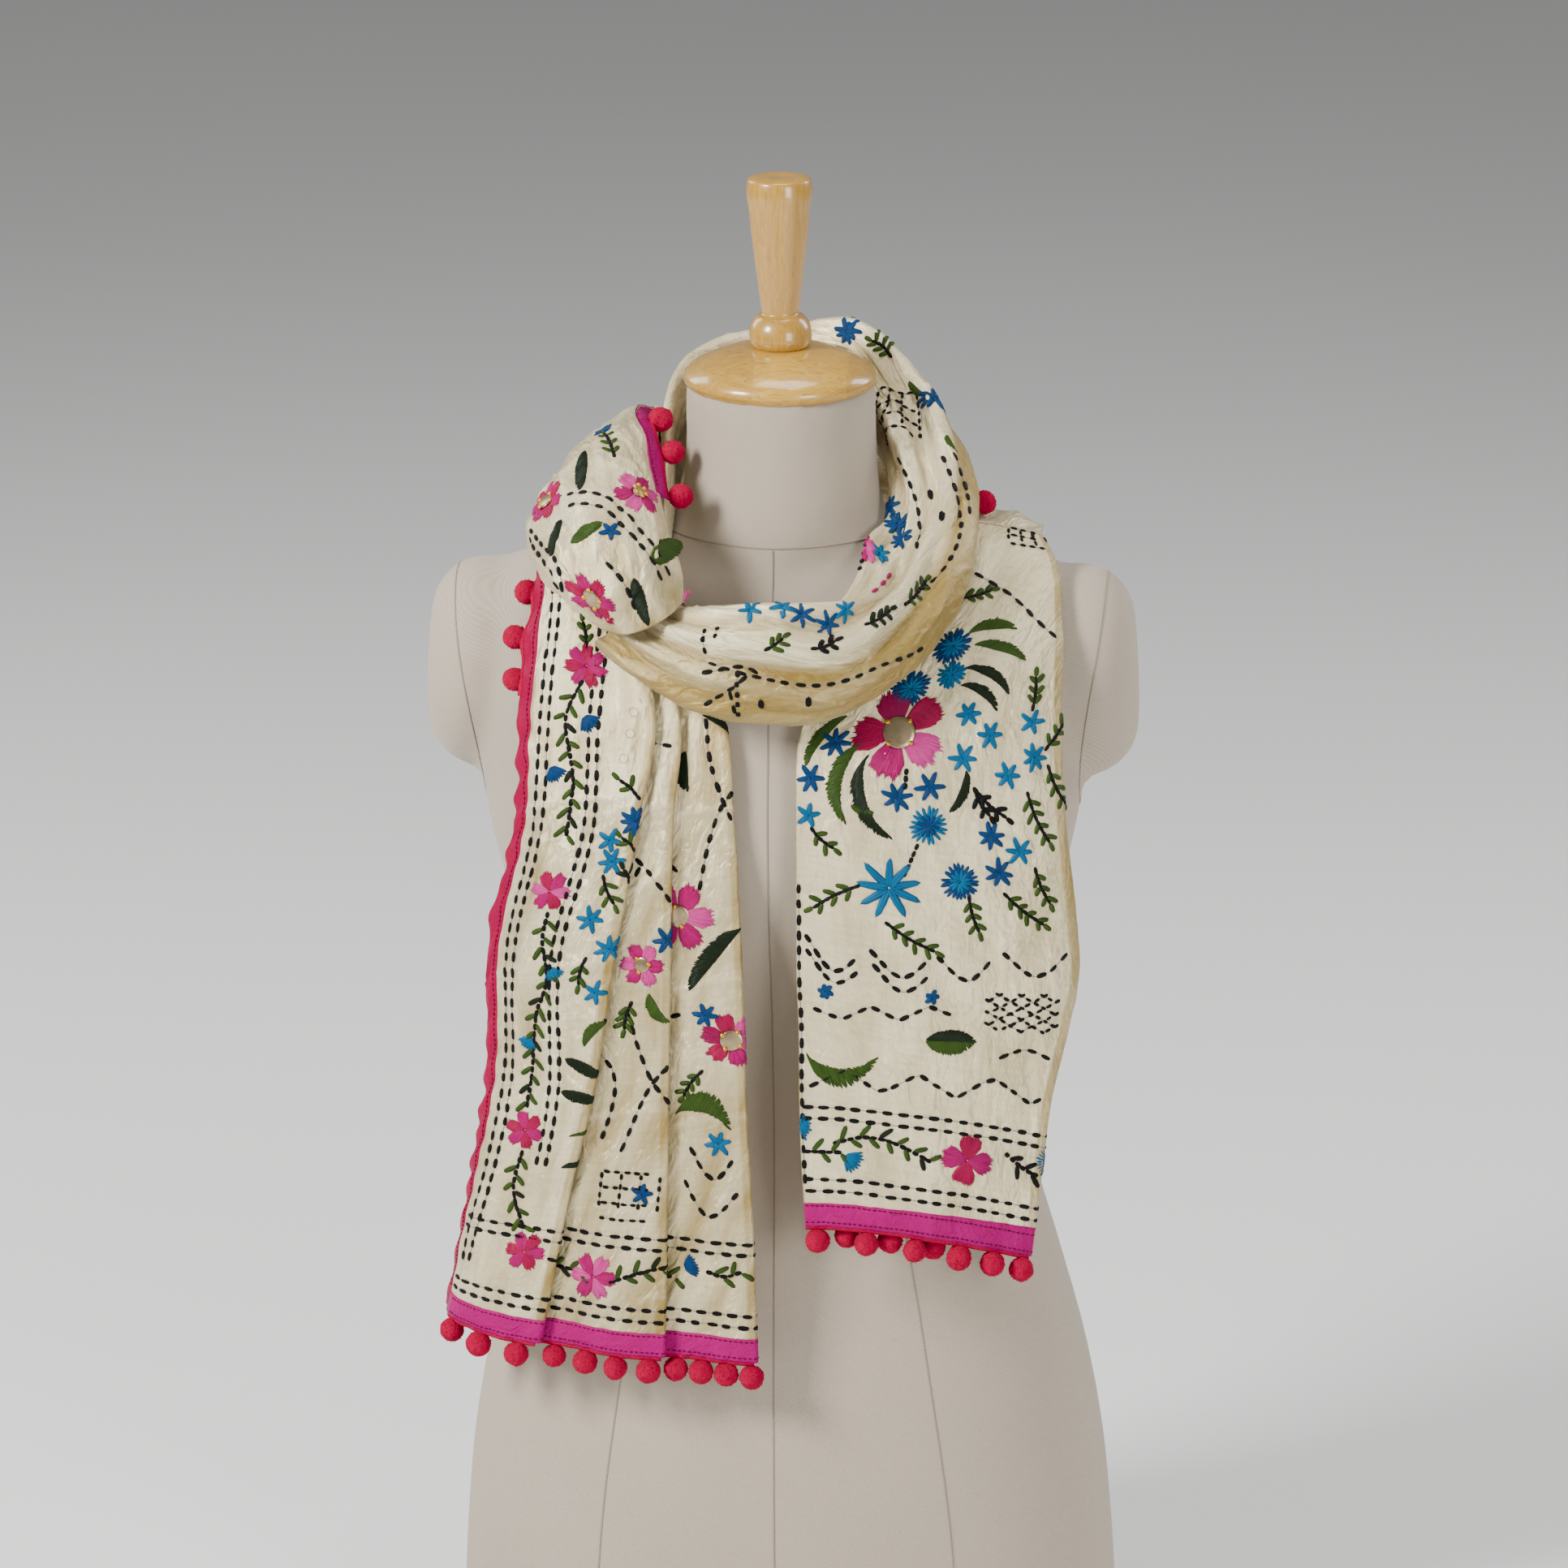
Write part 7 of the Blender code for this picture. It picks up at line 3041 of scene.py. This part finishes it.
RIGHT_MOTIFS: tuple[Motif, ...] = (
    Flower(Pixel(1108, 901), 28.5, PINKS, mirror=9.0, petals=5, turn=35),
    *(Burst(at, 11.5) for at in pixels((1173, 796), (1121, 849), (1183, 1085))),
    Burst(Pixel(1143, 1017), 11.5, 20, (Thread.CYAN, Thread.BLUE)),
    Lattice(pixels((1246, 636), (1298, 642), (1296, 678), (1242, 670)), 3, 2),
    Run(pixels((1196, 704), (1256, 742), (1306, 790))), Sprig(Pixel(1182, 738), Pixel(1222, 728), 3, 6.5),
    Burst(Pixel(1173, 832), 9.0, 16, (Thread.CYAN, Thread.CYAN)),
    Star(Pixel(1096, 1092), 19.0, 9, width=4.4), Star(Pixel(1192, 880), 8.0), Star(Pixel(1221, 908), 8.5),
    Star(Pixel(1271, 892), 8.5, 5), Star(Pixel(1187, 933), 9.0), Star(Pixel(1274, 935), 8.5, 7),
    Star(Pixel(1240, 955), 8.5), Star(Pixel(998, 960), 9.0, 6, Thread.BLUE), Star(Pixel(997, 1005), 8.0, 5),
    Star(Pixel(1258, 1051), 9.0), Star(Pixel(1030, 915), 9.5, 7, Thread.BLUE),
    Star(Pixel(1105, 983), 9.5, 7, Thread.BLUE), Star(Pixel(1147, 969), 9.5, 6, Thread.BLUE),
    Star(Pixel(1220, 1030), 9.0, 7, Thread.BLUE), Star(Pixel(1230, 1076), 9.5, 7, Thread.BLUE),
    Leaf(Pixel(1046, 883), Pixel(992, 942), (1, 8)), Leaf(Pixel(1067, 915), Pixel(1042, 1017), (7, 16)),
    Leaf(Pixel(1071, 930), Pixel(1099, 1035), (8, 16.5), Thread.DARK_GREEN),
    Leaf(Pixel(1049, 990), Pixel(1076, 1003), (-1, 4)),
    Leaf(Pixel(1187, 824), Pixel(1242, 858), (-3, -9), Thread.DARK_GREEN),
    Leaf(Pixel(1183, 844), Pixel(1228, 878), (-2, -8), Thread.DARK_GREEN),
    Leaf(Pixel(1190, 949), Pixel(1169, 1001), (-1, -7), Thread.DARK_GREEN),
    Leaf(Pixel(1194, 783), Pixel(1255, 774), (-1, -9), spacing=1.7),
    Leaf(Pixel(1199, 796), Pixel(1264, 814), (-1, -8), spacing=1.7),
    Leaf(Pixel(994, 1296), Pixel(1083, 1303), (8, 20)),
    Leaf(Pixel(1140, 1283), Pixel(1203, 1285), (1.0, -7), Thread.DARK_GREEN),
    Leaf(Pixel(1140, 1283), Pixel(1203, 1285), (-1.0, 8.5)),
    Sprig(Pixel(1272, 875), Pixel(1277, 835), 3, 6.9), Sprig(Pixel(1287, 924), Pixel(1308, 884), 3, 6.9),
    Sprig(Pixel(1290, 942), Pixel(1311, 990), 3, 6.9), Sprig(Pixel(1265, 974), Pixel(1292, 1036), 4, 7.1),
    Sprig(Pixel(1274, 1069), Pixel(1294, 1114), 3, 7.1),
    Sprig(Pixel(1237, 1099), Pixel(1286, 1138), 4, 7.1),
    Sprig(Pixel(1192, 1105), Pixel(1206, 1148), 3, 7.1),
    Sprig(Pixel(1090, 1137), Pixel(1152, 1172), 4, 7.3), Sprig(Pixel(999, 1018), Pixel(1028, 1046), 2, 7.1),
    Sprig(Pixel(1060, 1092), Pixel(1002, 1120), 3, 7.3),
    Sprig(Pixel(1200, 970), Pixel(1218, 1004), 2, 6.7, Thread.BLACK),
    Sprig(Pixel(1200, 970), Pixel(1240, 1006), 2, 6.7, Thread.BLACK),
    Run(pixels((1118, 945), (1113, 975)), dash=4, gap=0.2),
    Run(pixels((1130, 1040), (1110, 1085)), dash=4, gap=0.2),
    Run(pixels((990, 1150), (1030, 1196), (1070, 1166))),
    Run(pixels((1070, 1166), (1112, 1206), (1152, 1176))),
    Run(pixels((1152, 1176), (1192, 1210), (1232, 1172))),
    Run(pixels((1232, 1172), (1278, 1204), (1322, 1164))),
    Run(pixels((990, 1166), (1030, 1212), (1072, 1184))),
    Run(pixels((1072, 1184), (1112, 1222), (1154, 1192))),
    Lattice(pixels((1212, 1222), (1306, 1222), (1304, 1276), (1210, 1274)), 4, 3, True),
    Run(pixels((1000, 1240), (1036, 1256), (1072, 1240), (1108, 1256), (1144, 1240), (1184, 1256)), False),
    Star(Pixel(1016, 1222), 5.0, 6, Thread.BLUE), Star(Pixel(1148, 1230), 5.0, 5, Thread.BLUE),
    Run(pixels((994, 1340), (1040, 1318), (1086, 1346), (1132, 1322), (1178, 1352), (1224, 1328),
        (1270, 1362), (1296, 1346)), False), Run(pixels((1226, 1306), (1262, 1292), (1298, 1308))),
    *(HemRun(above, (0.0, 0.99)) for above in (21.5, 28.6, 65.3, 72.0)),
    HemRun(12.6, (0.0, 1.0), BINDING_SEAM), HemRun(2.6, (0.0, 1.0), BINDING_SEAM),
    EdgeRun(1.6, (0.52, 0.95)), Vine(pixels((990, 1418), (1042, 1420))),
    Bud(Pixel(1050, 1430), 11.0, Thread.CYAN, 35),
    Vine(pixels((1027, 1409), (1066, 1400), (1097, 1408), (1123, 1420), (1152, 1434))),
    Flower(Pixel(1192, 1430), 16.5, BRIGHT, petals=4, turn=8), Bud(Pixel(987, 1388), 11.0, Thread.CYAN, 0),
    Vine(pixels((1238, 1420), (1262, 1440), (1286, 1453)), leaves=(Thread.BLACK, Thread.DARK_GREEN)),
    Bud(Pixel(1288, 1431), 11.0, Thread.CYAN, 180),
)

LOOP_MOTIFS: tuple[Motif, ...] = (
    Run(pixels((872, 817), (927, 832), (1010, 845), (1075, 825), (1140, 795)), dash=6, width=2.1),
    Run(pixels((872, 772), (869, 815)), dash=4), Run(pixels((884, 770), (880, 800)), dash=4),
    Run(pixels((860, 830), (914, 822), (950, 845))), Run(pixels((911, 825), (905, 895)), dash=4),
    Run(pixels((925, 830), (885, 858), (862, 872)), width=2.2),
    Run(pixels((898, 848), (906, 896)), width=2.2), Dot(Pixel(938, 867), 3.6, 0),
    Dot(Pixel(996, 865), 3.6, 0), Star(Pixel(986, 757), 8.5, 6, Thread.BLUE, 2.6),
    Star(Pixel(1021, 769), 8.5, 6, Thread.BLUE, 2.6), Star(Pixel(1040, 752), 8.0, 6, width=2.6),
    Star(Pixel(925, 752), 8.0, 5), Star(Pixel(962, 748), 7.5, 5),
    Sprig(Pixel(940, 800), Pixel(966, 786), 2, 6.7),
    Sprig(Pixel(1000, 800), Pixel(1030, 790), 2, 6.7, Thread.BLACK),
    Sprig(Pixel(1066, 770), Pixel(1096, 752), 3, 6.7, Thread.DARK_GREEN),
    Sprig(Pixel(1115, 745), Pixel(1140, 716), 3, 6.7),
    Lattice(pixels((1082, 482), (1128, 484), (1134, 548), (1090, 550)), 3, 3), Dot(Pixel(1147, 609), 4.0),
    Dot(Pixel(1161, 636), 4.0), Star(Pixel(1045, 408), 9.5, 9, Thread.BLUE),
    Star(Pixel(1150, 490), 9.5, 9, Thread.BLUE), Leaf(Pixel(1120, 470), Pixel(1140, 486), (0, 4)),
    Leaf(Pixel(1168, 535), Pixel(1182, 556), (0, 4)), Sprig(Pixel(1100, 440), Pixel(1075, 420), 3, 6.7),
    Run(pixels((1172, 556), (1190, 600), (1196, 640))), Run(pixels((1160, 560), (1178, 604), (1184, 644))),
    Run(pixels((1186, 640), (1170, 690), (1130, 730))), Run(pixels((1104, 560), (1128, 620), (1130, 680))),
    Flower(Pixel(1062, 670), 11.5, PALE, petals=5, turn=20),
    *(Star(at, 8.5, 8, Thread.BLUE) for at in pixels((1095, 625), (1105, 645), (1108, 664))),
    Star(Pixel(1085, 682), 7.5), Run(pixels((1030, 640), (1040, 690), (1062, 712)), dash=4),
    Run(pixels((1072, 730), (1100, 702)), thread=Thread.MAGENTA),
    Vine((Spot(0.06, 0.7), Spot(0.16, 0.66), Spot(0.26, 0.7), Spot(0.34, 0.66))),
    Flower(Spot(0.2, 0.74), 10.0, BRIGHT, petals=5), Flower(Spot(0.4, 0.76), 11.0, PALE, petals=6),
    Star(Spot(0.3, 0.8), 7.0), Star(Spot(0.46, 0.62), 7.5, 6, Thread.BLUE),
)

PUFF_MOTIFS: tuple[Motif, ...] = (
    Flower(Pixel(672, 617), 16.5, BRIGHT, mirror=5.0, petals=7, squash=1.1),
    Flower(Pixel(731, 737), 13.5, BRIGHT, mirror=4.6, petals=7, squash=1.4),
    Flower(Pixel(788, 605), 16.0, (Thread.MAGENTA, Thread.LIGHT_PINK), mirror=4.0, petals=6, beads=6),
    Leaf(Pixel(721, 553), Pixel(714, 602), (-4, 5), Thread.DARK_GREEN),
    Leaf(Pixel(692, 642), Pixel(679, 687), (-3, 5), Thread.DARK_GREEN),
    Leaf(Pixel(781, 712), Pixel(797, 771), (-4, 6), Thread.DARK_GREEN),
    Leaf(Pixel(703, 668), Pixel(744, 645), (-5, 4)), Leaf(Pixel(802, 692), Pixel(842, 661), (-7, 9)),
    Bud(Pixel(742, 527), 9.4, Thread.BLUE, 60), Sprig(Pixel(758, 562), Pixel(744, 532), 3, 6.5),
    Run(pixels((695, 610), (742, 612), (795, 660), (830, 720))),
    Run(pixels((697, 622), (738, 624), (785, 668), (820, 726))),
    Run(pixels((650, 650), (690, 700), (690, 740))), Run(pixels((640, 660), (678, 708), (680, 745))),
    Run(pixels((745, 690), (770, 720), (790, 770))), Star(Pixel(752, 655), 7.0, 5, Thread.BLUE),
    Leaf(Pixel(845, 745), Pixel(868, 735), (-5, 5), Thread.LIGHT_PINK),
    EdgeRun(9.6, (0.43, 0.99), BINDING_SEAM), Flower(Spot(0.85, 0.55), 11.0, PALE, petals=5),
    Star(Spot(0.75, 0.75), 7.0),
)

BACK_MOTIFS: tuple[Motif, ...] = (
    Vine((Spot(0.15, 0.66), Spot(0.35, 0.6), Spot(0.5, 0.66), Spot(0.75, 0.6))),
    EdgeRun(9.6, (0.02, 0.98), BINDING_SEAM), EdgeRun(20.0, (0.05, 0.95)), EdgeRun(25.0, (0.05, 0.95)),
    Flower(Spot(0.25, 0.78), 10.0, BRIGHT, petals=6), Flower(Spot(0.6, 0.8), 11.0, PALE, petals=6),
    Star(Spot(0.44, 0.8), 7.0), Star(Spot(0.78, 0.78), 7.5, 6, Thread.BLUE),
    Leaf(Spot(0.66, 0.62), Spot(0.72, 0.84), (0, 6)),
)


def main() -> None:
    """Build the studio, the form and the stole."""
    logging.basicConfig(level=logging.INFO, format="%(message)s")
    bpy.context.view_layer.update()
    VIEW.build()
    studio = Studio()
    studio.floor()
    studio.lights()
    DressForm().build()
    neck_cap().build()
    cap_handle().build()
    pompoms = Pompoms()

    left = LeftTail()
    stretch = left.build()
    pompoms.left(left, stretch)
    stretch.embroider(LEFT_MOTIFS, 101)
    stretch.declare((0.36, 0.47), "folded", ["linen_form"])

    right = RightTail()
    stretch = right.build()
    pompoms.right(right, stretch)
    stretch.embroider(RIGHT_MOTIFS, 102)
    stretch.declare((0.45, 0.42), "folded", ["linen_form"])

    stretch = Loop().build()
    stretch.embroider(LOOP_MOTIFS, 103)
    stretch.declare((0.11, 0.58), "draped", ["linen_form"])

    puff = ShoulderPuff()
    stretch = puff.build()
    pompoms.neck_side(puff, stretch)
    stretch.embroider(PUFF_MOTIFS, 104)
    stretch.declare((0.13, 0.20), "draped", ["silk_left_tail", "silk_loop"])

    band = BackBand()
    stretch = band.build()
    pompoms.nape_side(band, stretch)
    stretch.embroider(BACK_MOTIFS, 105)
    stretch.declare((0.06, 0.34), "draped", ["linen_form", "silk_loop"])

    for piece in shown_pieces():
        log.info("%s: %d faces", piece.name, len(piece.data.polygons))


if __name__ == "__main__":
    main()
